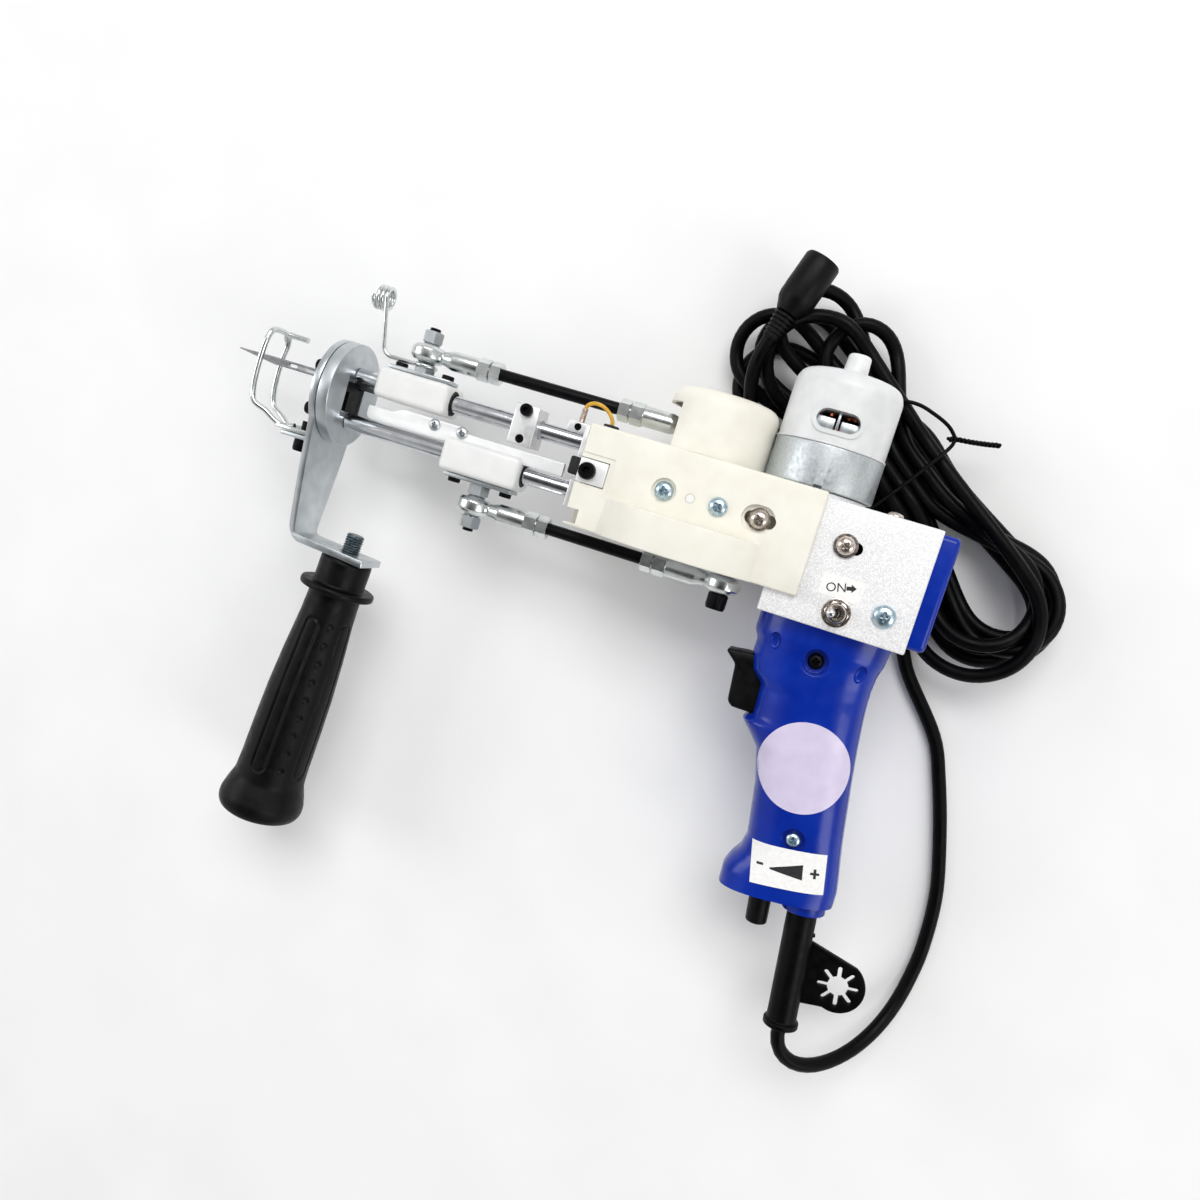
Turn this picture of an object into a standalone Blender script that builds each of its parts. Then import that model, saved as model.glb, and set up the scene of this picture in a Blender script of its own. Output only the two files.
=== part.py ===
"""Handheld tufting machine, lying on its right side with its left side up.

The crankshaft's axis is the Y axis of the machine: +X runs back to the grip, +Y up to the motor, and +Z to the
machine's left side, which faces up as it lies. All lengths are in metres.
"""

import math

import bmesh
import bpy
import numpy as np
from mathutils import Matrix, Vector

# Fits shared by all the pieces
GAP = 0.0003
OVERRUN = 0.002
SCREW_DRIVE_DEPTH = 0.0012
SCREW_CROSS_REACH_SHARE = 0.55
SCREW_CROSS_WIDTH_SHARE = 0.125
# Points closer than this are one point.
WELD_DISTANCE = 0.000005

# Gear train
GEAR_MODULE = 0.001
GEAR_TEETH = 76
PINION_TEETH = 14
ADDENDUM = 0.0009
DEDENDUM = 0.00125
GEAR_WIDTH = 0.009
GEAR_HUB_RADIUS = 0.007
TOOTH_ROOT_SHARE = 0.52
TOOTH_TIP_SHARE = 0.22
GEAR_RADIUS = GEAR_MODULE * GEAR_TEETH / 2
PINION_RADIUS = GEAR_MODULE * PINION_TEETH / 2
MOTOR_X = GEAR_RADIUS + PINION_RADIUS

# Gear housing
HOUSING_FRONT = -0.0463
HOUSING_REAR = 0.0502
HOUSING_HALF_HEIGHT = 0.02075
HOUSING_HALF_WIDTH = 0.027
HOUSING_EDGE = 0.0008
HOUSING_FLOOR = 0.002
CHEEK_WALL = 0.0027
CHAMBER_CLEARANCE = 0.0008
GEAR_SIDE_CLEARANCE = 0.001
BULGE_WALL = 0.002
BULGE_ROOF = 0.00175
BULGE_STEP = 0.0002
HOUSING_BOTTOM = -HOUSING_HALF_HEIGHT
HOUSING_TOP = HOUSING_HALF_HEIGHT
CHAMBER_BOTTOM = HOUSING_BOTTOM + HOUSING_FLOOR
GEAR_BOTTOM = CHAMBER_BOTTOM + GEAR_SIDE_CLEARANCE
GEAR_TOP = GEAR_BOTTOM + GEAR_WIDTH
CHAMBER_TOP = GEAR_TOP + GEAR_SIDE_CLEARANCE
CHAMBER_RADIUS = GEAR_RADIUS + ADDENDUM + CHAMBER_CLEARANCE
BULGE_RADIUS = CHAMBER_RADIUS + BULGE_WALL
BULGE_TOP = CHAMBER_TOP + BULGE_ROOF
FRONT_NOTCH_DEPTH = 0.0053
FRONT_NOTCH_TOP = -0.0138
FRONT_NOTCH_BOTTOM = -0.0197
FRONT_NOTCH_FLOOR = 0.012

# Crankshaft, bearings and cranks
SHAFT_RADIUS = 0.004
BEARING_RADIUS = 0.0095
BEARING_WIDTH = 0.006
NEEDLE_THROW = 0.008
CUTTER_THROW = 0.0198
UPPER_CRANK_RADIUS = 0.014
UPPER_CRANK_THICKNESS = 0.004
LOWER_CRANK_RADIUS = 0.0257
LOWER_CRANK_PROUD = 0.00065

# Connecting rods: distances are measured along the rod from the ball's centre
UPPER_ROD_Y = 0.0309
LOWER_ROD_Y = -0.0262
UPPER_ROD_LENGTH = 0.1242
LOWER_ROD_LENGTH = 0.1128
EYE_RADIUS = 0.00775
EYE_HALF_WIDTH = 0.0035
BALL_HALF_WIDTH = 0.0045
BALL_RING_RADIUS = 0.0046
BOLT_RADIUS = 0.0025
SHANK_RADIUS = 0.0043
SHANK_END = 0.0244
HEX_COLLAR_END = 0.0298
HEX_COLLAR_RADIUS = 0.005
LOCK_NUT_END = 0.035
LOCK_NUT_RADIUS = 0.0048
TIE_ROD_RADIUS = 0.0021
THREAD_DEPTH = 0.009
BALL_NUT_RADIUS = 0.0046
BALL_NUT_HEIGHT = 0.005
BOLT_TIP = 0.0015
PIN_HEAD_RADIUS = 0.00425
PIN_HEAD_HEIGHT = 0.003
LOWER_PIN_HEAD_HEIGHT = 0.0065

# Guide rods and what they carry
MECHANISM_Y = 0.00295
GUIDE_SPACING = 0.0205
GUIDE_RADIUS = 0.00375
GUIDE_NECK_RADIUS = 0.0025
GUIDE_BORE = GUIDE_RADIUS + GAP
UPPER_GUIDE_Y = MECHANISM_Y + GUIDE_SPACING / 2
LOWER_GUIDE_Y = MECHANISM_Y - GUIDE_SPACING / 2
UPPER_GUIDE_SEAT = 0.026
LOWER_GUIDE_SEAT = 0.0055

# Sliders
SLIDER_HALF_DEPTH = 0.010
SLIDER_EDGE = 0.0025
UPPER_SLIDER_LENGTH = 0.0338
UPPER_SLIDER_BACK = 0.0172
UPPER_SLIDER_BELOW = 0.0064
UPPER_SLIDER_ABOVE = 0.0069
LOWER_SLIDER_LENGTH = 0.0358
LOWER_SLIDER_BACK = 0.0178
LOWER_SLIDER_BELOW = 0.0076
LOWER_SLIDER_ABOVE = 0.0065
SLIDER_PLATE_THICKNESS = 0.0018
SLIDER_PLATE_HALF_DEPTH = 0.0055
SLIDER_PLATE_MARGIN = 0.0022
SLIDER_SCREW_RADIUS = 0.0027
SLIDER_SCREW_HEIGHT = 0.002
SLIDER_SCREW_INSET = 0.0035
SPACER_RADIUS = 0.0048

# Needle, cutter bar and yarn guide
NEEDLE_TIP = 0.0735
NEEDLE_HEIGHT = 0.0034
NEEDLE_THICKNESS = 0.0016
NEEDLE_POINT = 0.0165
NEEDLE_SEAT = 0.009
NEEDLE_BELOW_GUIDE = 0.0056
NEEDLE_SIDE = -0.005
NEEDLE_EYE_RADIUS = 0.0009
NEEDLE_EYE_BACK = 0.026
CUTTER_HEIGHT = 0.0057
CUTTER_THICKNESS = 0.0025
CUTTER_ABOVE_GUIDE = 0.004
CUTTER_SIDE = 0.0053
CUTTER_BEHIND_SLIDER = 0.0177
CUTTER_AHEAD_OF_SLIDER = 0.039
BLADE_LENGTH = 0.047
BLADE_EXTRA_HEIGHT = 0.0022
YARN_WIRE_RADIUS = 0.00095
YARN_EYE_RADIUS = 0.0046
YARN_EYE_SIDE = -0.001
YARN_EYE_PITCH = 0.0024
YARN_EYE_TURNS = 2.5
YARN_EYE_POINTS = 9
YARN_RING_RADIUS = 0.0056
YARN_RING_THICKNESS = 0.0015
YARN_STEM_FORWARD = 0.0205
YARN_STEM_HEIGHT = 0.0238
YARN_STEM_LEAN = 0.004
YARN_BEND = 0.003

# Front disc, bracket and presser foot
DISC_CENTRE_Y = 0.0041
DISC_RADIUS = 0.0229
DISC_BACK = -0.1613
DISC_THICKNESS = 0.0053
BRACKET_THICKNESS = 0.003
WINDOW_HALF_WIDTH = 0.0082
WINDOW_HALF_HEIGHT = 0.009
WINDOW_WAIST_HALF_HEIGHT = 0.0068
WINDOW_WAIST_HALF_WIDTH = 0.0036
DISC_SCREW_SPREAD_Y = 0.0094
DISC_SCREW_SPREAD_Z = 0.0138
DISC_SCREW_RADIUS = 0.0028
DISC_SCREW_HEIGHT = 0.0042
# The bracket follows the disc from the first to the last of these angles, in degrees.
BRACKET_ARC = (-38, 218)
TAIL_TOP_HALF_WIDTH = 0.0155
TAIL_TOP_Y = -0.030
TAIL_BEND_HALF_WIDTH = 0.0098
TAIL_BEND_Y = -0.0616
LEG_REACH = 0.0350
LEG_BEND = 0.005
HANDLE_LEAN = math.radians(4.6)
FOOT_TAB_LENGTH = 0.018
FOOT_TAB_HALF_WIDTH = 0.0065
FOOT_TAB_THICKNESS = 0.002
FOOT_TAB_BELOW_DISC = 0.0024
FOOT_SHANK_LENGTH = 0.021
FOOT_SHANK_THICKNESS = 0.002
FOOT_WIRE_RADIUS = 0.0013
FOOT_REACH = 0.0355
FOOT_HALF_WIDTH = 0.0085
FOOT_HEIGHT = 0.0400
FOOT_HOOK_LENGTH = 0.0125
FOOT_SCREW_RADIUS = 0.0025
FOOT_SCREW_HEAD_RADIUS = 0.0041
FOOT_SCREW_HEAD_HEIGHT = 0.0052
FOOT_SCREW_TIP = 0.004
FOOT_SCREW_BACK_SHARE = 0.52

# Front handle
STUD_RADIUS = 0.004
STUD_PROUD = 0.0085
COLLAR_RADIUS = 0.0115
COLLAR_LENGTH = 0.0125
FLANGE_RADIUS = 0.01675
FLANGE_THICKNESS = 0.0032
HANDLE_LENGTH = 0.1252
HANDLE_NECK_RADIUS = 0.0116
HANDLE_BODY_RADIUS = 0.0153
HANDLE_END_RADIUS = 0.0191
HANDLE_STUD_BACK = 0.0235
HANDLE_PROFILE_SHARES = (
    # share of the way from the flange to the end, share of the way from neck to body radius
    (0.00, 0.00),
    (0.12, 0.14),
    (0.28, 0.55),
    (0.45, 0.86),
    (0.62, 1.00),
    (0.76, 1.06),
    (0.84, 1.14),
)
HANDLE_END_SHARES = (
    # share of the way from the flange to the end, share of the end radius
    (0.895, 0.94),
    (0.935, 1.00),
    (0.965, 1.00),
    (0.99, 0.93),
    (1.00, 0.80),
)

# Pieces at the front of the housing
FRONT_PLATE_THICKNESS = 0.002
FRONT_PLATE_TOP = 0.0195
FRONT_PLATE_BOTTOM = -0.0140
FRONT_PLATE_HALF_WIDTH = 0.025
CLAMP_LENGTH = 0.0118
CLAMP_HEIGHT = 0.0098
CLAMP_Y = 0.0019
CLAMP_DEPTH = 0.0125
CLAMP_SCREW_RADIUS = 0.0035
CLAMP_SCREW_HEIGHT = 0.0026
CLAMP_SOCKET_RADIUS = 0.0017
EARTH_BLOCK_LENGTH = 0.0087
EARTH_BLOCK_BOTTOM = 0.0158
EARTH_BLOCK_HEIGHT = 0.0041
EARTH_BLOCK_NEAR = 0.0205
EARTH_BLOCK_DEPTH = 0.008
EARTH_POST_RADIUS = 0.0013
EARTH_POST_HEIGHT = 0.006
EARTH_WIRE_RADIUS = 0.0008
EARTH_WIRE_RISE = 0.007
GROMMET_X = -0.0405
GROMMET_RADIUS = 0.0032
GROMMET_HEIGHT = 0.0016
BUFFER_LENGTH = 0.0066
BUFFER_HEIGHT = 0.0076
BUFFER_HALF_WIDTH = 0.008
STOP_BACK = 0.0250
STOP_LENGTH = 0.0108
STOP_ABOVE = 0.0082
STOP_BELOW = 0.0088
STOP_NEAR = 0.009
STOP_FAR = 0.0055
STOP_SCREW_RADIUS = 0.00265
STOP_SCREW_HEIGHT = 0.003
STOP_SCREW_RISE = 0.0063
STOP_SET_SCREW_RADIUS = 0.0014
STOP_SET_SCREW_DROP = 0.0063

# Housing screws
SCREW_LINE_Y = 0.0032
FRONT_SCREW_X = -0.0106
MIDDLE_SCREW_X = 0.0116
SLOT_SCREW_X = 0.0280
PAN_HEAD_RADIUS = 0.0038
PAN_HEAD_HEIGHT = 0.0024
SCREW_SHANK_RADIUS = 0.0018
HOUSING_SCREW_LENGTH = 0.036
SCREW_POCKET_DEPTH = 0.0015
SLOT_LENGTH = 0.0132
SLOT_HEIGHT = 0.0108
SLOT_DEPTH = 0.0022
SLOT_WASHER_RADIUS = 0.0050
SLOT_WASHER_THICKNESS = 0.001
BOX_SCREW_X = 0.0621
BOX_SCREW_Y = 0.0031
BOX_SCREW_LENGTH = 0.010
COVER_SCREW_X = 0.0837
COVER_SCREW_Y = -0.0182
COVER_SCREW_HEAD_RADIUS = 0.0045

# Crank cover
COVER_RADIUS = 0.0225
COVER_WALL = 0.0018
COVER_TOP = 0.0470
COVER_ROOF = 0.0025
COVER_FILLET = 0.0065
COVER_WINDOW_X = -0.0152
COVER_WINDOW_TOP = 0.0395

# Aluminium box and its rear cover
BOX_FRONT = 0.0374
BOX_REAR = 0.0950
BOX_TOP = 0.0190
BOX_BOTTOM = -0.0299
BOX_HALF_WIDTH = 0.0240
BOX_WALL = 0.002
BOX_EDGE = 0.0006
MOTOR_SEAT_RADIUS = 0.0205
MOTOR_NOSE_HOLE = 0.006
REAR_COVER_LENGTH = 0.0067
REAR_COVER_TOP = 0.0179
REAR_COVER_BOTTOM = -0.0274
REAR_COVER_HALF_WIDTH = 0.0232
REAR_COVER_EDGE = 0.0035
REAR_COVER_WALL = 0.002

# Motor
MOTOR_RADIUS = 0.0222
MOTOR_WALL = 0.0015
MOTOR_CAN_TOP = 0.0381
MOTOR_CAP_RADIUS = 0.0218
MOTOR_CAP_WALL = 0.0018
MOTOR_SHOULDER = 0.0627
MOTOR_CAP_TOP = 0.0678
MOTOR_NUB_RADIUS = 0.0048
MOTOR_NUB_TOP = 0.0772
MOTOR_SHAFT_RADIUS = 0.0025
MOTOR_CORE_RADIUS = 0.0150
MOTOR_CORE_BOTTOM = 0.0260
MOTOR_CORE_TOP = 0.0450
COMMUTATOR_RADIUS = 0.0085
COMMUTATOR_TOP = 0.0590
MOTOR_SLOT_HALF_LENGTH = 0.0085
MOTOR_SLOT_HALF_HEIGHT = 0.0038
MOTOR_SLOT_Y = 0.0475

# Toggle switch
TOGGLE_X = 0.0665
TOGGLE_Y = -0.0222
TOGGLE_BUSH_RADIUS = 0.0036
TOGGLE_BUSH_HEIGHT = 0.0062
TOGGLE_BORE = 0.0027
TOGGLE_NUT_RADIUS = 0.0048
TOGGLE_NUT_HEIGHT = 0.0018
TOGGLE_BODY_LENGTH = 0.013
TOGGLE_BODY_WIDTH = 0.0076
TOGGLE_BODY_DEPTH = 0.011
TOGGLE_LEVER_RADIUS = 0.0012
TOGGLE_LEVER_TIP_RADIUS = 0.0016
TOGGLE_LEVER_LENGTH = 0.0125
TOGGLE_BALL_RADIUS = 0.0018
TOGGLE_TILT = math.radians(12)

# Grip
GRIP_TOP = BOX_BOTTOM - GAP
GRIP_FRONT_X = 0.0384
GRIP_REAR_X = 0.1026
GRIP_LENGTH = 0.1120
GRIP_HALF_THICKNESS = 0.0165
GRIP_WALL = 0.003
GRIP_ROUNDNESS = 2.7
GRIP_SECTION_POINTS = 18
GRIP_RAKE = math.radians(7)
GRIP_FOOT_X = 0.0820
GRIP_FOOT_RISE = 0.0022
GRIP_FOOT_Y = GRIP_TOP - GRIP_LENGTH + GRIP_FOOT_RISE
GRIP_STATION_SHARES = (
    # share of the length down from the top, front edge, rear edge, half thickness
    (0.000, 0.000, 0.842, 1.08),
    (0.075, 0.000, 0.828, 1.08),
    (0.110, 0.030, 0.810, 1.02),
    (0.170, 0.030, 0.803, 0.97),
    (0.220, 0.055, 0.806, 0.97),
    (0.260, 0.130, 0.812, 0.97),
    (0.375, 0.140, 0.835, 0.98),
    (0.400, 0.088, 0.842, 0.98),
    (0.445, 0.165, 0.853, 0.99),
    (0.490, 0.235, 0.865, 1.00),
    (0.610, 0.295, 0.900, 1.00),
    (0.730, 0.330, 0.935, 0.97),
    (0.810, 0.352, 0.965, 0.94),
    (0.865, 0.335, 0.985, 0.93),
    (0.905, 0.290, 0.998, 0.93),
    (0.945, 0.265, 1.000, 0.93),
    (1.060, 0.275, 1.000, 0.93),
)
GRIP_SCREW_UPPER_X = 0.0653
GRIP_SCREW_UPPER_Y = -0.0432
GRIP_SCREW_LOWER_X = 0.0787
GRIP_SCREW_LOWER_RISE = 0.0260
GRIP_SCREW_LOWER_Y = GRIP_FOOT_Y + GRIP_SCREW_LOWER_RISE
GRIP_SCREW_HEAD_RADIUS = 0.0031
GRIP_SCREW_POCKET_RADIUS = 0.0050
GRIP_SCREW_POCKET_DEPTH = 0.0030
GRIP_SCREW_LENGTH = 0.020
GRIP_BOSS_RADIUS = 0.0052
GRIP_DENT_RADIUS = 0.0036
GRIP_DENT_DEPTH = 0.0016
GRIP_DENTS = ((0.0477, -0.0405), (0.0832, -0.0432))
GRIP_COLLAR_RADIUS = 0.0090
GRIP_COLLAR_HEIGHT = 0.0052
GRIP_COLLAR_X = 0.0915

# Trigger and its switch
TRIGGER_TOP = -0.0490
TRIGGER_BOTTOM = -0.0724
TRIGGER_HALF_WIDTH = 0.0068
TRIGGER_CLEARANCE = 0.0004
TRIGGER_FACE_X = 0.0368
TRIGGER_BACK_X = 0.0520
TRIGGER_TRAVEL = 0.0040
TRIGGER_HORN = 0.0062
TRIGGER_HORN_DROP = 0.0022
TRIGGER_CHAMFER = 0.0020
SWITCH_LENGTH = 0.018
SWITCH_MARGIN = 0.0035
# Share of the grip's half thickness at the height of the switch
SWITCH_GRIP_SHARE = 0.97

# Speed control
KNOB_X = 0.0738
KNOB_RADIUS = 0.0048
KNOB_LENGTH = 0.0140
KNOB_STAND_OFF = 0.0011
POT_RADIUS = 0.0080
POT_HEIGHT = 0.0070
POT_SHAFT_RADIUS = 0.003
POT_SHAFT_LENGTH = 0.008

# Strain relief
RELIEF_RADIUS = 0.0062
RELIEF_END_RADIUS = 0.0073
RELIEF_END_LENGTH = 0.0026
RELIEF_LENGTH = 0.0500
RELIEF_SEAT = 0.003
RELIEF_TAB_START = 0.0120
RELIEF_TAB_STOP = 0.0400
RELIEF_TAB_REACH = 0.0198
RELIEF_TAB_ALONG = 0.0290
RELIEF_TAB_RADIUS = 0.0112
# The rounded end's first and last angle, in degrees
RELIEF_TAB_ARC = (-25, 145)
RELIEF_TAB_THICKNESS = 0.0024
RELIEF_TAB_DROP = 0.0030
STAR_RAY_LENGTH = 0.0084
STAR_RAY_WIDTH = 0.0017
STAR_CENTRE_RADIUS = 0.0043
STAR_RAYS = 8
STAR_TURN = math.radians(9)

# Mains cord, hank and plug
CORD_DIAMETER = 0.006
CORD_RADIUS = CORD_DIAMETER / 2
FLOOR_Z = -BULGE_RADIUS
CORD_FLOOR_Z = FLOOR_Z + CORD_RADIUS
CORD_STEP = 0.010
CORD_ROUTE = (
    (0.1024, -0.2055, -0.0015),
    (0.1085, -0.2092, -0.0045),
    (0.1165, -0.2098, -0.0095),
    (0.1250, -0.2074, -0.0165),
    (0.1328, -0.2022, -0.0235),
    (0.1394, -0.1944, -0.0298),
    (0.1444, -0.1840, -0.0345),
    (0.1476, -0.1705, -0.0375),
    (0.1489, -0.1530, CORD_FLOOR_Z),
    (0.1468, -0.1290, CORD_FLOOR_Z),
    (0.1400, -0.1035, CORD_FLOOR_Z),
    (0.1323, -0.0811, CORD_FLOOR_Z),
    (0.1243, -0.0635, CORD_FLOOR_Z),
)
HANK_CENTRE = (0.0780, 0.0370)
HANK_ANGLE = math.atan2(-0.631, 0.776)
HANK_LENGTH = 0.190
HANK_WIDTH = 0.080
HANK_LOOPS = 6
HANK_RUN_POINTS = 5
HANK_END_POINTS = 7
HANK_STEP = 0.0070
HANK_WAIST = 0.0140
HANK_WAIST_LENGTH = 0.035
HANK_LAYER = 0.0066
HANK_END_RISE = 0.0118
HANK_END_TURN = math.radians(62)
HANK_END_RADIUS = 0.029
HANK_END_SHARES = (
    # share of the last turn, share of the rise on to the top of the loops
    (0.00, 0.20),
    (0.25, 0.60),
    (0.50, 0.82),
    (0.75, 0.96),
    (1.00, 1.00),
)
PLUG_LENGTH = 0.026
PLUG_RADIUS = 0.0080
PLUG_FACE_RADIUS = 0.0070
PLUG_NECK_RADIUS = 0.0052
PLUG_TAIL_RADIUS = 0.0040
PLUG_TAIL_LENGTH = 0.0120
TIE_RADIUS = 0.0008
TIE_CLEARANCE = 0.0004
TIE_X = 0.004
TIE_TAIL = 0.020

# Number of sides of round pieces
FINE = 24
ROUND = 18
SMALL = 12

# Colour, roughness and metallic value of each finish
FINISHES = {
    "nylon_ivory": ((0.86, 0.82, 0.70), 0.55, 0.0),
    "acetal_white": ((0.83, 0.82, 0.78), 0.40, 0.0),
    "cap_white": ((0.80, 0.80, 0.79), 0.35, 0.0),
    "blue_plastic": ((0.005, 0.03, 0.34), 0.32, 0.0),
    "black_plastic": ((0.012, 0.012, 0.016), 0.42, 0.0),
    "black_rubber": ((0.010, 0.010, 0.012), 0.55, 0.0),
    "black_oxide": ((0.02, 0.02, 0.022), 0.45, 0.7),
    "steel": ((0.62, 0.63, 0.64), 0.28, 1.0),
    "zinc": ((0.55, 0.57, 0.59), 0.38, 1.0),
    "aluminium": ((0.78, 0.78, 0.77), 0.42, 1.0),
    "chrome": ((0.70, 0.70, 0.71), 0.12, 1.0),
    "copper": ((0.62, 0.28, 0.14), 0.35, 1.0),
    "brass": ((0.60, 0.42, 0.16), 0.35, 1.0),
    "yellow_wire": ((0.80, 0.48, 0.03), 0.45, 0.0),
}

X_AXIS = Vector((1, 0, 0))
Y_AXIS = Vector((0, 1, 0))
Z_AXIS = Vector((0, 0, 1))


def clear_scene():
    for obj in list(bpy.data.objects):
        bpy.data.objects.remove(obj, do_unlink=True)


def new_collection(name):
    collection = bpy.data.collections.new(name)
    bpy.context.scene.collection.children.link(collection)
    return collection


clear_scene()
PARTS = new_collection("tufting_machine")
CUTTERS = new_collection("cutters")


# Helpers that make one solid each

def add_object(name, data, location=(0, 0, 0), turn=None):
    obj = bpy.data.objects.new(name, data)
    obj.location = location
    if turn is not None:
        obj.rotation_mode = "QUATERNION"
        obj.rotation_quaternion = turn
    PARTS.objects.link(obj)
    return obj


def mesh_from(name, bm):
    bmesh.ops.recalc_face_normals(bm, faces=bm.faces)
    mesh = bpy.data.meshes.new(name)
    bm.to_mesh(mesh)
    bm.free()
    return mesh


def bevel_edges(obj, width, segments=2):
    modifier = obj.modifiers.new("rounded edges", "BEVEL")
    modifier.width = width
    modifier.segments = segments
    modifier.limit_method = "ANGLE"
    modifier.angle_limit = math.radians(40)
    modifier.use_clamp_overlap = True
    return obj


def box(name, low, high, edge=0.0, segments=2):
    """A block between two corners, with rounded edges if asked."""
    low, high = Vector(low), Vector(high)
    bm = bmesh.new()
    bmesh.ops.create_cube(bm, size=1)
    bmesh.ops.scale(bm, vec=high - low, verts=bm.verts)
    obj = add_object(name, mesh_from(name, bm), (low + high) / 2)
    if edge > 0:
        bevel_edges(obj, edge, segments)
    return obj


def aligned(direction):
    """The turn that lays local Z along a direction."""
    return Vector(direction).normalized().to_track_quat("Z", "Y")


def bar(name, start, end, radius, sides=ROUND, end_radius=None):
    """A round or many-sided bar from one point to another."""
    start, end = Vector(start), Vector(end)
    bm = bmesh.new()
    bmesh.ops.create_cone(
        bm,
        cap_ends=True,
        segments=sides,
        radius1=radius,
        radius2=radius if end_radius is None else end_radius,
        depth=(end - start).length,
    )
    mesh = mesh_from(name, bm)
    obj = add_object(name, mesh, (start + end) / 2, aligned(end - start))
    smooth(obj)
    return obj


def turned(name, base, direction, profile, steps=ROUND):
    """A solid of revolution. The profile lists (radius, height along the direction), from the top down.

    A profile that ends where it starts is a ring's section."""
    ring = profile[0] == profile[-1]
    bm = bmesh.new()
    points = [bm.verts.new((radius, 0, height)) for radius, height in (profile[:-1] if ring else profile)]
    for first, second in zip(points, points[1:] + points[:1] if ring else points[1:]):
        bm.edges.new((first, second))
    mesh = bpy.data.meshes.new(name)
    bm.to_mesh(mesh)
    bm.free()
    obj = add_object(name, mesh, base, aligned(direction))
    screw = obj.modifiers.new("turning", "SCREW")
    screw.steps = steps
    screw.render_steps = steps
    screw.use_merge_vertices = True
    screw.merge_threshold = WELD_DISTANCE
    screw.use_smooth_shade = True
    return obj


def meshed(curve_object):
    """The curve's solid as a welded mesh object in the same place."""
    graph = bpy.context.evaluated_depsgraph_get()
    mesh = bpy.data.meshes.new_from_object(curve_object.evaluated_get(graph))
    bm = bmesh.new()
    bm.from_mesh(mesh)
    bmesh.ops.remove_doubles(bm, verts=bm.verts, dist=WELD_DISTANCE)
    bmesh.ops.recalc_face_normals(bm, faces=bm.faces)
    bm.to_mesh(mesh)
    bm.free()
    name, place = curve_object.name, curve_object.matrix_world.copy()
    bpy.data.objects.remove(curve_object, do_unlink=True)
    obj = add_object(name, mesh)
    obj.matrix_world = place
    return obj


def plate(name, outline, thickness, place, holes=()):
    """A flat plate: a 2D outline, with any holes, thickened evenly about its own plane."""
    curve = bpy.data.curves.new(name, "CURVE")
    curve.dimensions = "2D"
    curve.fill_mode = "BOTH"
    curve.extrude = thickness / 2
    for loop in (outline, *holes):
        spline = curve.splines.new("POLY")
        spline.points.add(len(loop) - 1)
        spline.use_cyclic_u = True
        for point, (across, along) in zip(spline.points, loop):
            point.co = (across, along, 0, 1)
    obj = bpy.data.objects.new(name, curve)
    obj.matrix_world = place
    PARTS.objects.link(obj)
    bpy.context.view_layer.update()
    return meshed(obj)


def tube(name, points, radius, resolution=2):
    """A wire or cord along a line of points, with closed ends."""
    curve = bpy.data.curves.new(name, "CURVE")
    curve.dimensions = "3D"
    curve.bevel_depth = radius
    curve.bevel_resolution = resolution
    curve.use_fill_caps = True
    spline = curve.splines.new("POLY")
    spline.points.add(len(points) - 1)
    for point, place in zip(spline.points, points):
        point.co = (*place, 1)
    obj = bpy.data.objects.new(name, curve)
    PARTS.objects.link(obj)
    bpy.context.view_layer.update()
    return meshed(obj)


def flat_xy(z):
    return Matrix.Translation((0, 0, z))


def flat_zy(x):
    """The plane across the machine: outline coordinates are (z, y)."""
    turn = Matrix(((0, 0, -1, 0), (0, 1, 0, 0), (1, 0, 0, 0), (0, 0, 0, 1)))
    return Matrix.Translation((x, 0, 0)) @ turn


def flat_xz(y):
    """The plane square to the crankshaft: outline coordinates are (x, z)."""
    turn = Matrix(((1, 0, 0, 0), (0, 0, -1, 0), (0, 1, 0, 0), (0, 0, 0, 1)))
    return Matrix.Translation((0, y, 0)) @ turn


def helper(obj):
    """Takes a cutter, or a piece that another is joined with, out of the parts."""
    PARTS.objects.unlink(obj)
    CUTTERS.objects.link(obj)
    obj.hide_render = True
    obj.display_type = "WIRE"
    return obj


def combine(target, operation, others):
    for other in others:
        modifier = target.modifiers.new(other.name, "BOOLEAN")
        modifier.operation = operation
        modifier.solver = "EXACT"
        modifier.object = helper(other)
    return target


def cut(target, *cutters):
    return combine(target, "DIFFERENCE", cutters)


def join(target, *pieces):
    return combine(target, "UNION", pieces)


def keep_inside(target, *limits):
    return combine(target, "INTERSECT", limits)


def smooth(obj):
    obj.data.shade_smooth()
    obj.data.set_sharp_from_angle(angle=math.radians(35))


def finish(obj, kind):
    colour, roughness, metallic = FINISHES[kind]
    paint = bpy.data.materials.new(obj.name)
    paint.use_nodes = True
    shader = paint.node_tree.nodes["Principled BSDF"]
    shader.inputs["Base Color"].default_value = (*colour, 1)
    shader.inputs["Roughness"].default_value = roughness
    shader.inputs["Metallic"].default_value = metallic
    obj.data.materials.clear()
    obj.data.materials.append(paint)
    return obj


# Helpers that work out outlines and curves

def ring_outline(radius, sides=ROUND, centre=(0, 0)):
    turns = [2 * math.pi * k / sides for k in range(sides)]
    return [(centre[0] + radius * math.cos(t), centre[1] + radius * math.sin(t)) for t in turns]


def arc(centre, radius, start, stop, steps):
    """Points on an arc between two angles in degrees."""
    angles = [math.radians(start + (stop - start) * k / steps) for k in range(steps + 1)]
    return [(centre[0] + radius * math.cos(a), centre[1] + radius * math.sin(a)) for a in angles]


def obround(centre, length, height, steps=6):
    """A slot's outline: two half circles joined by straight sides."""
    radius = height / 2
    reach = length / 2 - radius
    right = arc((centre[0] + reach, centre[1]), radius, -90, 90, steps)
    left = arc((centre[0] - reach, centre[1]), radius, 90, 270, steps)
    return right + left


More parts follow.
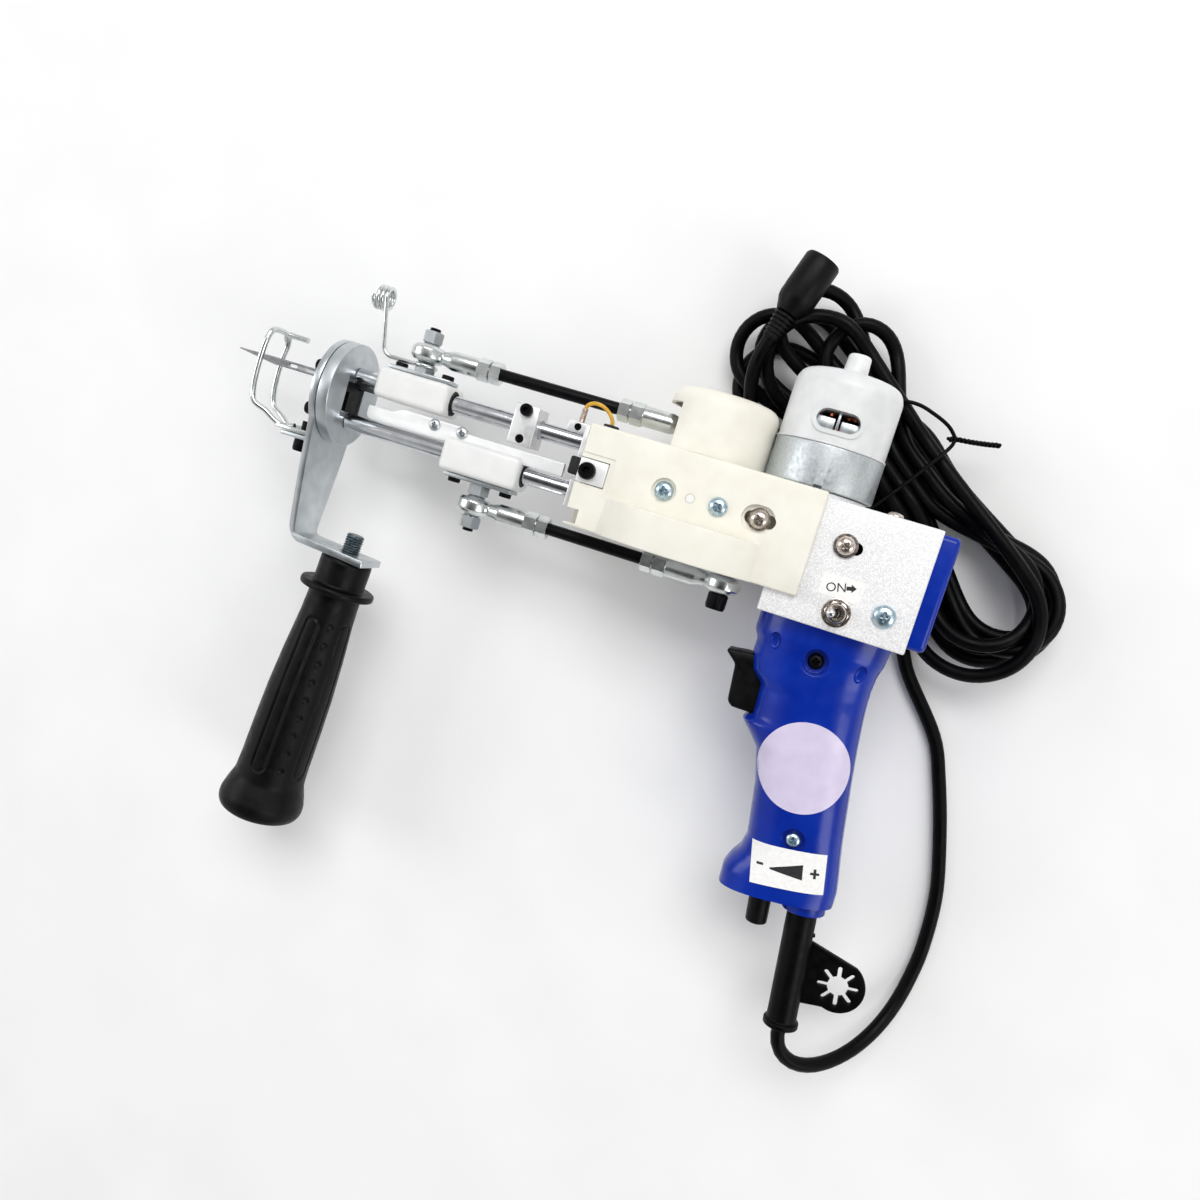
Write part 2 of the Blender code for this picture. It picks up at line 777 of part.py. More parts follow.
def gear_outline(teeth, pitch_radius, turn):
    """Straight-sided teeth, slim enough to run with play."""
    root, tip = pitch_radius - DEDENDUM, pitch_radius + ADDENDUM
    pitch = 2 * math.pi / teeth
    outline = []
    for k in range(teeth):
        middle = turn + k * pitch
        for radius, share in ((root, -TOOTH_ROOT_SHARE), (tip, -TOOTH_TIP_SHARE),
                              (tip, TOOTH_TIP_SHARE), (root, TOOTH_ROOT_SHARE)):
            angle = middle + share * pitch / 2
            outline.append((radius * math.cos(angle), radius * math.sin(angle)))
    return outline


def smooth_line(route, step, before=None, after=None):
    """Points an even step apart on a smooth curve through the route.

    before and after are points that the curve comes from and runs on to."""
    points = [np.array(p) for p in route]
    first = 2 * points[0] - points[1] if before is None else np.array(before)
    last = 2 * points[-1] - points[-2] if after is None else np.array(after)
    padded = [first, *points, last]
    fine = []
    for a, b, c, d in zip(padded, padded[1:], padded[2:], padded[3:]):
        for t in np.linspace(0, 1, 20, endpoint=False):
            fine.append(
                (2 * b + (c - a) * t + (2 * a - 5 * b + 4 * c - d) * t**2 + (3 * b - a - 3 * c + d) * t**3) / 2
            )
    fine.append(points[-1])
    return evenly(np.array(fine), step)


def evenly(line, step):
    lengths = np.concatenate([[0], np.cumsum(np.linalg.norm(np.diff(line, axis=0), axis=1))])
    count = max(2, round(lengths[-1] / step) + 1)
    places = np.linspace(0, lengths[-1], count)
    return [tuple(np.interp(places, lengths, line[:, axis])[k] for axis in range(3)) for k in range(count)]


def line_length(points):
    return float(np.linalg.norm(np.diff(np.array(points), axis=0), axis=1).sum())


# Empties that carry the moving pieces

ROOT = bpy.data.objects.new("machine", None)
PARTS.objects.link(ROOT)


def axis_empty(name, location, parent=None):
    empty = bpy.data.objects.new(name, None)
    empty.location = location
    PARTS.objects.link(empty)
    carrier = parent or ROOT
    empty.parent = carrier
    empty.matrix_parent_inverse = Matrix.Translation(-world_place(carrier))
    return empty


def world_place(empty):
    """Where an empty stands: none of them is turned."""
    place = Vector(empty.location)
    if empty.parent:
        place = place + empty.matrix_parent_inverse.translation + world_place(empty.parent)
    return place


def carried(obj, empty=None):
    """Hangs a piece, with the pieces and cutters that its Booleans use, from an empty."""
    carrier = empty or ROOT
    obj.parent = carrier
    obj.matrix_parent_inverse = Matrix.Translation(-world_place(carrier))
    for modifier in obj.modifiers:
        if modifier.type == "BOOLEAN":
            carried(modifier.object, empty)
    return obj


# Gear housing

def housing_body():
    """The whole housing in one block, before it is split into its two halves."""
    body = box(
        "housing",
        (HOUSING_FRONT, HOUSING_BOTTOM, -HOUSING_HALF_WIDTH),
        (HOUSING_REAR, HOUSING_TOP, HOUSING_HALF_WIDTH),
        HOUSING_EDGE,
        1,
    )
    bulge = bar("gear_bulge", (0, HOUSING_BOTTOM - BULGE_STEP, 0), (0, BULGE_TOP, 0), BULGE_RADIUS, 2 * FINE)
    bevel_edges(bulge, HOUSING_EDGE, 1)
    join(body, bulge)
    inner_half_width = BOX_HALF_WIDTH + GAP
    cut(
        body,
        box(
            "box_opening",
            (BOX_FRONT - GAP, HOUSING_BOTTOM - OVERRUN, -inner_half_width),
            (HOUSING_REAR + OVERRUN, HOUSING_TOP + OVERRUN, inner_half_width),
        ),
        bar("gear_chamber", (0, CHAMBER_BOTTOM, 0), (0, CHAMBER_TOP, 0), CHAMBER_RADIUS, 2 * FINE),
        bar(
            "lower_crank_opening",
            (0, HOUSING_BOTTOM - OVERRUN, 0),
            (0, CHAMBER_BOTTOM + OVERRUN, 0),
            LOWER_CRANK_RADIUS + 2 * GAP,
            FINE,
        ),
        bar("shaft_bore", (0, CHAMBER_TOP, 0), (0, HOUSING_TOP + OVERRUN, 0), SHAFT_RADIUS + 2 * GAP),
        bar(
            "lower_bearing_seat",
            (0, CHAMBER_TOP - OVERRUN, 0),
            (0, CHAMBER_TOP + BEARING_WIDTH + 2 * GAP, 0),
            BEARING_RADIUS + GAP,
        ),
        bar(
            "upper_bearing_seat",
            (0, HOUSING_TOP - BEARING_WIDTH - 2 * GAP, 0),
            (0, HOUSING_TOP + OVERRUN, 0),
            BEARING_RADIUS + GAP,
        ),
        bar(
            "upper_guide_bore",
            (HOUSING_FRONT - OVERRUN, UPPER_GUIDE_Y, 0),
            (HOUSING_FRONT + UPPER_GUIDE_SEAT, UPPER_GUIDE_Y, 0),
            GUIDE_BORE,
        ),
        bar(
            "lower_guide_bore",
            (HOUSING_FRONT - OVERRUN, LOWER_GUIDE_Y, 0),
            (HOUSING_FRONT + LOWER_GUIDE_SEAT, LOWER_GUIDE_Y, 0),
            GUIDE_BORE,
        ),
        box(
            "clamp_recess",
            (HOUSING_FRONT - OVERRUN, CLAMP_Y - CLAMP_HEIGHT / 2 - GAP, HOUSING_HALF_WIDTH - CLAMP_DEPTH - GAP),
            (HOUSING_FRONT + CLAMP_LENGTH + GAP, CLAMP_Y + CLAMP_HEIGHT / 2 + GAP, HOUSING_HALF_WIDTH + OVERRUN),
        ),
        box(
            "front_notch",
            (HOUSING_FRONT - OVERRUN, FRONT_NOTCH_BOTTOM, FRONT_NOTCH_FLOOR),
            (HOUSING_FRONT + FRONT_NOTCH_DEPTH, FRONT_NOTCH_TOP, HOUSING_HALF_WIDTH + OVERRUN),
        ),
        bar(
            "grommet_hole",
            (GROMMET_X, HOUSING_TOP - GROMMET_HEIGHT, EARTH_BLOCK_NEAR - EARTH_BLOCK_DEPTH / 2),
            (GROMMET_X, HOUSING_TOP + OVERRUN, EARTH_BLOCK_NEAR - EARTH_BLOCK_DEPTH / 2),
            GROMMET_RADIUS / 2 + GAP,
            SMALL,
        ),
    )
    for x in (FRONT_SCREW_X, MIDDLE_SCREW_X):
        cut(body, screw_hole("housing_screw_hole", x, SCREW_LINE_Y, HOUSING_HALF_WIDTH, HOUSING_SCREW_LENGTH))
    cut(
        body,
        screw_hole("slot_screw_hole", SLOT_SCREW_X, SCREW_LINE_Y, HOUSING_HALF_WIDTH, HOUSING_SCREW_LENGTH),
        bar(
            "screw_pocket",
            (FRONT_SCREW_X, SCREW_LINE_Y, HOUSING_HALF_WIDTH - SCREW_POCKET_DEPTH),
            (FRONT_SCREW_X, SCREW_LINE_Y, HOUSING_HALF_WIDTH + OVERRUN),
            PAN_HEAD_RADIUS + 2 * GAP,
        ),
        plate(
            "housing_slot",
            obround((SLOT_SCREW_X - GAP, SCREW_LINE_Y), SLOT_LENGTH, SLOT_HEIGHT),
            2 * SLOT_DEPTH,
            flat_xy(HOUSING_HALF_WIDTH),
        ),
    )
    return body


def screw_hole(name, x, y, surface, length):
    return bar(
        name, (x, y, surface - length - GAP), (x, y, surface + OVERRUN), SCREW_SHANK_RADIUS + GAP, SMALL
    )


def housing_half(name, side):
    """One half of the housing: side is 1 for the left half, which faces up, and -1 for the right."""
    body = housing_body()
    body.name = name
    far = BULGE_RADIUS + OVERRUN
    low, high = sorted((-side * far, side * GAP / 2))
    cut(
        body,
        box(
            "other_half",
            (HOUSING_FRONT - OVERRUN, HOUSING_BOTTOM - OVERRUN, low),
            (HOUSING_REAR + OVERRUN, HOUSING_TOP + OVERRUN, high),
        ),
    )
    return carried(finish(body, "nylon_ivory"))


def crank_cover():
    cover_bottom = HOUSING_TOP + GAP
    height = COVER_TOP - cover_bottom
    inner = COVER_RADIUS - COVER_WALL
    corner = [
        (COVER_RADIUS - COVER_FILLET + COVER_FILLET * math.sin(a), height - COVER_FILLET + COVER_FILLET * math.cos(a))
        for a in np.linspace(0, math.pi / 2, 6)
    ]
    profile = [(0, height), *corner, (COVER_RADIUS, 0), (inner, 0), (inner, height - COVER_ROOF - COVER_FILLET / 2),
               (inner - COVER_FILLET / 2, height - COVER_ROOF), (0, height - COVER_ROOF)]
    cover = turned("crank_cover", (0, cover_bottom, 0), Y_AXIS, profile, 2 * ROUND)
    cut(
        cover,
        box(
            "cover_window",
            (-COVER_RADIUS - OVERRUN, cover_bottom - OVERRUN, -COVER_RADIUS),
            (COVER_WINDOW_X, COVER_WINDOW_TOP, COVER_RADIUS),
        ),
    )
    return carried(finish(cover, "nylon_ivory"))


# Turning pieces

def crank_pieces(crank):
    drive = plate(
        "drive_gear",
        gear_outline(GEAR_TEETH, GEAR_RADIUS, math.pi / GEAR_TEETH),
        GEAR_WIDTH,
        flat_xz((GEAR_BOTTOM + GEAR_TOP) / 2),
    )
    hub_top = CHAMBER_TOP
    join(drive, bar("gear_hub", (0, GEAR_TOP - GAP, 0), (0, hub_top, 0), GEAR_HUB_RADIUS))
    cut(
        drive,
        bar("gear_bore", (0, GEAR_BOTTOM - OVERRUN, 0), (0, hub_top + OVERRUN, 0), SHAFT_RADIUS + GAP),
    )
    carried(finish(drive, "steel"), crank)

    upper_bottom = UPPER_ROD_Y - BALL_HALF_WIDTH - GAP - UPPER_CRANK_THICKNESS
    shaft_top = upper_bottom + UPPER_CRANK_THICKNESS - GAP
    shaft = bar("crankshaft", (0, GEAR_BOTTOM, 0), (0, shaft_top, 0), SHAFT_RADIUS)
    carried(finish(shaft, "steel"), crank)

    upper = bar("upper_crank", (0, upper_bottom, 0), (0, upper_bottom + UPPER_CRANK_THICKNESS, 0), UPPER_CRANK_RADIUS)
    cut(
        upper,
        bar(
            "crank_bore",
            (0, upper_bottom - OVERRUN, 0),
            (0, upper_bottom + UPPER_CRANK_THICKNESS + OVERRUN, 0),
            SHAFT_RADIUS + GAP,
        ),
    )
    carried(finish(upper, "steel"), crank)

    lower = bar(
        "lower_crank",
        (0, HOUSING_BOTTOM - LOWER_CRANK_PROUD, 0),
        (0, GEAR_BOTTOM - GAP, 0),
        LOWER_CRANK_RADIUS,
        FINE,
    )
    carried(finish(lower, "steel"), crank)


def bearing(name, bottom):
    ring = bar(name, (0, bottom, 0), (0, bottom + BEARING_WIDTH, 0), BEARING_RADIUS)
    cut(
        ring,
        bar("bearing_bore", (0, bottom - OVERRUN, 0), (0, bottom + BEARING_WIDTH + OVERRUN, 0), SHAFT_RADIUS + GAP),
    )
    return carried(finish(ring, "steel"))


def motor_pieces(rotor):
    seat = HOUSING_TOP + GAP
    can_height = MOTOR_CAN_TOP - seat
    inner = MOTOR_RADIUS - MOTOR_WALL
    hole = MOTOR_SHAFT_RADIUS + 2 * GAP
    can = turned(
        "motor_can",
        (MOTOR_X, seat, 0),
        Y_AXIS,
        [(MOTOR_RADIUS, can_height), (MOTOR_RADIUS, 0), (hole, 0), (hole, MOTOR_WALL), (inner, MOTOR_WALL),
         (inner, can_height), (MOTOR_RADIUS, can_height)],
        2 * ROUND,
    )
    carried(finish(can, "zinc"))

    cap_bottom = MOTOR_CAN_TOP + GAP
    cap_inner = MOTOR_CAP_RADIUS - MOTOR_CAP_WALL
    shoulder = MOTOR_SHOULDER - cap_bottom
    top = MOTOR_CAP_TOP - cap_bottom
    nub = MOTOR_NUB_TOP - cap_bottom
    drop = top - shoulder
    cap = turned(
        "motor_cap",
        (MOTOR_X, cap_bottom, 0),
        Y_AXIS,
        [
            (0, nub),
            (MOTOR_NUB_RADIUS - MOTOR_CAP_WALL / 2, nub),
            (MOTOR_NUB_RADIUS, nub - MOTOR_CAP_WALL / 2),
            (MOTOR_NUB_RADIUS, top),
            (MOTOR_CAP_RADIUS - drop, top),
            (MOTOR_CAP_RADIUS - drop / 3, top - drop / 3),
            (MOTOR_CAP_RADIUS, shoulder),
            (MOTOR_CAP_RADIUS, 0),
            (cap_inner, 0),
            (cap_inner, shoulder - MOTOR_CAP_WALL),
            (cap_inner - drop, top - MOTOR_CAP_WALL),
            (MOTOR_SHAFT_RADIUS + GAP, top - MOTOR_CAP_WALL),
            (MOTOR_SHAFT_RADIUS + GAP, nub - 2 * MOTOR_CAP_WALL),
            (0, nub - 2 * MOTOR_CAP_WALL),
        ],
        2 * ROUND,
    )
    cut(
        cap,
        plate(
            "motor_slot",
            obround((MOTOR_X, MOTOR_SLOT_Y), 2 * MOTOR_SLOT_HALF_LENGTH, 2 * MOTOR_SLOT_HALF_HEIGHT),
            2 * (MOTOR_CAP_RADIUS + OVERRUN),
            flat_xy(0),
        ),
    )
    carried(finish(cap, "cap_white"))

    shaft_bottom = GEAR_BOTTOM - GEAR_SIDE_CLEARANCE / 2
    shaft_top = MOTOR_NUB_TOP - 2 * MOTOR_CAP_WALL - GAP
    neck = MOTOR_SHAFT_RADIUS
    profile = [
        (0, shaft_top),
        (neck, shaft_top),
        (neck, COMMUTATOR_TOP),
        (COMMUTATOR_RADIUS, COMMUTATOR_TOP),
        (COMMUTATOR_RADIUS, MOTOR_CORE_TOP),
        (MOTOR_CORE_RADIUS, MOTOR_CORE_TOP),
        (MOTOR_CORE_RADIUS, MOTOR_CORE_BOTTOM),
        (neck, MOTOR_CORE_BOTTOM),
        (neck, shaft_bottom),
        (0, shaft_bottom),
    ]
    carried(finish(turned("motor_rotor", (MOTOR_X, 0, 0), Y_AXIS, profile), "copper"), rotor)

    pinion = plate(
        "pinion",
        gear_outline(PINION_TEETH, PINION_RADIUS, 0),
        GEAR_WIDTH,
        Matrix.Translation((MOTOR_X, 0, 0)) @ flat_xz((GEAR_BOTTOM + GEAR_TOP) / 2),
        [ring_outline(MOTOR_SHAFT_RADIUS + GAP, SMALL)],
    )
    carried(finish(pinion, "brass"), rotor)


# Connecting rods

def rod_end(name, ball, back, bore, pin=None):
    """A rod end: its eye and ball about the machine's Y axis, its shank towards back (1 or -1 along X)."""
    x, y = ball
    eye = turned(
        name,
        (x, y, 0),
        Y_AXIS,
        [
            (0, BALL_HALF_WIDTH),
            (BALL_RING_RADIUS, BALL_HALF_WIDTH),
            (BALL_RING_RADIUS + GAP, EYE_HALF_WIDTH),
            (EYE_RADIUS - EYE_HALF_WIDTH / 2, EYE_HALF_WIDTH),
            (EYE_RADIUS, EYE_HALF_WIDTH / 2),
            (EYE_RADIUS, -EYE_HALF_WIDTH / 2),
            (EYE_RADIUS - EYE_HALF_WIDTH / 2, -EYE_HALF_WIDTH),
            (BALL_RING_RADIUS + GAP, -EYE_HALF_WIDTH),
            (BALL_RING_RADIUS, -BALL_HALF_WIDTH),
            (0, -BALL_HALF_WIDTH),
        ],
    )
    eye.data.shade_smooth()
    join(
        eye,
        bar(
            "shank",
            (x + back * (EYE_RADIUS - EYE_HALF_WIDTH), y, 0),
            (x + back * SHANK_END, y, 0),
            EYE_HALF_WIDTH,
            ROUND,
            SHANK_RADIUS,
        ),
        bar("hex_collar", (x + back * (SHANK_END - GAP), y, 0), (x + back * HEX_COLLAR_END, y, 0), HEX_COLLAR_RADIUS, 6),
    )
    thread = bar(
        "thread",
        (x + back * (HEX_COLLAR_END - THREAD_DEPTH), y, 0),
        (x + back * (HEX_COLLAR_END + OVERRUN), y, 0),
        TIE_ROD_RADIUS + GAP,
        SMALL,
    )
    cut(eye, thread)
    if bore:
        cut(eye, bar("ball_bore", (x, y - EYE_RADIUS, 0), (x, y + EYE_RADIUS, 0), BOLT_RADIUS + GAP, SMALL))
    if pin:
        side, height = pin
        join(
            eye,
            bar(
                "pin_head",
                (x, y + side * (BALL_HALF_WIDTH - GAP), 0),
                (x, y + side * (BALL_HALF_WIDTH + height), 0),
                PIN_HEAD_RADIUS,
                SMALL,
            ),
        )
    return finish(eye, "chrome")


def connecting_rod(label, front_x, length, y, pin, carrier):
    carried(rod_end(label + "_rod_front_end", (front_x, y), 1, True), carrier)
    carried(rod_end(label + "_rod_rear_end", (front_x + length, y), -1, False, pin), carrier)
    reach = HEX_COLLAR_END - THREAD_DEPTH + GAP
    middle = bar(label + "_tie_rod", (front_x + reach, y, 0), (front_x + length - reach, y, 0), TIE_ROD_RADIUS, SMALL)
    nuts = []
    for end, back in ((front_x, 1), (front_x + length, -1)):
        nuts.append(
            bar(
                "lock_nut",
                (end + back * (HEX_COLLAR_END + GAP), y, 0),
                (end + back * LOCK_NUT_END, y, 0),
                LOCK_NUT_RADIUS,
                6,
            )
        )
    join(middle, *nuts)
    carried(finish(middle, "black_oxide"), carrier)


# Sliders

def slider_block(name, low, high, guide_y):
    block = box(name, low, high, SLIDER_EDGE)
    cut(block, bar("slider_bore", (low[0] - OVERRUN, guide_y, 0), (high[0] + OVERRUN, guide_y, 0), GUIDE_BORE))
    return block


def slider_plate(name, front, rear, surface, side, ball_x, ball_y):
    """The steel plate on a slider, with its two screws and the bolt that carries the rod end's ball.

    side is 1 where the plate lies on top of the slider, -1 where it lies underneath."""
    near = surface + side * GAP
    far = near + side * SLIDER_PLATE_THICKNESS
    low, high = sorted((near, far))
    strip = box(
        name,
        (front + SLIDER_PLATE_MARGIN, low, -SLIDER_PLATE_HALF_DEPTH),
        (rear - SLIDER_PLATE_MARGIN, high, SLIDER_PLATE_HALF_DEPTH),
    )
    for x in (front + SLIDER_PLATE_MARGIN + SLIDER_SCREW_INSET, rear - SLIDER_PLATE_MARGIN - SLIDER_SCREW_INSET):
        join(
            strip,
            bar(
                "plate_screw",
                (x, far - side * SLIDER_PLATE_THICKNESS / 2, 0),
                (x, far + side * SLIDER_SCREW_HEIGHT, 0),
                SLIDER_SCREW_RADIUS,
                SMALL,
            ),
        )
    clamp = YARN_RING_THICKNESS + GAP if side > 0 else 0
    spacer_top = ball_y - side * (BALL_HALF_WIDTH + GAP + clamp)
    nut_start = ball_y + side * (BALL_HALF_WIDTH + GAP)
    nut_end = nut_start + side * BALL_NUT_HEIGHT
    join(
        strip,
        bar("spacer", (ball_x, far - side * SLIDER_PLATE_THICKNESS / 2, 0), (ball_x, spacer_top, 0), SPACER_RADIUS, 6),
        bar(
            "ball_bolt",
            (ball_x, far - side * SLIDER_PLATE_THICKNESS / 2, 0),
            (ball_x, nut_end + side * BOLT_TIP, 0),
            BOLT_RADIUS,
            SMALL,
        ),
        bar("ball_nut", (ball_x, nut_start, 0), (ball_x, nut_end, 0), BALL_NUT_RADIUS, 6),
    )
    return finish(strip, "zinc")


NEEDLE_BALL_X = -NEEDLE_THROW - UPPER_ROD_LENGTH
CUTTER_BALL_X = CUTTER_THROW - LOWER_ROD_LENGTH


def needle_slide_pieces(slide):
    rear = NEEDLE_BALL_X + UPPER_SLIDER_BACK
    front = rear - UPPER_SLIDER_LENGTH
    bottom = UPPER_GUIDE_Y - UPPER_SLIDER_BELOW
    top = UPPER_GUIDE_Y + UPPER_SLIDER_ABOVE
    block = slider_block(
        "upper_slider", (front, bottom, -SLIDER_HALF_DEPTH), (rear, top, SLIDER_HALF_DEPTH), UPPER_GUIDE_Y
    )
    needle_low = UPPER_GUIDE_Y - NEEDLE_BELOW_GUIDE
    needle_high = needle_low + NEEDLE_HEIGHT
    half = NEEDLE_THICKNESS / 2
    cut(
        block,
        box(
            "needle_slot",
            (front - OVERRUN, needle_low - GAP, NEEDLE_SIDE - half - GAP),
            (front + NEEDLE_SEAT + GAP, needle_high + GAP, NEEDLE_SIDE + half + GAP),
        ),
    )
    carried(finish(block, "acetal_white"), slide)
    carried(slider_plate("upper_slider_plate", front, rear, top, 1, NEEDLE_BALL_X, UPPER_ROD_Y), slide)

    tip = front - NEEDLE_TIP
    outline = [
        (front + NEEDLE_SEAT, needle_low),
        (front + NEEDLE_SEAT, needle_high),
        (tip + NEEDLE_POINT, needle_high),
        (tip, needle_high - half / 2),
        (tip, needle_high - half),
        (tip + NEEDLE_POINT, needle_low),
    ]
    eye = ring_outline(NEEDLE_EYE_RADIUS, SMALL, (tip + NEEDLE_EYE_BACK, (needle_low + needle_high) / 2))
    needle = plate("needle", outline, NEEDLE_THICKNESS, flat_xy(NEEDLE_SIDE), [eye])
    carried(finish(needle, "steel"), slide)
    carried(yarn_guide(), slide)


def yarn_guide():
    """A wire from the ring under the ball nut, forward along the plate, up, and into an eye of open curls."""
    ring_top = UPPER_ROD_Y - BALL_HALF_WIDTH - GAP
    wire_y = ring_top - YARN_RING_THICKNESS / 2
    bend_x = NEEDLE_BALL_X - YARN_STEM_FORWARD
    eye_y = wire_y + YARN_STEM_HEIGHT
    points = [
        (NEEDLE_BALL_X - YARN_RING_RADIUS + YARN_WIRE_RADIUS, wire_y, 0),
        (bend_x + YARN_BEND, wire_y, 0),
        (bend_x + YARN_BEND / 3, wire_y + YARN_BEND / 4, 0),
        (bend_x, wire_y + YARN_BEND, 0),
    ]
    eye_x = bend_x - YARN_STEM_LEAN
    count = round(YARN_EYE_TURNS * YARN_EYE_POINTS)
    for k in range(count + 1):
        turn = 2 * math.pi * k / YARN_EYE_POINTS
        points.append(
            (
                eye_x - YARN_EYE_PITCH * k / YARN_EYE_POINTS,
                eye_y + YARN_EYE_RADIUS * math.sin(turn),
                YARN_EYE_SIDE + YARN_EYE_RADIUS * math.cos(turn),
            )
        )
    print("yarn guide least gap to itself:", round(least_gap(points, YARN_WIRE_RADIUS, 5) * 1000, 2), "mm")
    wire = tube("yarn_guide", points, YARN_WIRE_RADIUS, 1)
    ring = bar(
        "guide_ring",
        (NEEDLE_BALL_X, ring_top - YARN_RING_THICKNESS, 0),
        (NEEDLE_BALL_X, ring_top, 0),
        YARN_RING_RADIUS,
    )
    join(wire, ring)
    cut(
        wire,
        bar(
            "guide_ring_hole",
            (NEEDLE_BALL_X, ring_top - 2 * YARN_RING_THICKNESS, 0),
            (NEEDLE_BALL_X, ring_top + YARN_RING_THICKNESS, 0),
            BOLT_RADIUS + GAP,
            SMALL,
        ),
    )
    return finish(wire, "chrome")


def least_gap(points, radius, apart):
    """Least distance between a tube's surface and itself, for points at least so many places apart."""
    places = np.array(points)
    best = math.inf
    for k in range(len(places) - 1):
        start, run = places[k], places[k + 1] - places[k]
        others = places[k + 1 + apart:]
        if len(others) == 0:
            break
        shares = np.clip((others - start) @ run / (run @ run), 0, 1)
        nearest = start + shares[:, None] * run
        best = min(best, float(np.linalg.norm(others - nearest, axis=1).min()))
    return best - 2 * radius


def cutter_slide_pieces(slide):
    rear = CUTTER_BALL_X + LOWER_SLIDER_BACK
    front = rear - LOWER_SLIDER_LENGTH
    bottom = LOWER_GUIDE_Y - LOWER_SLIDER_BELOW
    top = LOWER_GUIDE_Y + LOWER_SLIDER_ABOVE
    block = slider_block(
        "lower_slider", (front, bottom, -SLIDER_HALF_DEPTH), (rear, top, SLIDER_HALF_DEPTH), LOWER_GUIDE_Y
    )
    low = LOWER_GUIDE_Y + CUTTER_ABOVE_GUIDE
    high = low + CUTTER_HEIGHT
    half = CUTTER_THICKNESS / 2
    cut(
        block,
        box(
            "cutter_slot",
            (front - OVERRUN, low - GAP, CUTTER_SIDE - half - GAP),
            (rear + OVERRUN, top + OVERRUN, CUTTER_SIDE + half + GAP),
        ),
    )
    carried(finish(block, "acetal_white"), slide)
    carried(slider_plate("lower_slider_plate", front, rear, bottom, -1, CUTTER_BALL_X, LOWER_ROD_Y), slide)

    back = rear + CUTTER_BEHIND_SLIDER
    tip = front - CUTTER_AHEAD_OF_SLIDER
    outline = [
        (back, low),
        (back, high),
        (tip + BLADE_LENGTH, high),
        (tip + BLADE_LENGTH - BLADE_EXTRA_HEIGHT, high + BLADE_EXTRA_HEIGHT),
        (tip + BLADE_LENGTH / 3, high + BLADE_EXTRA_HEIGHT),
        (tip + BLADE_LENGTH / 4, high),
        (tip, high),
        (tip, low + half),
        (tip + half, low),
    ]
    blade = plate("cutter_bar", outline, CUTTER_THICKNESS, flat_xy(CUTTER_SIDE))
    carried(finish(blade, "steel"), slide)


# Frame in front of the housing

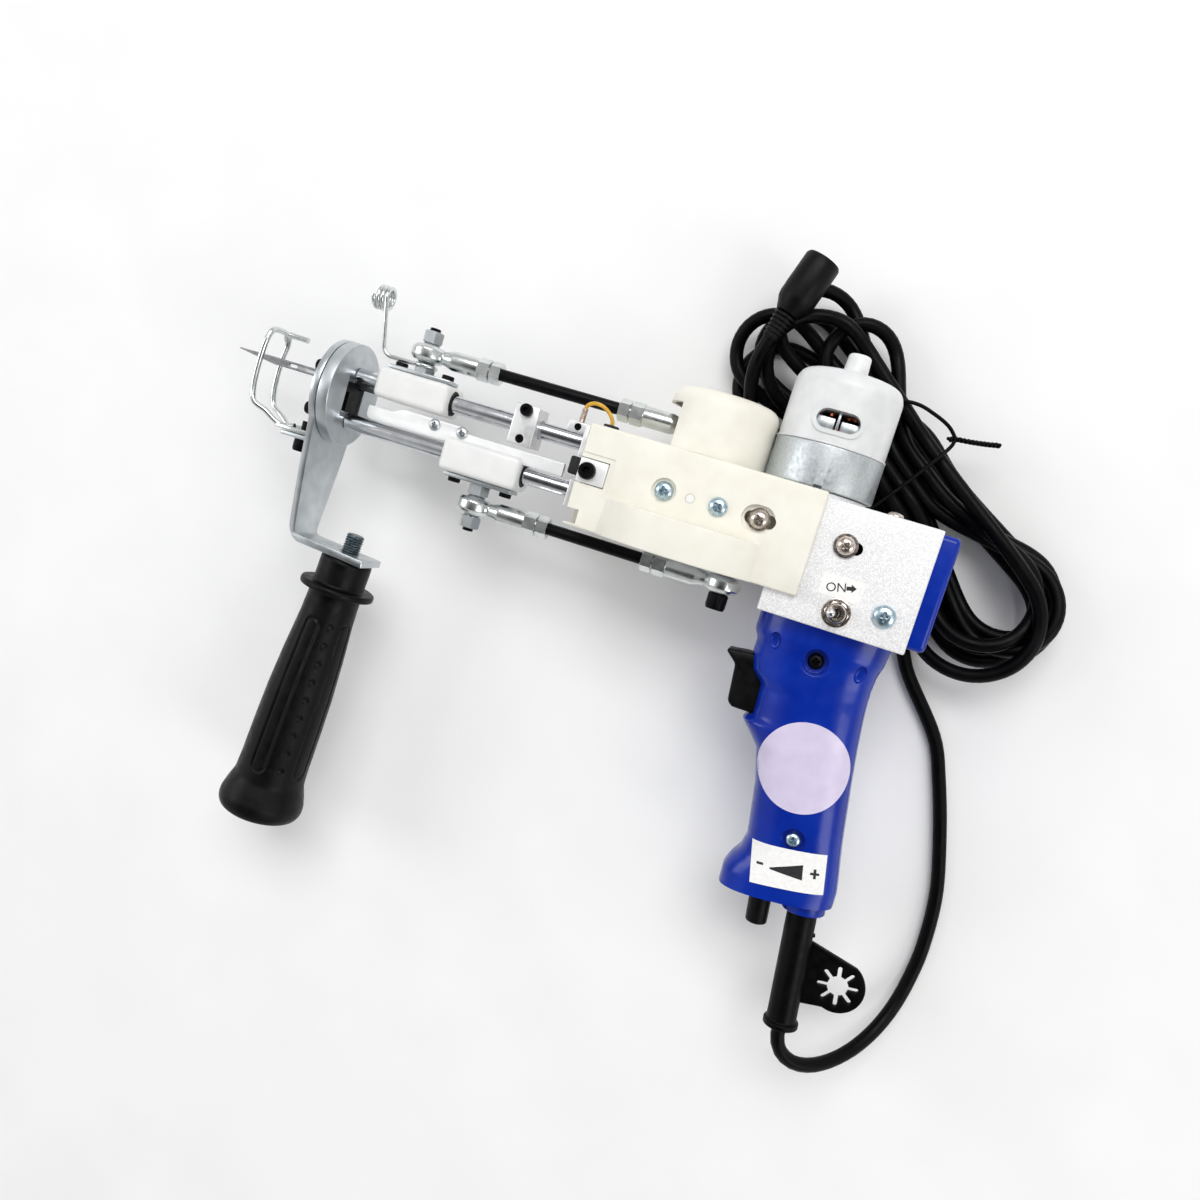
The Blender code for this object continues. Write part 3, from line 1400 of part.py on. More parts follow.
def front_frame():
    plate_back = HOUSING_FRONT - GAP
    plate_front = plate_back - FRONT_PLATE_THICKNESS
    disc_seat = DISC_BACK - DISC_THICKNESS
    for name, y, seat in (
        ("guide_rod_upper", UPPER_GUIDE_Y, UPPER_GUIDE_SEAT),
        ("guide_rod_lower", LOWER_GUIDE_Y, LOWER_GUIDE_SEAT),
    ):
        end = HOUSING_FRONT + seat - GAP
        rod = bar(name, (DISC_BACK + GAP, y, 0), (end, y, 0), GUIDE_RADIUS)
        join(rod, bar("neck", (disc_seat + GAP, y, 0), (DISC_BACK + OVERRUN, y, 0), GUIDE_NECK_RADIUS, SMALL))
        carried(finish(rod, "chrome"))

    front = box(
        "front_plate",
        (plate_front, FRONT_PLATE_BOTTOM, -FRONT_PLATE_HALF_WIDTH),
        (plate_back, FRONT_PLATE_TOP, FRONT_PLATE_HALF_WIDTH),
    )
    cut(
        front,
        *(
            bar("plate_hole", (plate_front - OVERRUN, y, 0), (plate_back + OVERRUN, y, 0), GUIDE_BORE)
            for y in (UPPER_GUIDE_Y, LOWER_GUIDE_Y)
        ),
        box(
            "plate_window",
            (
                plate_front - OVERRUN,
                CLAMP_Y - CLAMP_HEIGHT / 2 - GAP,
                HOUSING_HALF_WIDTH - CLAMP_DEPTH - GAP,
            ),
            (plate_back + OVERRUN, CLAMP_Y + CLAMP_HEIGHT / 2 + GAP, FRONT_PLATE_HALF_WIDTH + OVERRUN),
        ),
    )
    post_x = plate_front - EARTH_BLOCK_LENGTH / 2
    post_z = EARTH_BLOCK_NEAR - EARTH_BLOCK_DEPTH / 2
    block_top = EARTH_BLOCK_BOTTOM + EARTH_BLOCK_HEIGHT
    join(
        front,
        box(
            "earth_block",
            (plate_front - EARTH_BLOCK_LENGTH, EARTH_BLOCK_BOTTOM, EARTH_BLOCK_NEAR - EARTH_BLOCK_DEPTH),
            (plate_front + FRONT_PLATE_THICKNESS / 2, block_top, EARTH_BLOCK_NEAR),
        ),
        bar(
            "earth_post",
            (post_x, block_top - EARTH_POST_RADIUS, post_z),
            (post_x, block_top + EARTH_POST_HEIGHT, post_z),
            EARTH_POST_RADIUS,
            SMALL,
        ),
    )
    carried(finish(front, "aluminium"))
    carried(earth_wire((post_x, block_top + EARTH_POST_HEIGHT, post_z)))

    near = HOUSING_HALF_WIDTH
    clamp = box(
        "rod_clamp_block",
        (HOUSING_FRONT, CLAMP_Y - CLAMP_HEIGHT / 2, near - CLAMP_DEPTH),
        (HOUSING_FRONT + CLAMP_LENGTH, CLAMP_Y + CLAMP_HEIGHT / 2, near - GAP),
    )
    clamp_x = HOUSING_FRONT + CLAMP_SCREW_RADIUS + 2 * GAP
    join(
        clamp,
        bar("clamp_screw", (clamp_x, CLAMP_Y, near - 2 * GAP), (clamp_x, CLAMP_Y, near + CLAMP_SCREW_HEIGHT),
            CLAMP_SCREW_RADIUS, SMALL),
    )
    cut(
        clamp,
        bar("clamp_socket", (clamp_x, CLAMP_Y, near), (clamp_x, CLAMP_Y, near + 2 * CLAMP_SCREW_HEIGHT),
            CLAMP_SOCKET_RADIUS, 6),
    )
    carried(finish(clamp, "steel"))

    pad = box(
        "buffer_pad",
        (plate_front - GAP - BUFFER_LENGTH, MECHANISM_Y - BUFFER_HEIGHT / 2, -BUFFER_HALF_WIDTH),
        (plate_front - GAP, MECHANISM_Y + BUFFER_HEIGHT / 2, BUFFER_HALF_WIDTH),
        GAP,
        1,
    )
    carried(finish(pad, "black_rubber"))
    carried(stop_block(plate_front))


def earth_wire(post_top):
    """The thin wire from the top of the post, over and into the grommet in the housing's top."""
    x, y, z = post_top
    start = y + GAP
    landing = HOUSING_TOP + GROMMET_HEIGHT - GAP
    middle_x = (x + GROMMET_X) / 2
    route = [
        (x, start, z),
        (x + EARTH_WIRE_RISE / 6, start + EARTH_WIRE_RISE / 3, z),
        (middle_x, start + EARTH_WIRE_RISE / 2, z),
        (GROMMET_X - EARTH_WIRE_RISE / 8, (start + landing) / 2 + EARTH_WIRE_RISE / 4, z),
        (GROMMET_X, landing, z),
    ]
    wire = tube("earth_wire", smooth_line(route, 2 * EARTH_WIRE_RADIUS), EARTH_WIRE_RADIUS, 1)
    grommet = turned(
        "grommet",
        (GROMMET_X, HOUSING_TOP, z),
        Y_AXIS,
        [
            (0, GROMMET_HEIGHT),
            (GROMMET_RADIUS, GROMMET_HEIGHT),
            (GROMMET_RADIUS, GAP),
            (GROMMET_RADIUS / 2, GAP),
            (GROMMET_RADIUS / 2, GAP - GROMMET_HEIGHT),
            (0, GAP - GROMMET_HEIGHT),
        ],
        SMALL,
    )
    return finish(join(wire, grommet), "yellow_wire")


def stop_block(plate_front):
    rear = plate_front - STOP_BACK
    front = rear - STOP_LENGTH
    block = box(
        "stop_block",
        (front, UPPER_GUIDE_Y - STOP_BELOW, -STOP_FAR),
        (rear, UPPER_GUIDE_Y + STOP_ABOVE, STOP_NEAR),
    )
    middle = (front + rear) / 2
    screw_y = UPPER_GUIDE_Y + STOP_SCREW_RISE
    join(
        block,
        bar("stop_screw", (middle, screw_y, STOP_NEAR - GAP), (middle, screw_y, STOP_NEAR + STOP_SCREW_HEIGHT),
            STOP_SCREW_RADIUS, SMALL),
    )
    set_y = UPPER_GUIDE_Y - STOP_SET_SCREW_DROP
    cut(
        block,
        bar("stop_bore", (front - OVERRUN, UPPER_GUIDE_Y, 0), (rear + OVERRUN, UPPER_GUIDE_Y, 0), GUIDE_BORE),
        bar("set_screw_hole", (middle, set_y, STOP_NEAR - STOP_SET_SCREW_RADIUS),
            (middle, set_y, STOP_NEAR + OVERRUN), STOP_SET_SCREW_RADIUS, SMALL),
    )
    return finish(block, "aluminium")


def front_window(name, back, front):
    """The cutters for the opening that the needle and the cutter bar run through."""
    low, high = back - OVERRUN, front + OVERRUN
    waist = WINDOW_WAIST_HALF_HEIGHT
    tall = WINDOW_HALF_HEIGHT
    wide = WINDOW_HALF_WIDTH
    narrow = WINDOW_WAIST_HALF_WIDTH
    middle = box(name + "_waist", (low, MECHANISM_Y - waist, -wide), (high, MECHANISM_Y + waist, wide))
    sides = [
        box(name + "_side", (low, MECHANISM_Y - tall, min(a, b)), (high, MECHANISM_Y + tall, max(a, b)))
        for a, b in ((-wide, -narrow), (narrow, wide))
    ]
    return [middle, *sides]


def disc_and_bracket():
    disc_front = DISC_BACK - DISC_THICKNESS
    disc = bar("front_disc", (disc_front, DISC_CENTRE_Y, 0), (DISC_BACK, DISC_CENTRE_Y, 0), DISC_RADIUS, 2 * ROUND)
    cut(
        disc,
        *front_window("disc_window", disc_front, DISC_BACK),
        *(
            bar("neck_hole", (disc_front - OVERRUN, y, 0), (DISC_BACK + OVERRUN, y, 0), GUIDE_NECK_RADIUS + GAP, SMALL)
            for y in (UPPER_GUIDE_Y, LOWER_GUIDE_Y)
        ),
    )
    carried(finish(disc, "zinc"))

    back = disc_front - GAP
    front = back - BRACKET_THICKNESS
    lean = math.tan(HANDLE_LEAN)
    leg_end_x = back + LEG_REACH
    leg_y = TAIL_BEND_Y - BRACKET_THICKNESS
    outer = [
        (back, DISC_CENTRE_Y + DISC_RADIUS),
        (front, DISC_CENTRE_Y + DISC_RADIUS),
        (front, TAIL_BEND_Y + LEG_BEND),
        (front + LEG_BEND / 3, TAIL_BEND_Y),
        (front + LEG_BEND, leg_y),
        (leg_end_x, leg_y - (leg_end_x - front - LEG_BEND) * lean),
        (leg_end_x, leg_y - (leg_end_x - front - LEG_BEND) * lean + BRACKET_THICKNESS),
        (back + LEG_BEND / 2, leg_y + BRACKET_THICKNESS),
        (back, TAIL_BEND_Y + LEG_BEND),
    ]
    bracket = plate("handle_bracket", outer, 2 * DISC_RADIUS + OVERRUN, flat_xy(0))
    tail_bottom = leg_y - LEG_REACH
    waist = (TAIL_TOP_HALF_WIDTH, TAIL_TOP_Y)
    across = arc((0, DISC_CENTRE_Y), DISC_RADIUS, *BRACKET_ARC, FINE) + [
        (-waist[0], waist[1]),
        (-TAIL_BEND_HALF_WIDTH, TAIL_BEND_Y),
        (-TAIL_BEND_HALF_WIDTH, tail_bottom),
        (TAIL_BEND_HALF_WIDTH, tail_bottom),
        (TAIL_BEND_HALF_WIDTH, TAIL_BEND_Y),
        waist,
    ]
    keep_inside(
        bracket, plate("bracket_shape", across, 2 * (LEG_REACH + OVERRUN), flat_zy((front + leg_end_x) / 2))
    )
    tab_top = DISC_CENTRE_Y - DISC_RADIUS - FOOT_TAB_BELOW_DISC + FOOT_TAB_THICKNESS
    tab_low = tab_top - FOOT_TAB_THICKNESS
    join(
        bracket,
        box(
            "foot_tab",
            (front - FOOT_TAB_LENGTH, tab_low, -FOOT_TAB_HALF_WIDTH),
            (front + BRACKET_THICKNESS / 2, tab_top, FOOT_TAB_HALF_WIDTH),
        ),
    )
    for dy in (-DISC_SCREW_SPREAD_Y, DISC_SCREW_SPREAD_Y):
        for dz in (-DISC_SCREW_SPREAD_Z, DISC_SCREW_SPREAD_Z):
            join(
                bracket,
                bar(
                    "disc_screw",
                    (front - DISC_SCREW_HEIGHT, MECHANISM_Y + dy, dz),
                    (front + BRACKET_THICKNESS / 2, MECHANISM_Y + dy, dz),
                    DISC_SCREW_RADIUS,
                    SMALL,
                ),
            )
    screw_x = front - FOOT_TAB_LENGTH * FOOT_SCREW_BACK_SHARE
    stud_x = back + HANDLE_STUD_BACK
    stud_seat = leg_y - (stud_x - front - LEG_BEND) * lean
    handle_down = Vector((-math.sin(HANDLE_LEAN), -math.cos(HANDLE_LEAN), 0))
    stud_point = Vector((stud_x, stud_seat, 0))
    stud_top = stud_point - handle_down * (BRACKET_THICKNESS + STUD_PROUD)
    cut(
        bracket,
        *front_window("bracket_window", front, back),
        bar("foot_screw_hole", (screw_x, tab_low - OVERRUN, 0), (screw_x, tab_top + OVERRUN, 0),
            FOOT_SCREW_RADIUS + GAP, SMALL),
        bar("stud_hole", stud_point + handle_down * OVERRUN, stud_top, STUD_RADIUS + GAP, ROUND),
    )
    carried(finish(bracket, "zinc"))
    presser_foot(front, tab_top, screw_x)

    shank_top = tab_top + GAP + FOOT_SHANK_THICKNESS
    screw = bar(
        "foot_screw", (screw_x, tab_low - GAP, 0), (screw_x, shank_top + FOOT_SCREW_TIP, 0), FOOT_SCREW_RADIUS, SMALL
    )
    join(
        screw,
        bar("foot_screw_head", (screw_x, tab_low - GAP - FOOT_SCREW_HEAD_HEIGHT, 0),
            (screw_x, tab_low - GAP, 0), FOOT_SCREW_HEAD_RADIUS, SMALL),
    )
    carried(finish(screw, "black_oxide"))

    carried(front_handle(stud_point, handle_down))


def presser_foot(bracket_front, tab_top, screw_x):
    """A closed wire loop that stands round the needle, on a flat shank."""
    low = tab_top + GAP
    high = low + FOOT_SHANK_THICKNESS
    shank_back = bracket_front - GAP
    shank_front = shank_back - FOOT_SHANK_LENGTH
    foot = box(
        "presser_foot",
        (shank_front, low, -FOOT_TAB_HALF_WIDTH),
        (shank_back, high, FOOT_TAB_HALF_WIDTH),
    )
    front = bracket_front - FOOT_REACH
    wire_low = (low + high) / 2
    top = wire_low + FOOT_HEIGHT
    width = FOOT_HALF_WIDTH
    reach = shank_front - front
    side = [
        (shank_front + FOOT_SHANK_THICKNESS, wire_low, width / 2),
        (shank_front - reach / 3, wire_low + reach / 6, width * 3 / 4),
        (front + reach / 6, wire_low + reach / 2, width),
        (front, wire_low + FOOT_HEIGHT / 2, width),
        (front + reach / 12, top - width / 2, width),
        (front + reach / 8, top, width * 2 / 3),
    ]
    route = side + [(x, y, -z) for x, y, z in reversed(side)]
    loop = tube("foot_loop", smooth_line(route, 2 * FOOT_WIRE_RADIUS), FOOT_WIRE_RADIUS, 1)
    hook_z = -width * 2 / 3
    hook = bar("foot_hook", (front + reach / 8, top, hook_z), (front + FOOT_HOOK_LENGTH, top, hook_z),
               FOOT_WIRE_RADIUS, SMALL)
    join(foot, loop, hook)
    cut(
        foot,
        bar("shank_hole", (screw_x, low - OVERRUN, 0), (screw_x, high + OVERRUN, 0), FOOT_SCREW_RADIUS + GAP, SMALL),
    )
    return carried(finish(foot, "chrome"))


def front_handle(top, down):
    """The handle moulded round its stud: stud, collar, flange, swelling body and flared end."""
    grip_start = COLLAR_LENGTH + FLANGE_THICKNESS
    body_length = HANDLE_LENGTH - grip_start
    swell = HANDLE_BODY_RADIUS - HANDLE_NECK_RADIUS
    stud_top = BRACKET_THICKNESS + STUD_PROUD
    profile = [
        (0, stud_top),
        (STUD_RADIUS, stud_top),
        (STUD_RADIUS, -GAP),
        (COLLAR_RADIUS, -GAP),
        (COLLAR_RADIUS, -COLLAR_LENGTH),
        (FLANGE_RADIUS, -COLLAR_LENGTH),
        (FLANGE_RADIUS, -grip_start),
    ]
    for along, share in HANDLE_PROFILE_SHARES:
        profile.append((HANDLE_NECK_RADIUS + swell * share, -grip_start - body_length * along))
    for along, share in HANDLE_END_SHARES:
        profile.append((HANDLE_END_RADIUS * share, -grip_start - body_length * along))
    profile.append((0, -HANDLE_LENGTH))
    return finish(turned("front_handle", top, -down, profile, FINE), "black_plastic")


# Screws

def pan_screw(name, x, y, surface, length, head_radius, kind, washer=0.0):
    """A pan-head screw with a cross recess, and a washer under its head where a radius is given."""
    washer_height = SLOT_WASHER_THICKNESS if washer > 0 else 0
    seat = surface + GAP
    head_low = seat + washer_height
    top = head_low + PAN_HEAD_HEIGHT
    profile = [
        (0, top),
        (head_radius / 2, top),
        (head_radius * 3 / 4, top - PAN_HEAD_HEIGHT / 6),
        (head_radius, head_low + PAN_HEAD_HEIGHT / 3),
        (head_radius, head_low),
    ]
    if washer > 0:
        profile += [(washer, head_low), (washer, seat)]
    profile += [(SCREW_SHANK_RADIUS, seat), (SCREW_SHANK_RADIUS, surface - length), (0, surface - length)]
    screw = turned(name, (x, y, 0), Z_AXIS, profile, SMALL)
    reach = head_radius * SCREW_CROSS_REACH_SHARE
    width = head_radius * SCREW_CROSS_WIDTH_SHARE
    for dx, dy in ((reach, width), (width, reach)):
        cut(
            screw,
            box("cross_slot", (x - dx, y - dy, top - SCREW_DRIVE_DEPTH), (x + dx, y + dy, top + OVERRUN)),
        )
    return carried(finish(screw, kind))


def housing_screws():
    pan_screw(
        "housing_screw_front", FRONT_SCREW_X, SCREW_LINE_Y, HOUSING_HALF_WIDTH - SCREW_POCKET_DEPTH,
        HOUSING_SCREW_LENGTH - SCREW_POCKET_DEPTH - GAP, PAN_HEAD_RADIUS, "steel",
    )
    pan_screw(
        "housing_screw_middle", MIDDLE_SCREW_X, SCREW_LINE_Y, HOUSING_HALF_WIDTH, HOUSING_SCREW_LENGTH - GAP,
        PAN_HEAD_RADIUS, "steel",
    )
    pan_screw(
        "housing_screw_slot", SLOT_SCREW_X, SCREW_LINE_Y, HOUSING_HALF_WIDTH - SLOT_DEPTH,
        HOUSING_SCREW_LENGTH - SLOT_DEPTH - GAP, PAN_HEAD_RADIUS, "steel", SLOT_WASHER_RADIUS - 2 * GAP,
    )
    pan_screw(
        "box_screw_slot", BOX_SCREW_X, BOX_SCREW_Y, BOX_HALF_WIDTH, BOX_SCREW_LENGTH, PAN_HEAD_RADIUS, "steel",
        SLOT_WASHER_RADIUS,
    )
    pan_screw(
        "box_screw_rear", COVER_SCREW_X, COVER_SCREW_Y, BOX_HALF_WIDTH, BOX_SCREW_LENGTH, COVER_SCREW_HEAD_RADIUS,
        "steel",
    )


# Aluminium box, rear cover and toggle switch

def gearbox_frame():
    body = box(
        "gearbox_frame",
        (BOX_FRONT, BOX_BOTTOM, -BOX_HALF_WIDTH),
        (BOX_REAR, BOX_TOP, BOX_HALF_WIDTH),
        BOX_EDGE,
        1,
    )
    seat = bar("motor_seat", (MOTOR_X, BOX_TOP - BOX_WALL / 2, 0), (MOTOR_X, HOUSING_TOP, 0), MOTOR_SEAT_RADIUS)
    cut(
        seat,
        box(
            "seat_front",
            (MOTOR_X - MOTOR_RADIUS, BOX_TOP - BOX_WALL, -MOTOR_RADIUS),
            (BOX_FRONT, HOUSING_TOP + OVERRUN, MOTOR_RADIUS),
        ),
    )
    join(body, seat)
    inner = BOX_HALF_WIDTH - BOX_WALL
    cut(
        body,
        box(
            "box_inside",
            (BOX_FRONT + BOX_WALL, BOX_BOTTOM + BOX_WALL, -inner),
            (BOX_REAR + OVERRUN, BOX_TOP - BOX_WALL, inner),
        ),
        box(
            "gear_window",
            (BOX_FRONT - OVERRUN, CHAMBER_BOTTOM - GAP, -inner + BOX_WALL),
            (BOX_FRONT + BOX_WALL + OVERRUN, CHAMBER_TOP + GAP, inner - BOX_WALL),
        ),
        bar("nose_hole", (MOTOR_X, BOX_TOP - 2 * BOX_WALL, 0), (MOTOR_X, HOUSING_TOP + OVERRUN, 0), MOTOR_NOSE_HOLE),
        bar("toggle_hole", (TOGGLE_X, TOGGLE_Y, inner - OVERRUN), (TOGGLE_X, TOGGLE_Y, BOX_HALF_WIDTH + OVERRUN),
            TOGGLE_BUSH_RADIUS + GAP, SMALL),
        screw_hole("box_slot_screw_hole", BOX_SCREW_X, BOX_SCREW_Y, BOX_HALF_WIDTH, BOX_SCREW_LENGTH),
        screw_hole("box_rear_screw_hole", COVER_SCREW_X, COVER_SCREW_Y, BOX_HALF_WIDTH, BOX_SCREW_LENGTH),
    )
    carried(finish(body, "aluminium"))

    front = BOX_REAR + GAP
    cover = box(
        "rear_cover",
        (front, REAR_COVER_BOTTOM, -REAR_COVER_HALF_WIDTH),
        (front + REAR_COVER_LENGTH, REAR_COVER_TOP, REAR_COVER_HALF_WIDTH),
        REAR_COVER_EDGE,
        3,
    )
    cut(
        cover,
        box(
            "cover_inside",
            (front - OVERRUN, REAR_COVER_BOTTOM + 2 * REAR_COVER_WALL, 2 * REAR_COVER_WALL - REAR_COVER_HALF_WIDTH),
            (
                front + REAR_COVER_LENGTH - REAR_COVER_WALL,
                REAR_COVER_TOP - 2 * REAR_COVER_WALL,
                REAR_COVER_HALF_WIDTH - 2 * REAR_COVER_WALL,
            ),
        ),
    )
    carried(finish(cover, "blue_plastic"))


def toggle_switch(lever_axis):
    """Body inside the box, threaded bushing through its wall, nut outside, and the lever in the bushing."""
    inner = BOX_HALF_WIDTH - BOX_WALL
    top = BOX_HALF_WIDTH + TOGGLE_BUSH_HEIGHT
    body_top = inner - GAP
    body = box(
        "toggle_switch",
        (TOGGLE_X - TOGGLE_BODY_LENGTH / 2, TOGGLE_Y - TOGGLE_BODY_WIDTH / 2, body_top - TOGGLE_BODY_DEPTH),
        (TOGGLE_X + TOGGLE_BODY_LENGTH / 2, TOGGLE_Y + TOGGLE_BODY_WIDTH / 2, body_top),
    )
    join(
        body,
        bar("toggle_bush", (TOGGLE_X, TOGGLE_Y, body_top - GAP), (TOGGLE_X, TOGGLE_Y, top), TOGGLE_BUSH_RADIUS),
        bar("toggle_nut", (TOGGLE_X, TOGGLE_Y, BOX_HALF_WIDTH + GAP),
            (TOGGLE_X, TOGGLE_Y, BOX_HALF_WIDTH + GAP + TOGGLE_NUT_HEIGHT), TOGGLE_NUT_RADIUS, 6),
    )
    pivot_z = top - TOGGLE_BALL_RADIUS - 2 * GAP
    cut(
        body,
        bar("toggle_bore", (TOGGLE_X, TOGGLE_Y, pivot_z - TOGGLE_BALL_RADIUS - GAP),
            (TOGGLE_X, TOGGLE_Y, top + OVERRUN), TOGGLE_BORE),
    )
    carried(finish(body, "steel"))

    lean = Vector((-math.sin(TOGGLE_TILT), 0, math.cos(TOGGLE_TILT)))
    pivot = Vector((TOGGLE_X, TOGGLE_Y, pivot_z))
    lever = bar("toggle_lever", pivot, pivot + lean * TOGGLE_LEVER_LENGTH, TOGGLE_LEVER_RADIUS, SMALL,
                TOGGLE_LEVER_TIP_RADIUS)
    ball = turned(
        "toggle_ball",
        pivot,
        Z_AXIS,
        [(TOGGLE_BALL_RADIUS * math.sin(a), TOGGLE_BALL_RADIUS * math.cos(a)) for a in np.linspace(0, math.pi, 7)],
        SMALL,
    )
    join(lever, ball)
    carried(finish(lever, "chrome"), lever_axis)


def toggle_pivot():
    return (TOGGLE_X, TOGGLE_Y, BOX_HALF_WIDTH + TOGGLE_BUSH_HEIGHT - TOGGLE_BALL_RADIUS - 2 * GAP)


# Grip

def grip_loft(name, wall):
    """The grip's solid, or with a wall thickness the hollow inside it, as a skin over rounded cross-sections."""
    width = GRIP_REAR_X - GRIP_FRONT_X
    bm = bmesh.new()
    rings = []
    for down, front, rear, half in GRIP_STATION_SHARES:
        y = GRIP_TOP - GRIP_LENGTH * down
        if wall > 0 and down == 0:
            y = GRIP_TOP + OVERRUN
        front_x = GRIP_FRONT_X + width * front + wall
        rear_x = GRIP_FRONT_X + width * rear - wall
        depth = GRIP_HALF_THICKNESS * half - wall
        centre, reach = (front_x + rear_x) / 2, (rear_x - front_x) / 2
        ring = []
        for k in range(GRIP_SECTION_POINTS):
            turn = 2 * math.pi * k / GRIP_SECTION_POINTS
            across = math.copysign(abs(math.cos(turn)) ** (2 / GRIP_ROUNDNESS), math.cos(turn))
            up = math.copysign(abs(math.sin(turn)) ** (2 / GRIP_ROUNDNESS), math.sin(turn))
            ring.append(bm.verts.new((centre + reach * across, y, depth * up)))
        rings.append(ring)
    for upper, lower in zip(rings, rings[1:]):
        for k in range(GRIP_SECTION_POINTS):
            after = (k + 1) % GRIP_SECTION_POINTS
            bm.faces.new((upper[k], upper[after], lower[after], lower[k]))
    bm.faces.new(rings[0])
    bm.faces.new(rings[-1])
    obj = add_object(name, mesh_from(name, bm))
    smooth(obj)
    # The foot is cut square to the rake of the knob and the strain relief.
    foot = foot_point(GRIP_FOOT_X)
    down = foot_direction()
    depth = GRIP_LENGTH / 2
    reach = GRIP_LENGTH
    slab = box("foot_cut", (-reach, -depth, -reach), (reach, 0, reach))
    slab.location = foot - down * wall + down * depth / 2
    slab.rotation_mode = "XYZ"
    slab.rotation_euler = (0, 0, GRIP_RAKE)
    return cut(obj, slab)


def foot_direction():
    return Vector((math.sin(GRIP_RAKE), -math.cos(GRIP_RAKE), 0))


def foot_point(x):
    """The point of the grip's slanting foot at a given x."""
    return Vector((x, GRIP_FOOT_Y + (x - GRIP_FOOT_X) * math.tan(GRIP_RAKE), 0))


def grip_body():
    down = foot_direction()
    body = grip_loft("grip", 0)
    collar_top = foot_point(GRIP_COLLAR_X)
    join(body, bar("grip_collar", collar_top - down * GRIP_WALL, collar_top + down * GRIP_COLLAR_HEIGHT,
                   GRIP_COLLAR_RADIUS))
    cut(
        body,
        grip_loft("grip_inside", GRIP_WALL),
        bar("relief_hole", collar_top - down * (GRIP_WALL + OVERRUN), collar_top + down * (GRIP_COLLAR_HEIGHT + OVERRUN),
            RELIEF_RADIUS + GAP),
        box(
            "trigger_opening",
            (GRIP_FRONT_X - OVERRUN, TRIGGER_BOTTOM - TRIGGER_CLEARANCE, -TRIGGER_HALF_WIDTH - TRIGGER_CLEARANCE),
            (TRIGGER_BACK_X + GRIP_WALL, TRIGGER_TOP + TRIGGER_CLEARANCE, TRIGGER_HALF_WIDTH + TRIGGER_CLEARANCE),
        ),
        bar("pot_shaft_hole", foot_point(KNOB_X) - down * (GRIP_WALL + OVERRUN), foot_point(KNOB_X) + down * OVERRUN,
            POT_SHAFT_RADIUS + GAP, SMALL),
    )
    for x, y in ((GRIP_SCREW_UPPER_X, GRIP_SCREW_UPPER_Y), (GRIP_SCREW_LOWER_X, GRIP_SCREW_LOWER_Y)):
        surface = GRIP_HALF_THICKNESS
        join(body, bar("screw_boss", (x, y, GRIP_WALL - surface), (x, y, surface - GRIP_WALL), GRIP_BOSS_RADIUS))
        cut(
            body,
            bar("grip_screw_pocket", (x, y, surface - GRIP_SCREW_POCKET_DEPTH), (x, y, surface + 2 * OVERRUN),
                GRIP_SCREW_POCKET_RADIUS),
            bar("grip_screw_hole", (x, y, surface - GRIP_SCREW_POCKET_DEPTH - GRIP_SCREW_LENGTH - GAP),
                (x, y, surface), SCREW_SHANK_RADIUS + GAP, SMALL),
        )
    for x, y in GRIP_DENTS:
        cut(
            body,
            bar("grip_dent", (x, y, GRIP_HALF_THICKNESS - GRIP_DENT_DEPTH), (x, y, GRIP_HALF_THICKNESS + 2 * OVERRUN),
                GRIP_DENT_RADIUS / 2, SMALL, GRIP_DENT_RADIUS),
        )
    return body


def grip_shell(name, side):
    body = grip_body()
    body.name = name
    far = 2 * GRIP_HALF_THICKNESS
    low, high = sorted((-side * far, side * GAP / 2))
    cut(
        body,
        box(
            "other_shell",
            (0, -2 * GRIP_LENGTH, low),
            (2 * GRIP_REAR_X, 0, high),
        ),
    )
    return carried(finish(body, "blue_plastic"))


def grip_screws():
    for name, x, y in (
        ("grip_screw_upper", GRIP_SCREW_UPPER_X, GRIP_SCREW_UPPER_Y),
        ("grip_screw_lower", GRIP_SCREW_LOWER_X, GRIP_SCREW_LOWER_Y),
    ):
        surface = GRIP_HALF_THICKNESS - GRIP_SCREW_POCKET_DEPTH
        pan_screw(name, x, y, surface, GRIP_SCREW_LENGTH, GRIP_SCREW_HEAD_RADIUS, "black_oxide")


def trigger_and_switch(slide):
    top, bottom = TRIGGER_TOP, TRIGGER_BOTTOM
    outline = [
        (TRIGGER_BACK_X, bottom),
        (TRIGGER_BACK_X, top),
        (TRIGGER_FACE_X + TRIGGER_CHAMFER, top),
        (TRIGGER_FACE_X - TRIGGER_HORN, top - TRIGGER_HORN_DROP / 2),
        (TRIGGER_FACE_X - TRIGGER_HORN, top - TRIGGER_HORN_DROP),
        (TRIGGER_FACE_X - TRIGGER_HORN / 4, top - TRIGGER_HORN),
        (TRIGGER_FACE_X, bottom + TRIGGER_CHAMFER),
        (TRIGGER_FACE_X + TRIGGER_CHAMFER, bottom),
    ]
    trigger = plate("trigger", outline, 2 * TRIGGER_HALF_WIDTH, flat_xy(0))
    carried(finish(trigger, "black_plastic"), slide)

    front = TRIGGER_BACK_X + TRIGGER_TRAVEL + GAP
    half = GRIP_HALF_THICKNESS * SWITCH_GRIP_SHARE - GRIP_WALL - SWITCH_MARGIN
    switch = box(
        "trigger_switch",
        (front, bottom, -half),
        (front + SWITCH_LENGTH, top, half),
    )
    carried(finish(switch, "black_plastic"))


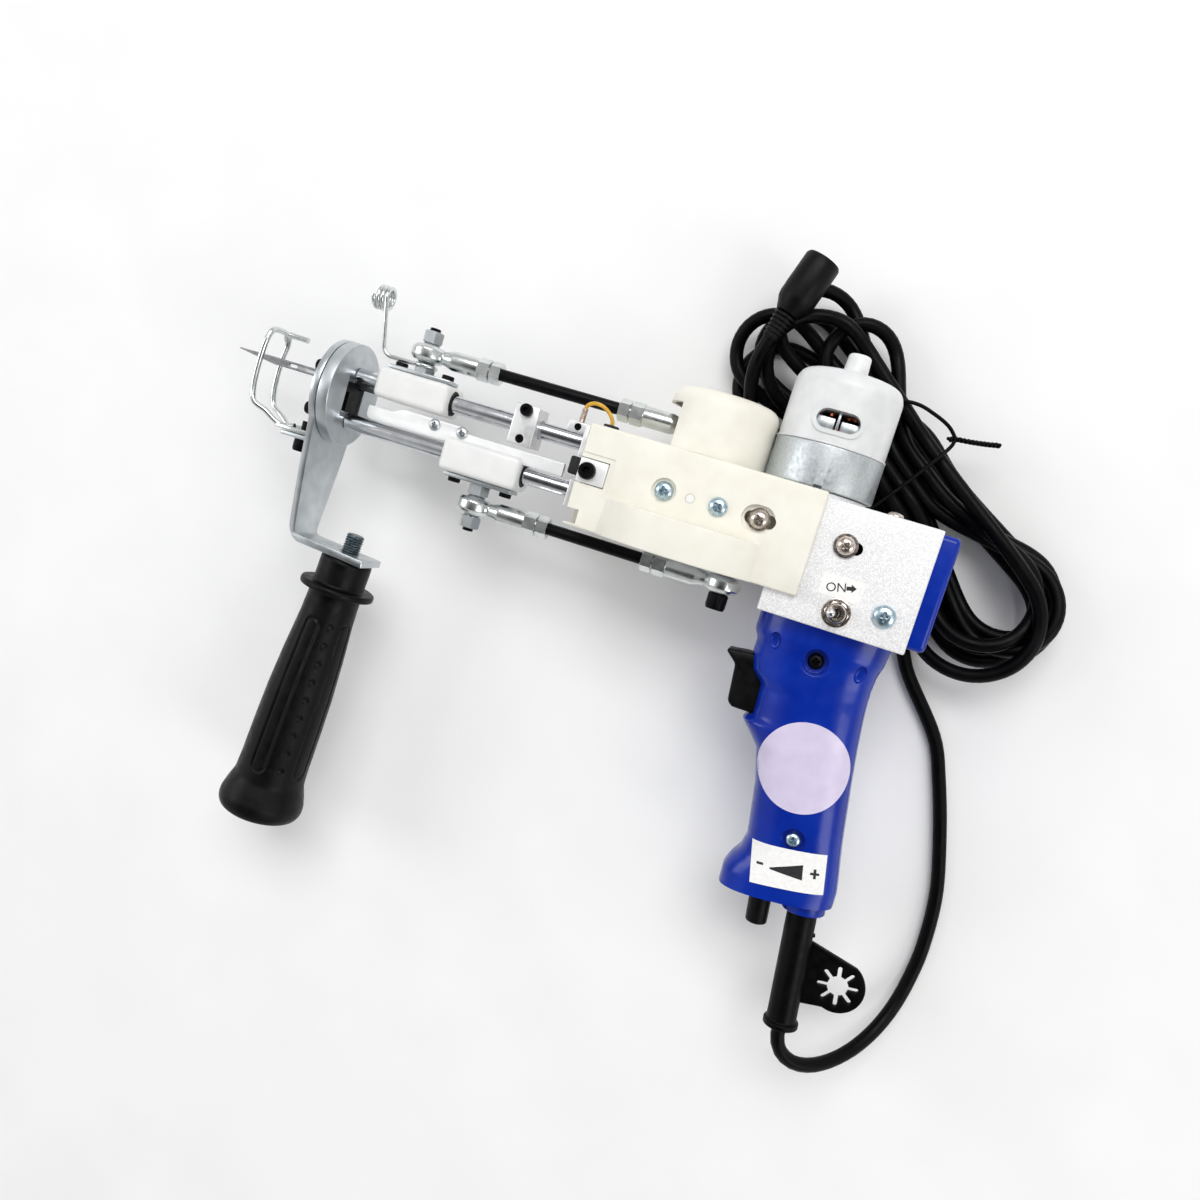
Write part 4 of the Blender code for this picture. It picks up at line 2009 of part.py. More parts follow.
def speed_control(knob_axis):
    down = foot_direction()
    foot = foot_point(KNOB_X)
    inner = foot - down * (GRIP_WALL + GAP)
    pot = bar("speed_pot", inner - down * POT_HEIGHT, inner, POT_RADIUS)
    join(pot, bar("pot_shaft", inner - down * POT_HEIGHT / 2,
                  foot + down * (KNOB_STAND_OFF + POT_SHAFT_LENGTH), POT_SHAFT_RADIUS, SMALL))
    carried(finish(pot, "zinc"))

    start = foot + down * KNOB_STAND_OFF
    knob = bar("speed_knob", start, start + down * KNOB_LENGTH, KNOB_RADIUS)
    cut(knob, bar("knob_bore", start - down * OVERRUN, start + down * (POT_SHAFT_LENGTH + GAP),
                  POT_SHAFT_RADIUS + GAP, SMALL))
    carried(finish(knob, "black_plastic"), knob_axis)


# Strain relief and cord

def relief_end():
    down = foot_direction()
    return foot_point(GRIP_COLLAR_X) + down * (GRIP_COLLAR_HEIGHT + RELIEF_LENGTH)


def strain_relief():
    down = foot_direction()
    across = Vector((math.cos(GRIP_RAKE), math.sin(GRIP_RAKE), 0))
    mouth = foot_point(GRIP_COLLAR_X) + down * GRIP_COLLAR_HEIGHT
    end = relief_end()
    sleeve = bar("strain_relief", mouth - down * RELIEF_SEAT, end, RELIEF_RADIUS)
    join(sleeve, bar("relief_flange", end - down * RELIEF_END_LENGTH, end, RELIEF_END_RADIUS))
    turn = Matrix((
        (down.x, across.x, 0, 0),
        (down.y, across.y, 0, 0),
        (0, 0, 1, 0),
        (0, 0, 0, 1),
    ))
    place = Matrix.Translation(mouth + Z_AXIS * -RELIEF_TAB_DROP) @ turn
    centre = (RELIEF_TAB_ALONG, RELIEF_TAB_REACH)
    rounding = reversed(arc(centre, RELIEF_TAB_RADIUS, *RELIEF_TAB_ARC, ROUND))
    outline = [(RELIEF_TAB_START, 0), *rounding, (RELIEF_TAB_STOP, 0)]
    join(sleeve, plate("relief_tab", outline, RELIEF_TAB_THICKNESS, place))
    hub = mouth + down * centre[0] + across * centre[1] - Z_AXIS * RELIEF_TAB_DROP
    depth = Z_AXIS * RELIEF_TAB_THICKNESS
    cutters = [bar("star_centre", hub - depth, hub + depth, STAR_CENTRE_RADIUS, ROUND)]
    for k in range(STAR_RAYS // 2):
        ray = box(
            "star_ray",
            (-STAR_RAY_LENGTH, -STAR_RAY_WIDTH / 2, -RELIEF_TAB_THICKNESS),
            (STAR_RAY_LENGTH, STAR_RAY_WIDTH / 2, RELIEF_TAB_THICKNESS),
        )
        ray.location = hub
        ray.rotation_euler = (0, 0, STAR_TURN + 2 * math.pi * k / STAR_RAYS)
        cutters.append(ray)
    cut(sleeve, *cutters)
    return carried(finish(sleeve, "black_rubber"))


def hank_frame():
    """The middle of the hank on the floor, its length direction, and the direction across it."""
    axis = Vector((math.cos(HANK_ANGLE), math.sin(HANK_ANGLE), 0))
    return Vector((*HANK_CENTRE, 0)), axis, Vector((axis.y, -axis.x, 0))


def loop_point(step, radius):
    """A point of one loop: two straight runs and two round ends, drawn in alike at the waist."""
    straight = (HANK_LENGTH - HANK_WIDTH) / 2
    half = HANK_RUN_POINTS + HANK_END_POINTS
    mirror = 1
    if step >= half:
        step -= half
        mirror = -1
    if step <= HANK_RUN_POINTS:
        x, y = straight * (1 - 2 * step / HANK_RUN_POINTS), radius
        y -= HANK_WAIST * math.exp(-((x / HANK_WAIST_LENGTH) ** 2))
    else:
        turn = math.pi * (step - HANK_RUN_POINTS) / HANK_END_POINTS
        x, y = -straight - radius * math.sin(turn), radius * math.cos(turn)
    return mirror * x, mirror * y


def hank_points():
    """Loops that spiral in on the floor, climb a layer along a run, and spiral out on top; then the cord's end.

    Each point is (along the hank, across it, height above the lower layer)."""
    loop = 2 * (HANK_RUN_POINTS + HANK_END_POINTS)
    reversal = HANK_LOOPS / 2 * loop + HANK_RUN_POINTS / 2
    last = HANK_LOOPS * loop + HANK_RUN_POINTS
    points = []
    for step in range(last + 1):
        radius = HANK_WIDTH / 2 - (reversal - abs(step - reversal)) / loop * HANK_STEP
        climb = min(max((step - reversal) / HANK_RUN_POINTS + 1 / 2, 0), 1)
        x, y = loop_point(step % loop, radius)
        points.append((x, y, HANK_LAYER * climb * climb * (3 - 2 * climb)))
    x, y, z = points[-1]
    points[-2] = (*points[-2][:2], z + HANK_END_RISE * HANK_END_SHARES[0][1])
    for turn, rise in HANK_END_SHARES[1:]:
        angle = HANK_END_TURN * turn
        bend = y - (y - HANK_END_RADIUS) * turn
        points.append((x - bend * math.sin(angle), bend * math.cos(angle), z + HANK_END_RISE * rise))
    points.pop(last)
    return points


def cord_pieces():
    centre, axis, side = hank_frame()
    local = hank_points()
    loops = [tuple(centre + axis * x + side * y + Z_AXIS * (CORD_FLOOR_Z + z)) for x, y, z in local]
    print("hank least gap to itself:", round(least_gap(loops, CORD_RADIUS, HANK_END_POINTS) * 1000, 2), "mm")
    print("hank length:", round(line_length(loops), 3), "m, points:", len(loops))
    carried(finish(tube("cord_hank", loops, CORD_RADIUS, 1), "black_rubber"))

    start = Vector(loops[0])
    into = (Vector(loops[1]) - start).normalized()
    meet = start - into * GAP
    down = foot_direction()
    exit_point = relief_end() + down * GAP
    first, last = exit_point + down * CORD_DIAMETER, meet - into * CORD_DIAMETER
    route = [first, *(Vector(p) for p in CORD_ROUTE), meet - into * 3 * CORD_DIAMETER, last]
    line = [tuple(exit_point), *smooth_line(route, CORD_STEP, exit_point, meet), tuple(meet)]
    print("free cord length:", round(line_length(line), 3), "m, points:", len(line))
    print("free cord tightest bend:", round(tightest_bend(line) * 1000, 1), "mm")
    carried(finish(tube("power_cord", line, CORD_RADIUS, 2), "black_rubber"))

    out = (Vector(loops[-1]) - Vector(loops[-2])).normalized()
    plug_at(Vector(loops[-1]) + out * GAP, out)
    wire_tie(centre, axis, side, local)


def tightest_bend(points):
    places = [Vector(p) for p in points]
    radii = []
    for a, b, c in zip(places, places[1:], places[2:]):
        angle = (b - a).angle(c - b)
        if angle > 0:
            radii.append((c - a).length / 2 / math.sin(angle))
    return min(radii)


def plug_at(start, out):
    """A moulded cord connector: its bend relief, its swelling body and its flat face."""
    top = PLUG_TAIL_LENGTH + PLUG_LENGTH
    profile = [
        (0, top),
        (PLUG_FACE_RADIUS, top),
        (PLUG_RADIUS, top - PLUG_LENGTH / 2),
        (PLUG_RADIUS, top - PLUG_LENGTH * 4 / 5),
        (PLUG_NECK_RADIUS, PLUG_TAIL_LENGTH),
        (PLUG_TAIL_RADIUS, 0),
        (0, 0),
    ]
    flat_out = Vector((out.x, out.y, 0)).normalized()
    carried(finish(turned("plug", start, flat_out, profile), "black_plastic"))


def wire_tie(centre, axis, side, local):
    """The wire over the hank's waist, down to the floor on both sides, with its twisted ends sticking out."""
    near = [point for point in local if abs(point[0]) < HANK_WAIST_LENGTH / 2]
    reach = CORD_RADIUS + TIE_CLEARANCE + TIE_RADIUS
    low, high = min(p[1] for p in near) - reach, max(p[1] for p in near) + reach
    top = HANK_LAYER + reach
    foot = TIE_RADIUS - CORD_RADIUS + TIE_CLEARANCE
    bend = reach / 3
    path = [(high, foot), (high, top - bend), (high - bend, top), (low + bend, top), (low, top - bend), (low, foot)]

    def place(x, y, z):
        return tuple(centre + axis * x + side * y + Z_AXIS * (CORD_FLOOR_Z + z))

    wire = tube("wire_tie", [place(TIE_X, y, z) for y, z in path], TIE_RADIUS, 1)
    tail = [(TIE_X, low + bend, top), (TIE_X + TIE_TAIL / 4, low - bend, top),
            (TIE_X + TIE_TAIL * 3 / 4, low - 2 * bend, top)]
    join(wire, tube("tie_ends", [place(*p) for p in tail], TIE_RADIUS * 5 / 4, 1))
    carried(finish(wire, "black_plastic"))


# Assembly

def build():
    crank = axis_empty("crank_axis", (0, 0, 0))
    rotor = axis_empty("motor_axis", (MOTOR_X, 0, 0))
    needle_slide = axis_empty("needle_slide_axis", (NEEDLE_BALL_X, UPPER_GUIDE_Y, 0))
    needle_rod = axis_empty("needle_rod_axis", (NEEDLE_BALL_X, UPPER_ROD_Y, 0), needle_slide)
    cutter_slide = axis_empty("cutter_slide_axis", (CUTTER_BALL_X, LOWER_GUIDE_Y, 0))
    cutter_rod = axis_empty("cutter_rod_axis", (CUTTER_BALL_X, LOWER_ROD_Y, 0), cutter_slide)
    trigger = axis_empty("trigger_axis", (TRIGGER_FACE_X, (TRIGGER_TOP + TRIGGER_BOTTOM) / 2, 0))
    lever = axis_empty("toggle_axis", toggle_pivot())
    knob = axis_empty("speed_knob_axis", foot_point(KNOB_X))

    housing_half("housing_left", 1)
    housing_half("housing_right", -1)
    crank_cover()
    crank_pieces(crank)
    bearing("lower_bearing", CHAMBER_TOP + GAP)
    bearing("upper_bearing", HOUSING_TOP - BEARING_WIDTH - GAP)
    motor_pieces(rotor)
    connecting_rod("upper", NEEDLE_BALL_X, UPPER_ROD_LENGTH, UPPER_ROD_Y, (1, PIN_HEAD_HEIGHT), needle_rod)
    connecting_rod("lower", CUTTER_BALL_X, LOWER_ROD_LENGTH, LOWER_ROD_Y, (-1, LOWER_PIN_HEAD_HEIGHT), cutter_rod)
    needle_slide_pieces(needle_slide)
    cutter_slide_pieces(cutter_slide)
    front_frame()
    disc_and_bracket()
    housing_screws()
    gearbox_frame()
    toggle_switch(lever)
    grip_shell("grip_left", 1)
    grip_shell("grip_right", -1)
    grip_screws()
    trigger_and_switch(trigger)
    speed_control(knob)
    strain_relief()
    cord_pieces()


def stand_on_floor():
    """Moves the whole machine so that the middle of its box, without the cord, stands on the origin."""
    bpy.context.view_layer.update()
    graph = bpy.context.evaluated_depsgraph_get()
    cord_names = ("power_cord", "cord_hank", "plug", "wire_tie")
    corners = []
    for obj in PARTS.objects:
        if obj.type == "MESH" and obj.name not in cord_names:
            seen = obj.evaluated_get(graph)
            corners += [seen.matrix_world @ Vector(corner) for corner in seen.bound_box]
    low = Vector(min(c[axis] for c in corners) for axis in range(3))
    high = Vector(max(c[axis] for c in corners) for axis in range(3))
    ROOT.location = (-(low.x + high.x) / 2, -(low.y + high.y) / 2, -low.z)
    print("machine box:", [round(v, 4) for v in high - low], "moved by", [round(v, 5) for v in ROOT.location])


build()
stand_on_floor()
bpy.context.view_layer.update()
for empty in PARTS.objects:
    if empty.type == "EMPTY":
        print(empty.name, [round(v, 5) for v in empty.matrix_world.translation])
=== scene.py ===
# %% [markdown]
# # A handheld tufting machine, dressed
#
# The machine is packed as a CAD model: sixty plain solids with joints. Here it gets its looks. Each cell builds one
# piece or one finish, on top of the solid that carries it, and says why it is made that way.

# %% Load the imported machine
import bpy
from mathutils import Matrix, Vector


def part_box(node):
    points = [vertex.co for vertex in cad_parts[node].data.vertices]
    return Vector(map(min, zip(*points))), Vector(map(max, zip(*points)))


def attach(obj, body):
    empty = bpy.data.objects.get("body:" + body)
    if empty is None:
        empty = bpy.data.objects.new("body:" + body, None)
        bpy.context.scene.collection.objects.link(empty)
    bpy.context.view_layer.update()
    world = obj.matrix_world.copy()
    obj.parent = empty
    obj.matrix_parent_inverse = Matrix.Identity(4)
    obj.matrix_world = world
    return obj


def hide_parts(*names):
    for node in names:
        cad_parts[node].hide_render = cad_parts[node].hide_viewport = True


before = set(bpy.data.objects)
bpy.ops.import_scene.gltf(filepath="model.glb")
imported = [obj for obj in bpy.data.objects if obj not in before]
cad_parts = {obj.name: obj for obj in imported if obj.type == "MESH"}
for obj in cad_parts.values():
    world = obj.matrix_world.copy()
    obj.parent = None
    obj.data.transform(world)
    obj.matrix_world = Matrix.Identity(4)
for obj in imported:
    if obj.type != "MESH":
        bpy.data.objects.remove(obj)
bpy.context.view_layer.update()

import math

import bmesh
import bpy
import numpy as np
from mathutils import Matrix, Vector

print("solids:", len(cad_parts))

# %% [markdown]
# ## Where things are
#
# Every size below is a millimetre, measured from the middle of the crankshaft: +X runs back to the rear cover, +Y up
# to the motor, +Z out of the machine's left side, which faces up as it lies. The crankshaft's own solid says where
# that point stands in the shared frame, so nothing has to be fitted by eye.

# %% From millimetres about the crankshaft to the shared frame
MM = 0.001
SHAFT_BOTTOM = -17.75
shaft_low, shaft_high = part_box("crankshaft")
CRANK_AXIS = Vector(
    (
        (shaft_low.x + shaft_high.x) / 2 / MM,
        shaft_low.y / MM - SHAFT_BOTTOM,
        (shaft_low.z + shaft_high.z) / 2 / MM,
    )
)
TO_FRAME = Matrix.Scale(MM, 4) @ Matrix.Translation(CRANK_AXIS)
FLOOR = -CRANK_AXIS.z


def in_frame(point):
    return TO_FRAME @ Vector(point)


print("crankshaft's middle, mm:", [round(v, 3) for v in CRANK_AXIS])

# %% [markdown]
# ## The camera
#
# The photograph was taken almost straight down, a little from the front. A camera's place and turn follow from
# features whose real places are known: its three axes are written here as directions in the machine's own frame, and
# the lens gives 1000 pixels of focal length on a 1200 pixel picture.

# %% Camera
CAMERA_AT = (54.3, -3.5, 415.0)
CAMERA_AXES = ((0.9324, 0.2906, -0.215), (0.3062, -0.951, 0.0424), (-0.1921, -0.1054, -0.9757))
left, _, right = np.linalg.svd(np.array(CAMERA_AXES))
picture_right, picture_down, picture_in = (Vector(row) for row in left @ right)
camera = bpy.data.objects.new("camera", bpy.data.cameras.new("camera"))
bpy.context.scene.collection.objects.link(camera)
camera.data.sensor_width = 36
camera.data.lens = 30
camera.data.clip_start = 0.01
turn = Matrix((picture_right, -picture_down, -picture_in)).transposed().to_4x4()
camera.matrix_world = Matrix.Translation(in_frame(CAMERA_AT)) @ turn
bpy.context.scene.camera = camera
bpy.context.scene.view_settings.view_transform = "Standard"
print("camera at", [round(v, 4) for v in camera.matrix_world.translation])

# %% [markdown]
# ## Colours and nodes
#
# Colours are easiest to judge as the hex values of a picture, but shaders add up light, which is linear. One function
# turns the first into the second. A second one starts a material from constant values on its Principled BSDF, and
# a third adds a node with its settings and links, whatever kind it is.


# %% Colour and node helpers
def linear(hex_text):
    parts = [int(hex_text[k:k + 2], 16) / 255 for k in (1, 3, 5)]
    return (*(p / 12.92 if p <= 0.04045 else ((p + 0.055) / 1.055) ** 2.4 for p in parts), 1)


def material(name, **sockets):
    """A material whose Principled BSDF starts from these constant values."""
    made = bpy.data.materials.new(name)
    made.use_nodes = True
    shader = made.node_tree.nodes["Principled BSDF"]
    for key, value in sockets.items():
        shader.inputs[key.replace("_", " ")].default_value = value
    return made


def add(made, kind, settings=(), links=()):
    """One node with its settings, fed by the given outputs."""
    node = made.node_tree.nodes.new("ShaderNode" + kind)
    for key, value in dict(settings).items():
        if isinstance(key, str) and hasattr(node, key):
            setattr(node, key, value)
        else:
            node.inputs[key].default_value = value
    for socket, source in dict(links).items():
        made.node_tree.links.new(source, node.inputs[socket])
    return node


def feed(made, socket, source):
    made.node_tree.links.new(source, made.node_tree.nodes["Principled BSDF"].inputs[socket])


def mottle(made, socket, low, high, size, detail=2.0, contrast=(0.35, 0.65)):
    """Lets a socket drift between two values in soft patches of a size in mm."""
    place = add(made, "TexCoord")
    noise = add(made, "TexNoise", {"Scale": 1 / (size * MM), "Detail": detail}, {"Vector": place.outputs["Object"]})
    ramp = add(made, "ValToRGB", {}, {"Fac": noise.outputs["Fac"]})
    for stop, where, value in zip(ramp.color_ramp.elements, contrast, (low, high)):
        stop.position = where
        stop.color = value if hasattr(value, "__len__") else (value, value, value, 1)
    feed(made, socket, ramp.outputs["Color"])
    return noise


def relief(made, size, depth, detail=2.0, stretch=(1, 1, 1)):
    """A bump of grains of a size in mm and a depth in mm. Stretch lengthens the grain along an axis."""
    place = add(made, "TexCoord")
    shape = add(
        made, "Mapping", {"Scale": tuple(1 / s for s in stretch)}, {"Vector": place.outputs["Object"]}
    )
    noise = add(made, "TexNoise", {"Scale": 1 / (size * MM), "Detail": detail}, {"Vector": shape.outputs["Vector"]})
    bump = add(made, "Bump", {"Strength": 1.0, "Distance": depth * MM}, {"Height": noise.outputs["Fac"]})
    feed(made, "Normal", bump.outputs["Normal"])
    return bump


# %% [markdown]
# ## Finishes
#
# Each finish starts from what the real piece is made of and how its surface was made. The machine mixes five
# plastics and eight metals, and most of its character lies in the small differences between them: ivory nylon beside
# milk-white acetal beside a translucent cap, blue zinc screws beside browned nickel ones.

# %% Light under the skin
# White plastics scatter all colours nearly alike under their skin, so the default's red glow would be wrong.
SOFT_WHITE = (1.0, 0.95, 0.88)

# %% Moulded glass-filled nylon, ivory
# Glass-filled nylon scatters light a little under its skin, and its mould leaves a faint flow pattern.
nylon = material(
    "moulded_nylon_ivory", Roughness=0.46, IOR=1.53, Subsurface_Weight=0.12, Subsurface_Scale=0.002,
    Subsurface_Radius=SOFT_WHITE,
)
mottle(nylon, "Base Color", linear("#E8E5D9"), linear("#EFEDE2"), 14, 3)
relief(nylon, 1.2, 0.012)

# %% Machined acetal, white
# Acetal is waxy and whiter than the nylon, and the tool leaves fine lines across it.
acetal = material(
    "machined_acetal_white", Roughness=0.38, IOR=1.48, Subsurface_Weight=0.15, Subsurface_Scale=0.002,
    Subsurface_Radius=SOFT_WHITE,
)
mottle(acetal, "Base Color", linear("#E4E5E4"), linear("#EBEBE9"), 9, 2)
relief(acetal, 0.5, 0.006, 2, (8, 1, 1))

# %% Moulded polypropylene, translucent
# The motor's cap is thin enough to glow where light comes through it.
milky = material(
    "moulded_polypropylene_milky", Roughness=0.34, IOR=1.49, Subsurface_Weight=0.35, Subsurface_Scale=0.004,
    Subsurface_Radius=SOFT_WHITE,
)
mottle(milky, "Base Color", linear("#DDDFDF"), linear("#E8E9E8"), 9, 2)
relief(milky, 2.5, 0.02)

# %% Moulded gloss ABS, royal blue
# A polished mould gives a gloss with soft waves in it, and handling leaves faint rub marks.
blue_abs = material("moulded_abs_royal_blue", IOR=1.54, Specular_IOR_Level=0.3)
mottle(blue_abs, "Base Color", linear("#002490"), linear("#012C9C"), 20, 2)
mottle(blue_abs, "Roughness", 0.18, 0.27, 5, 4)
relief(blue_abs, 3.0, 0.02)

# %% Moulded black ABS
# Trigger, knob and front handle have a fine spark-eroded grain that keeps them satin.
black_abs = material("moulded_abs_black", IOR=1.54, Specular_IOR_Level=0.14)
mottle(black_abs, "Base Color", linear("#030304"), linear("#060608"), 8, 3)
mottle(black_abs, "Roughness", 0.36, 0.5, 4, 3)
relief(black_abs, 0.45, 0.012)

# %% Flexible PVC, black
# The cord's jacket and the strain relief are soft PVC: a dull sheen and slight drawn lines.
pvc = material("extruded_pvc_black", IOR=1.53, Specular_IOR_Level=0.1)
mottle(pvc, "Base Color", linear("#010102"), linear("#040405"), 7, 3)
mottle(pvc, "Roughness", 0.36, 0.48, 4, 3)
relief(pvc, 0.6, 0.015)

# %% Sand-blasted anodised aluminium
# Blasting leaves tiny facets that catch light at random. The grit is drawn at 0.5 mm so that it shows in a render: its
# base colour speckles light and dark at that size as painted glints, over a real grit of roughness and bump.
blasted = material("blasted_anodised_aluminium", Metallic=0.2)
# Painted glints: the base colour speckles at the grit's size.
mottle(blasted, "Base Color", linear("#DEDEE0"), linear("#F6F6F6"), 0.5, 4, (0.42, 0.58))
mottle(blasted, "Roughness", 0.5, 0.7, 0.5, 2)
relief(blasted, 0.5, 0.05, 3)

# %% Milled aluminium
milled = material("milled_aluminium", Metallic=0.6)
mottle(milled, "Base Color", linear("#E2E3E4"), linear("#EDEDED"), 6, 2)
mottle(milled, "Roughness", 0.3, 0.42, 2, 3)
relief(milled, 0.3, 0.002, 2, (10, 1, 1))

# %% Ground and polished steel
# Guide rods are ground round and round, then run smooth by the sliders.
polished = material("ground_polished_steel", Metallic=1.0)
mottle(polished, "Base Color", linear("#CFD1D5"), linear("#DADCDF"), 5, 2)
mottle(polished, "Roughness", 0.13, 0.2, 3, 3)
relief(polished, 0.4, 0.0002, 2, (0.3, 3, 3))

# %% Flat steel, blanked and bright
blanked = material("blanked_bright_steel", Metallic=0.25)
mottle(blanked, "Base Color", linear("#EDEEEE"), linear("#F6F6F6"), 9, 2)
mottle(blanked, "Roughness", 0.36, 0.46, 4, 2)
relief(blanked, 0.3, 0.001, 2, (8, 1, 1))

# %% Dark hardened steel
hardened = material("hardened_needle_steel", Metallic=1.0)
mottle(hardened, "Base Color", linear("#8F8F92"), linear("#A8A8AA"), 5, 2)
mottle(hardened, "Roughness", 0.28, 0.38, 3, 2)
relief(hardened, 0.3, 0.001, 2, (6, 1, 1))

# %% Zinc-plated steel
# Bright zinc is a cool grey with faint clouds from the plating bath.
zinc = material("zinc_plated_steel", Metallic=1.0)
mottle(zinc, "Base Color", linear("#BFC5C8"), linear("#CCD1D3"), 7, 3)
mottle(zinc, "Roughness", 0.32, 0.42, 5, 3)
relief(zinc, 0.6, 0.0015, 3)

# %% Deep-drawn zinc-coated can
# The motor's can is drawn from coated strip: spangled, greyer, and duller than the bolts.
drawn_can = material("drawn_galvanised_can", Metallic=0.75)
mottle(drawn_can, "Base Color", linear("#B4BABC"), linear("#C9CED0"), 1.1, 5, (0.3, 0.7))
mottle(drawn_can, "Roughness", 0.34, 0.5, 2, 4)
relief(drawn_can, 0.6, 0.01, 3)

# %% Chromed steel
chrome = material("bright_plated_steel", Metallic=1.0)
mottle(chrome, "Base Color", linear("#D2D6D5"), linear("#E0E3E2"), 5, 2)
mottle(chrome, "Roughness", 0.18, 0.26, 3, 2)
relief(chrome, 0.5, 0.0008, 3)

# %% Zinc with a dark passivate
# The handle's stud has a greenish black passivate, rubbed bright on the thread's crests.
dark_zinc = material("dark_passivated_zinc", Metallic=0.9)
mottle(dark_zinc, "Base Color", linear("#39444A"), linear("#78868C"), 0.9, 3)
mottle(dark_zinc, "Roughness", 0.28, 0.42, 1, 3)
relief(dark_zinc, 0.4, 0.006)

# %% Blue-passivated zinc screws
# The blue comes from the passivate film, thicker in places, so the tint wanders.
blue_zinc = material("blue_passivated_zinc", Metallic=1.0)
mottle(blue_zinc, "Base Color", linear("#A3BFCE"), linear("#CFDEE6"), 1.6, 3)
mottle(blue_zinc, "Roughness", 0.22, 0.36, 1.5, 3)
relief(blue_zinc, 0.5, 0.008)

# %% Nickel plate with a brown cast
nickel = material("nickel_plated_steel_warm", Metallic=1.0)
mottle(nickel, "Base Color", linear("#BDAEA4"), linear("#E2DAD2"), 1.4, 3)
mottle(nickel, "Roughness", 0.16, 0.3, 1.5, 3)
relief(nickel, 0.5, 0.008)

# %% Black-oxide steel
# Black oxide is a thin conversion layer with oil in it: nearly black, and still a metal.
oxide = material("black_oxide_steel", Metallic=0.5, IOR=1.5, Specular_IOR_Level=0.2)
mottle(oxide, "Base Color", linear("#070709"), linear("#0C0C0F"), 3, 3)
mottle(oxide, "Roughness", 0.32, 0.48, 2, 3)
relief(oxide, 0.4, 0.008)

# %% Copper, brass, rubber and wire insulation
copper = material("enamelled_copper_wire", Metallic=1.0)
mottle(copper, "Base Color", linear("#8A4527"), linear("#B8683F"), 1.2, 3)
mottle(copper, "Roughness", 0.25, 0.4, 1, 2)
brass = material("cut_brass", Metallic=1.0)
mottle(brass, "Base Color", linear("#A7823F"), linear("#C79F57"), 2, 3)
mottle(brass, "Roughness", 0.25, 0.4, 2, 3)
rubber = material("moulded_nitrile_rubber", IOR=1.52)
mottle(rubber, "Base Color", linear("#09090B"), linear("#0E0E11"), 4, 3)
mottle(rubber, "Roughness", 0.55, 0.7, 2, 3)
relief(rubber, 0.5, 0.02)
yellow = material("extruded_pvc_yellow", IOR=1.53)
mottle(yellow, "Base Color", linear("#C99620"), linear("#E0AE35"), 3, 2)
mottle(yellow, "Roughness", 0.36, 0.46, 2, 2)

# %% Label stock
# The white labels are matt paper, the round one a satin lavender film.
paper = material("matt_label_paper", IOR=1.47)
mottle(paper, "Base Color", linear("#EEEDEB"), linear("#F6F6F4"), 1.5, 4)
mottle(paper, "Roughness", 0.6, 0.75, 1, 3)
relief(paper, 0.3, 0.006, 3)
lavender = material("satin_lavender_film", IOR=1.5, Coat_Weight=0.3, Coat_Roughness=0.2)
mottle(lavender, "Base Color", linear("#CEC4DF"), linear("#D6CDE5"), 8, 3)
mottle(lavender, "Roughness", 0.35, 0.5, 3, 3)
ink = material("screen_print_ink", IOR=1.5)
mottle(ink, "Base Color", linear("#18181B"), linear("#26262A"), 1, 3)
mottle(ink, "Roughness", 0.5, 0.65, 1, 2)
print("materials made:", len(bpy.data.materials))

# %% [markdown]
# ## Making pieces
#
# Pieces are drawn in millimetres about the crankshaft, like the sizes above. A turned shape is a profile spun about
# a line, a flat one is an outline with a rounded edge, and a wire is a bevelled curve. Cutters are taken out of a
# shape with an exact Boolean. `keep` then turns a drawn piece into a finished one: it moves it into the shared frame,
# gives it its material, smooths its round faces, and hangs it on the body that carries it.


# %% Shape helpers
def link(name, data):
    obj = bpy.data.objects.new(name, data)
    bpy.context.scene.collection.objects.link(obj)
    return obj


def from_bmesh(name, bm):
    bmesh.ops.recalc_face_normals(bm, faces=bm.faces)
    mesh = bpy.data.meshes.new(name)
    bm.to_mesh(mesh)
    bm.free()
    return link(name, mesh)


def settled(obj):
    """Applies everything on an object, and turns a curve into a mesh."""
    bpy.context.view_layer.update()
    mesh = bpy.data.meshes.new_from_object(obj.evaluated_get(bpy.context.evaluated_depsgraph_get()))
    mesh.transform(obj.matrix_world)
    name = obj.name
    bpy.data.objects.remove(obj, do_unlink=True)
    bm = bmesh.new()
    bm.from_mesh(mesh)
    bmesh.ops.remove_doubles(bm, verts=bm.verts, dist=1e-4)
    bmesh.ops.recalc_face_normals(bm, faces=bm.faces)
    bm.to_mesh(mesh)
    bm.free()
    return link(name, mesh)


def towards(start, direction):
    """The placement that lays local Z along a direction, from a starting point."""
    return Matrix.Translation(start) @ Vector(direction).to_track_quat("Z", "Y").to_matrix().to_4x4()


def rounded(points, radius, steps=4, closed=False):
    """The same run of points with each inner corner replaced by an arc."""
    out = []
    count = len(points)
    for k, point in enumerate(points):
        if not closed and k in (0, count - 1):
            out.append(tuple(point))
            continue
        here = Vector(point)
        before, after = Vector(points[k - 1]) - here, Vector(points[(k + 1) % count]) - here
        reach = min(radius, before.length * 0.45, after.length * 0.45)
        if before.angle(after) > 3.0:
            out.append(tuple(point))
            continue
        start, end = here + before.normalized() * reach, here + after.normalized() * reach
        for t in np.linspace(0, 1, steps + 1):
            out.append(tuple(start * (1 - t) ** 2 + here * 2 * t * (1 - t) + end * t**2))
    return out


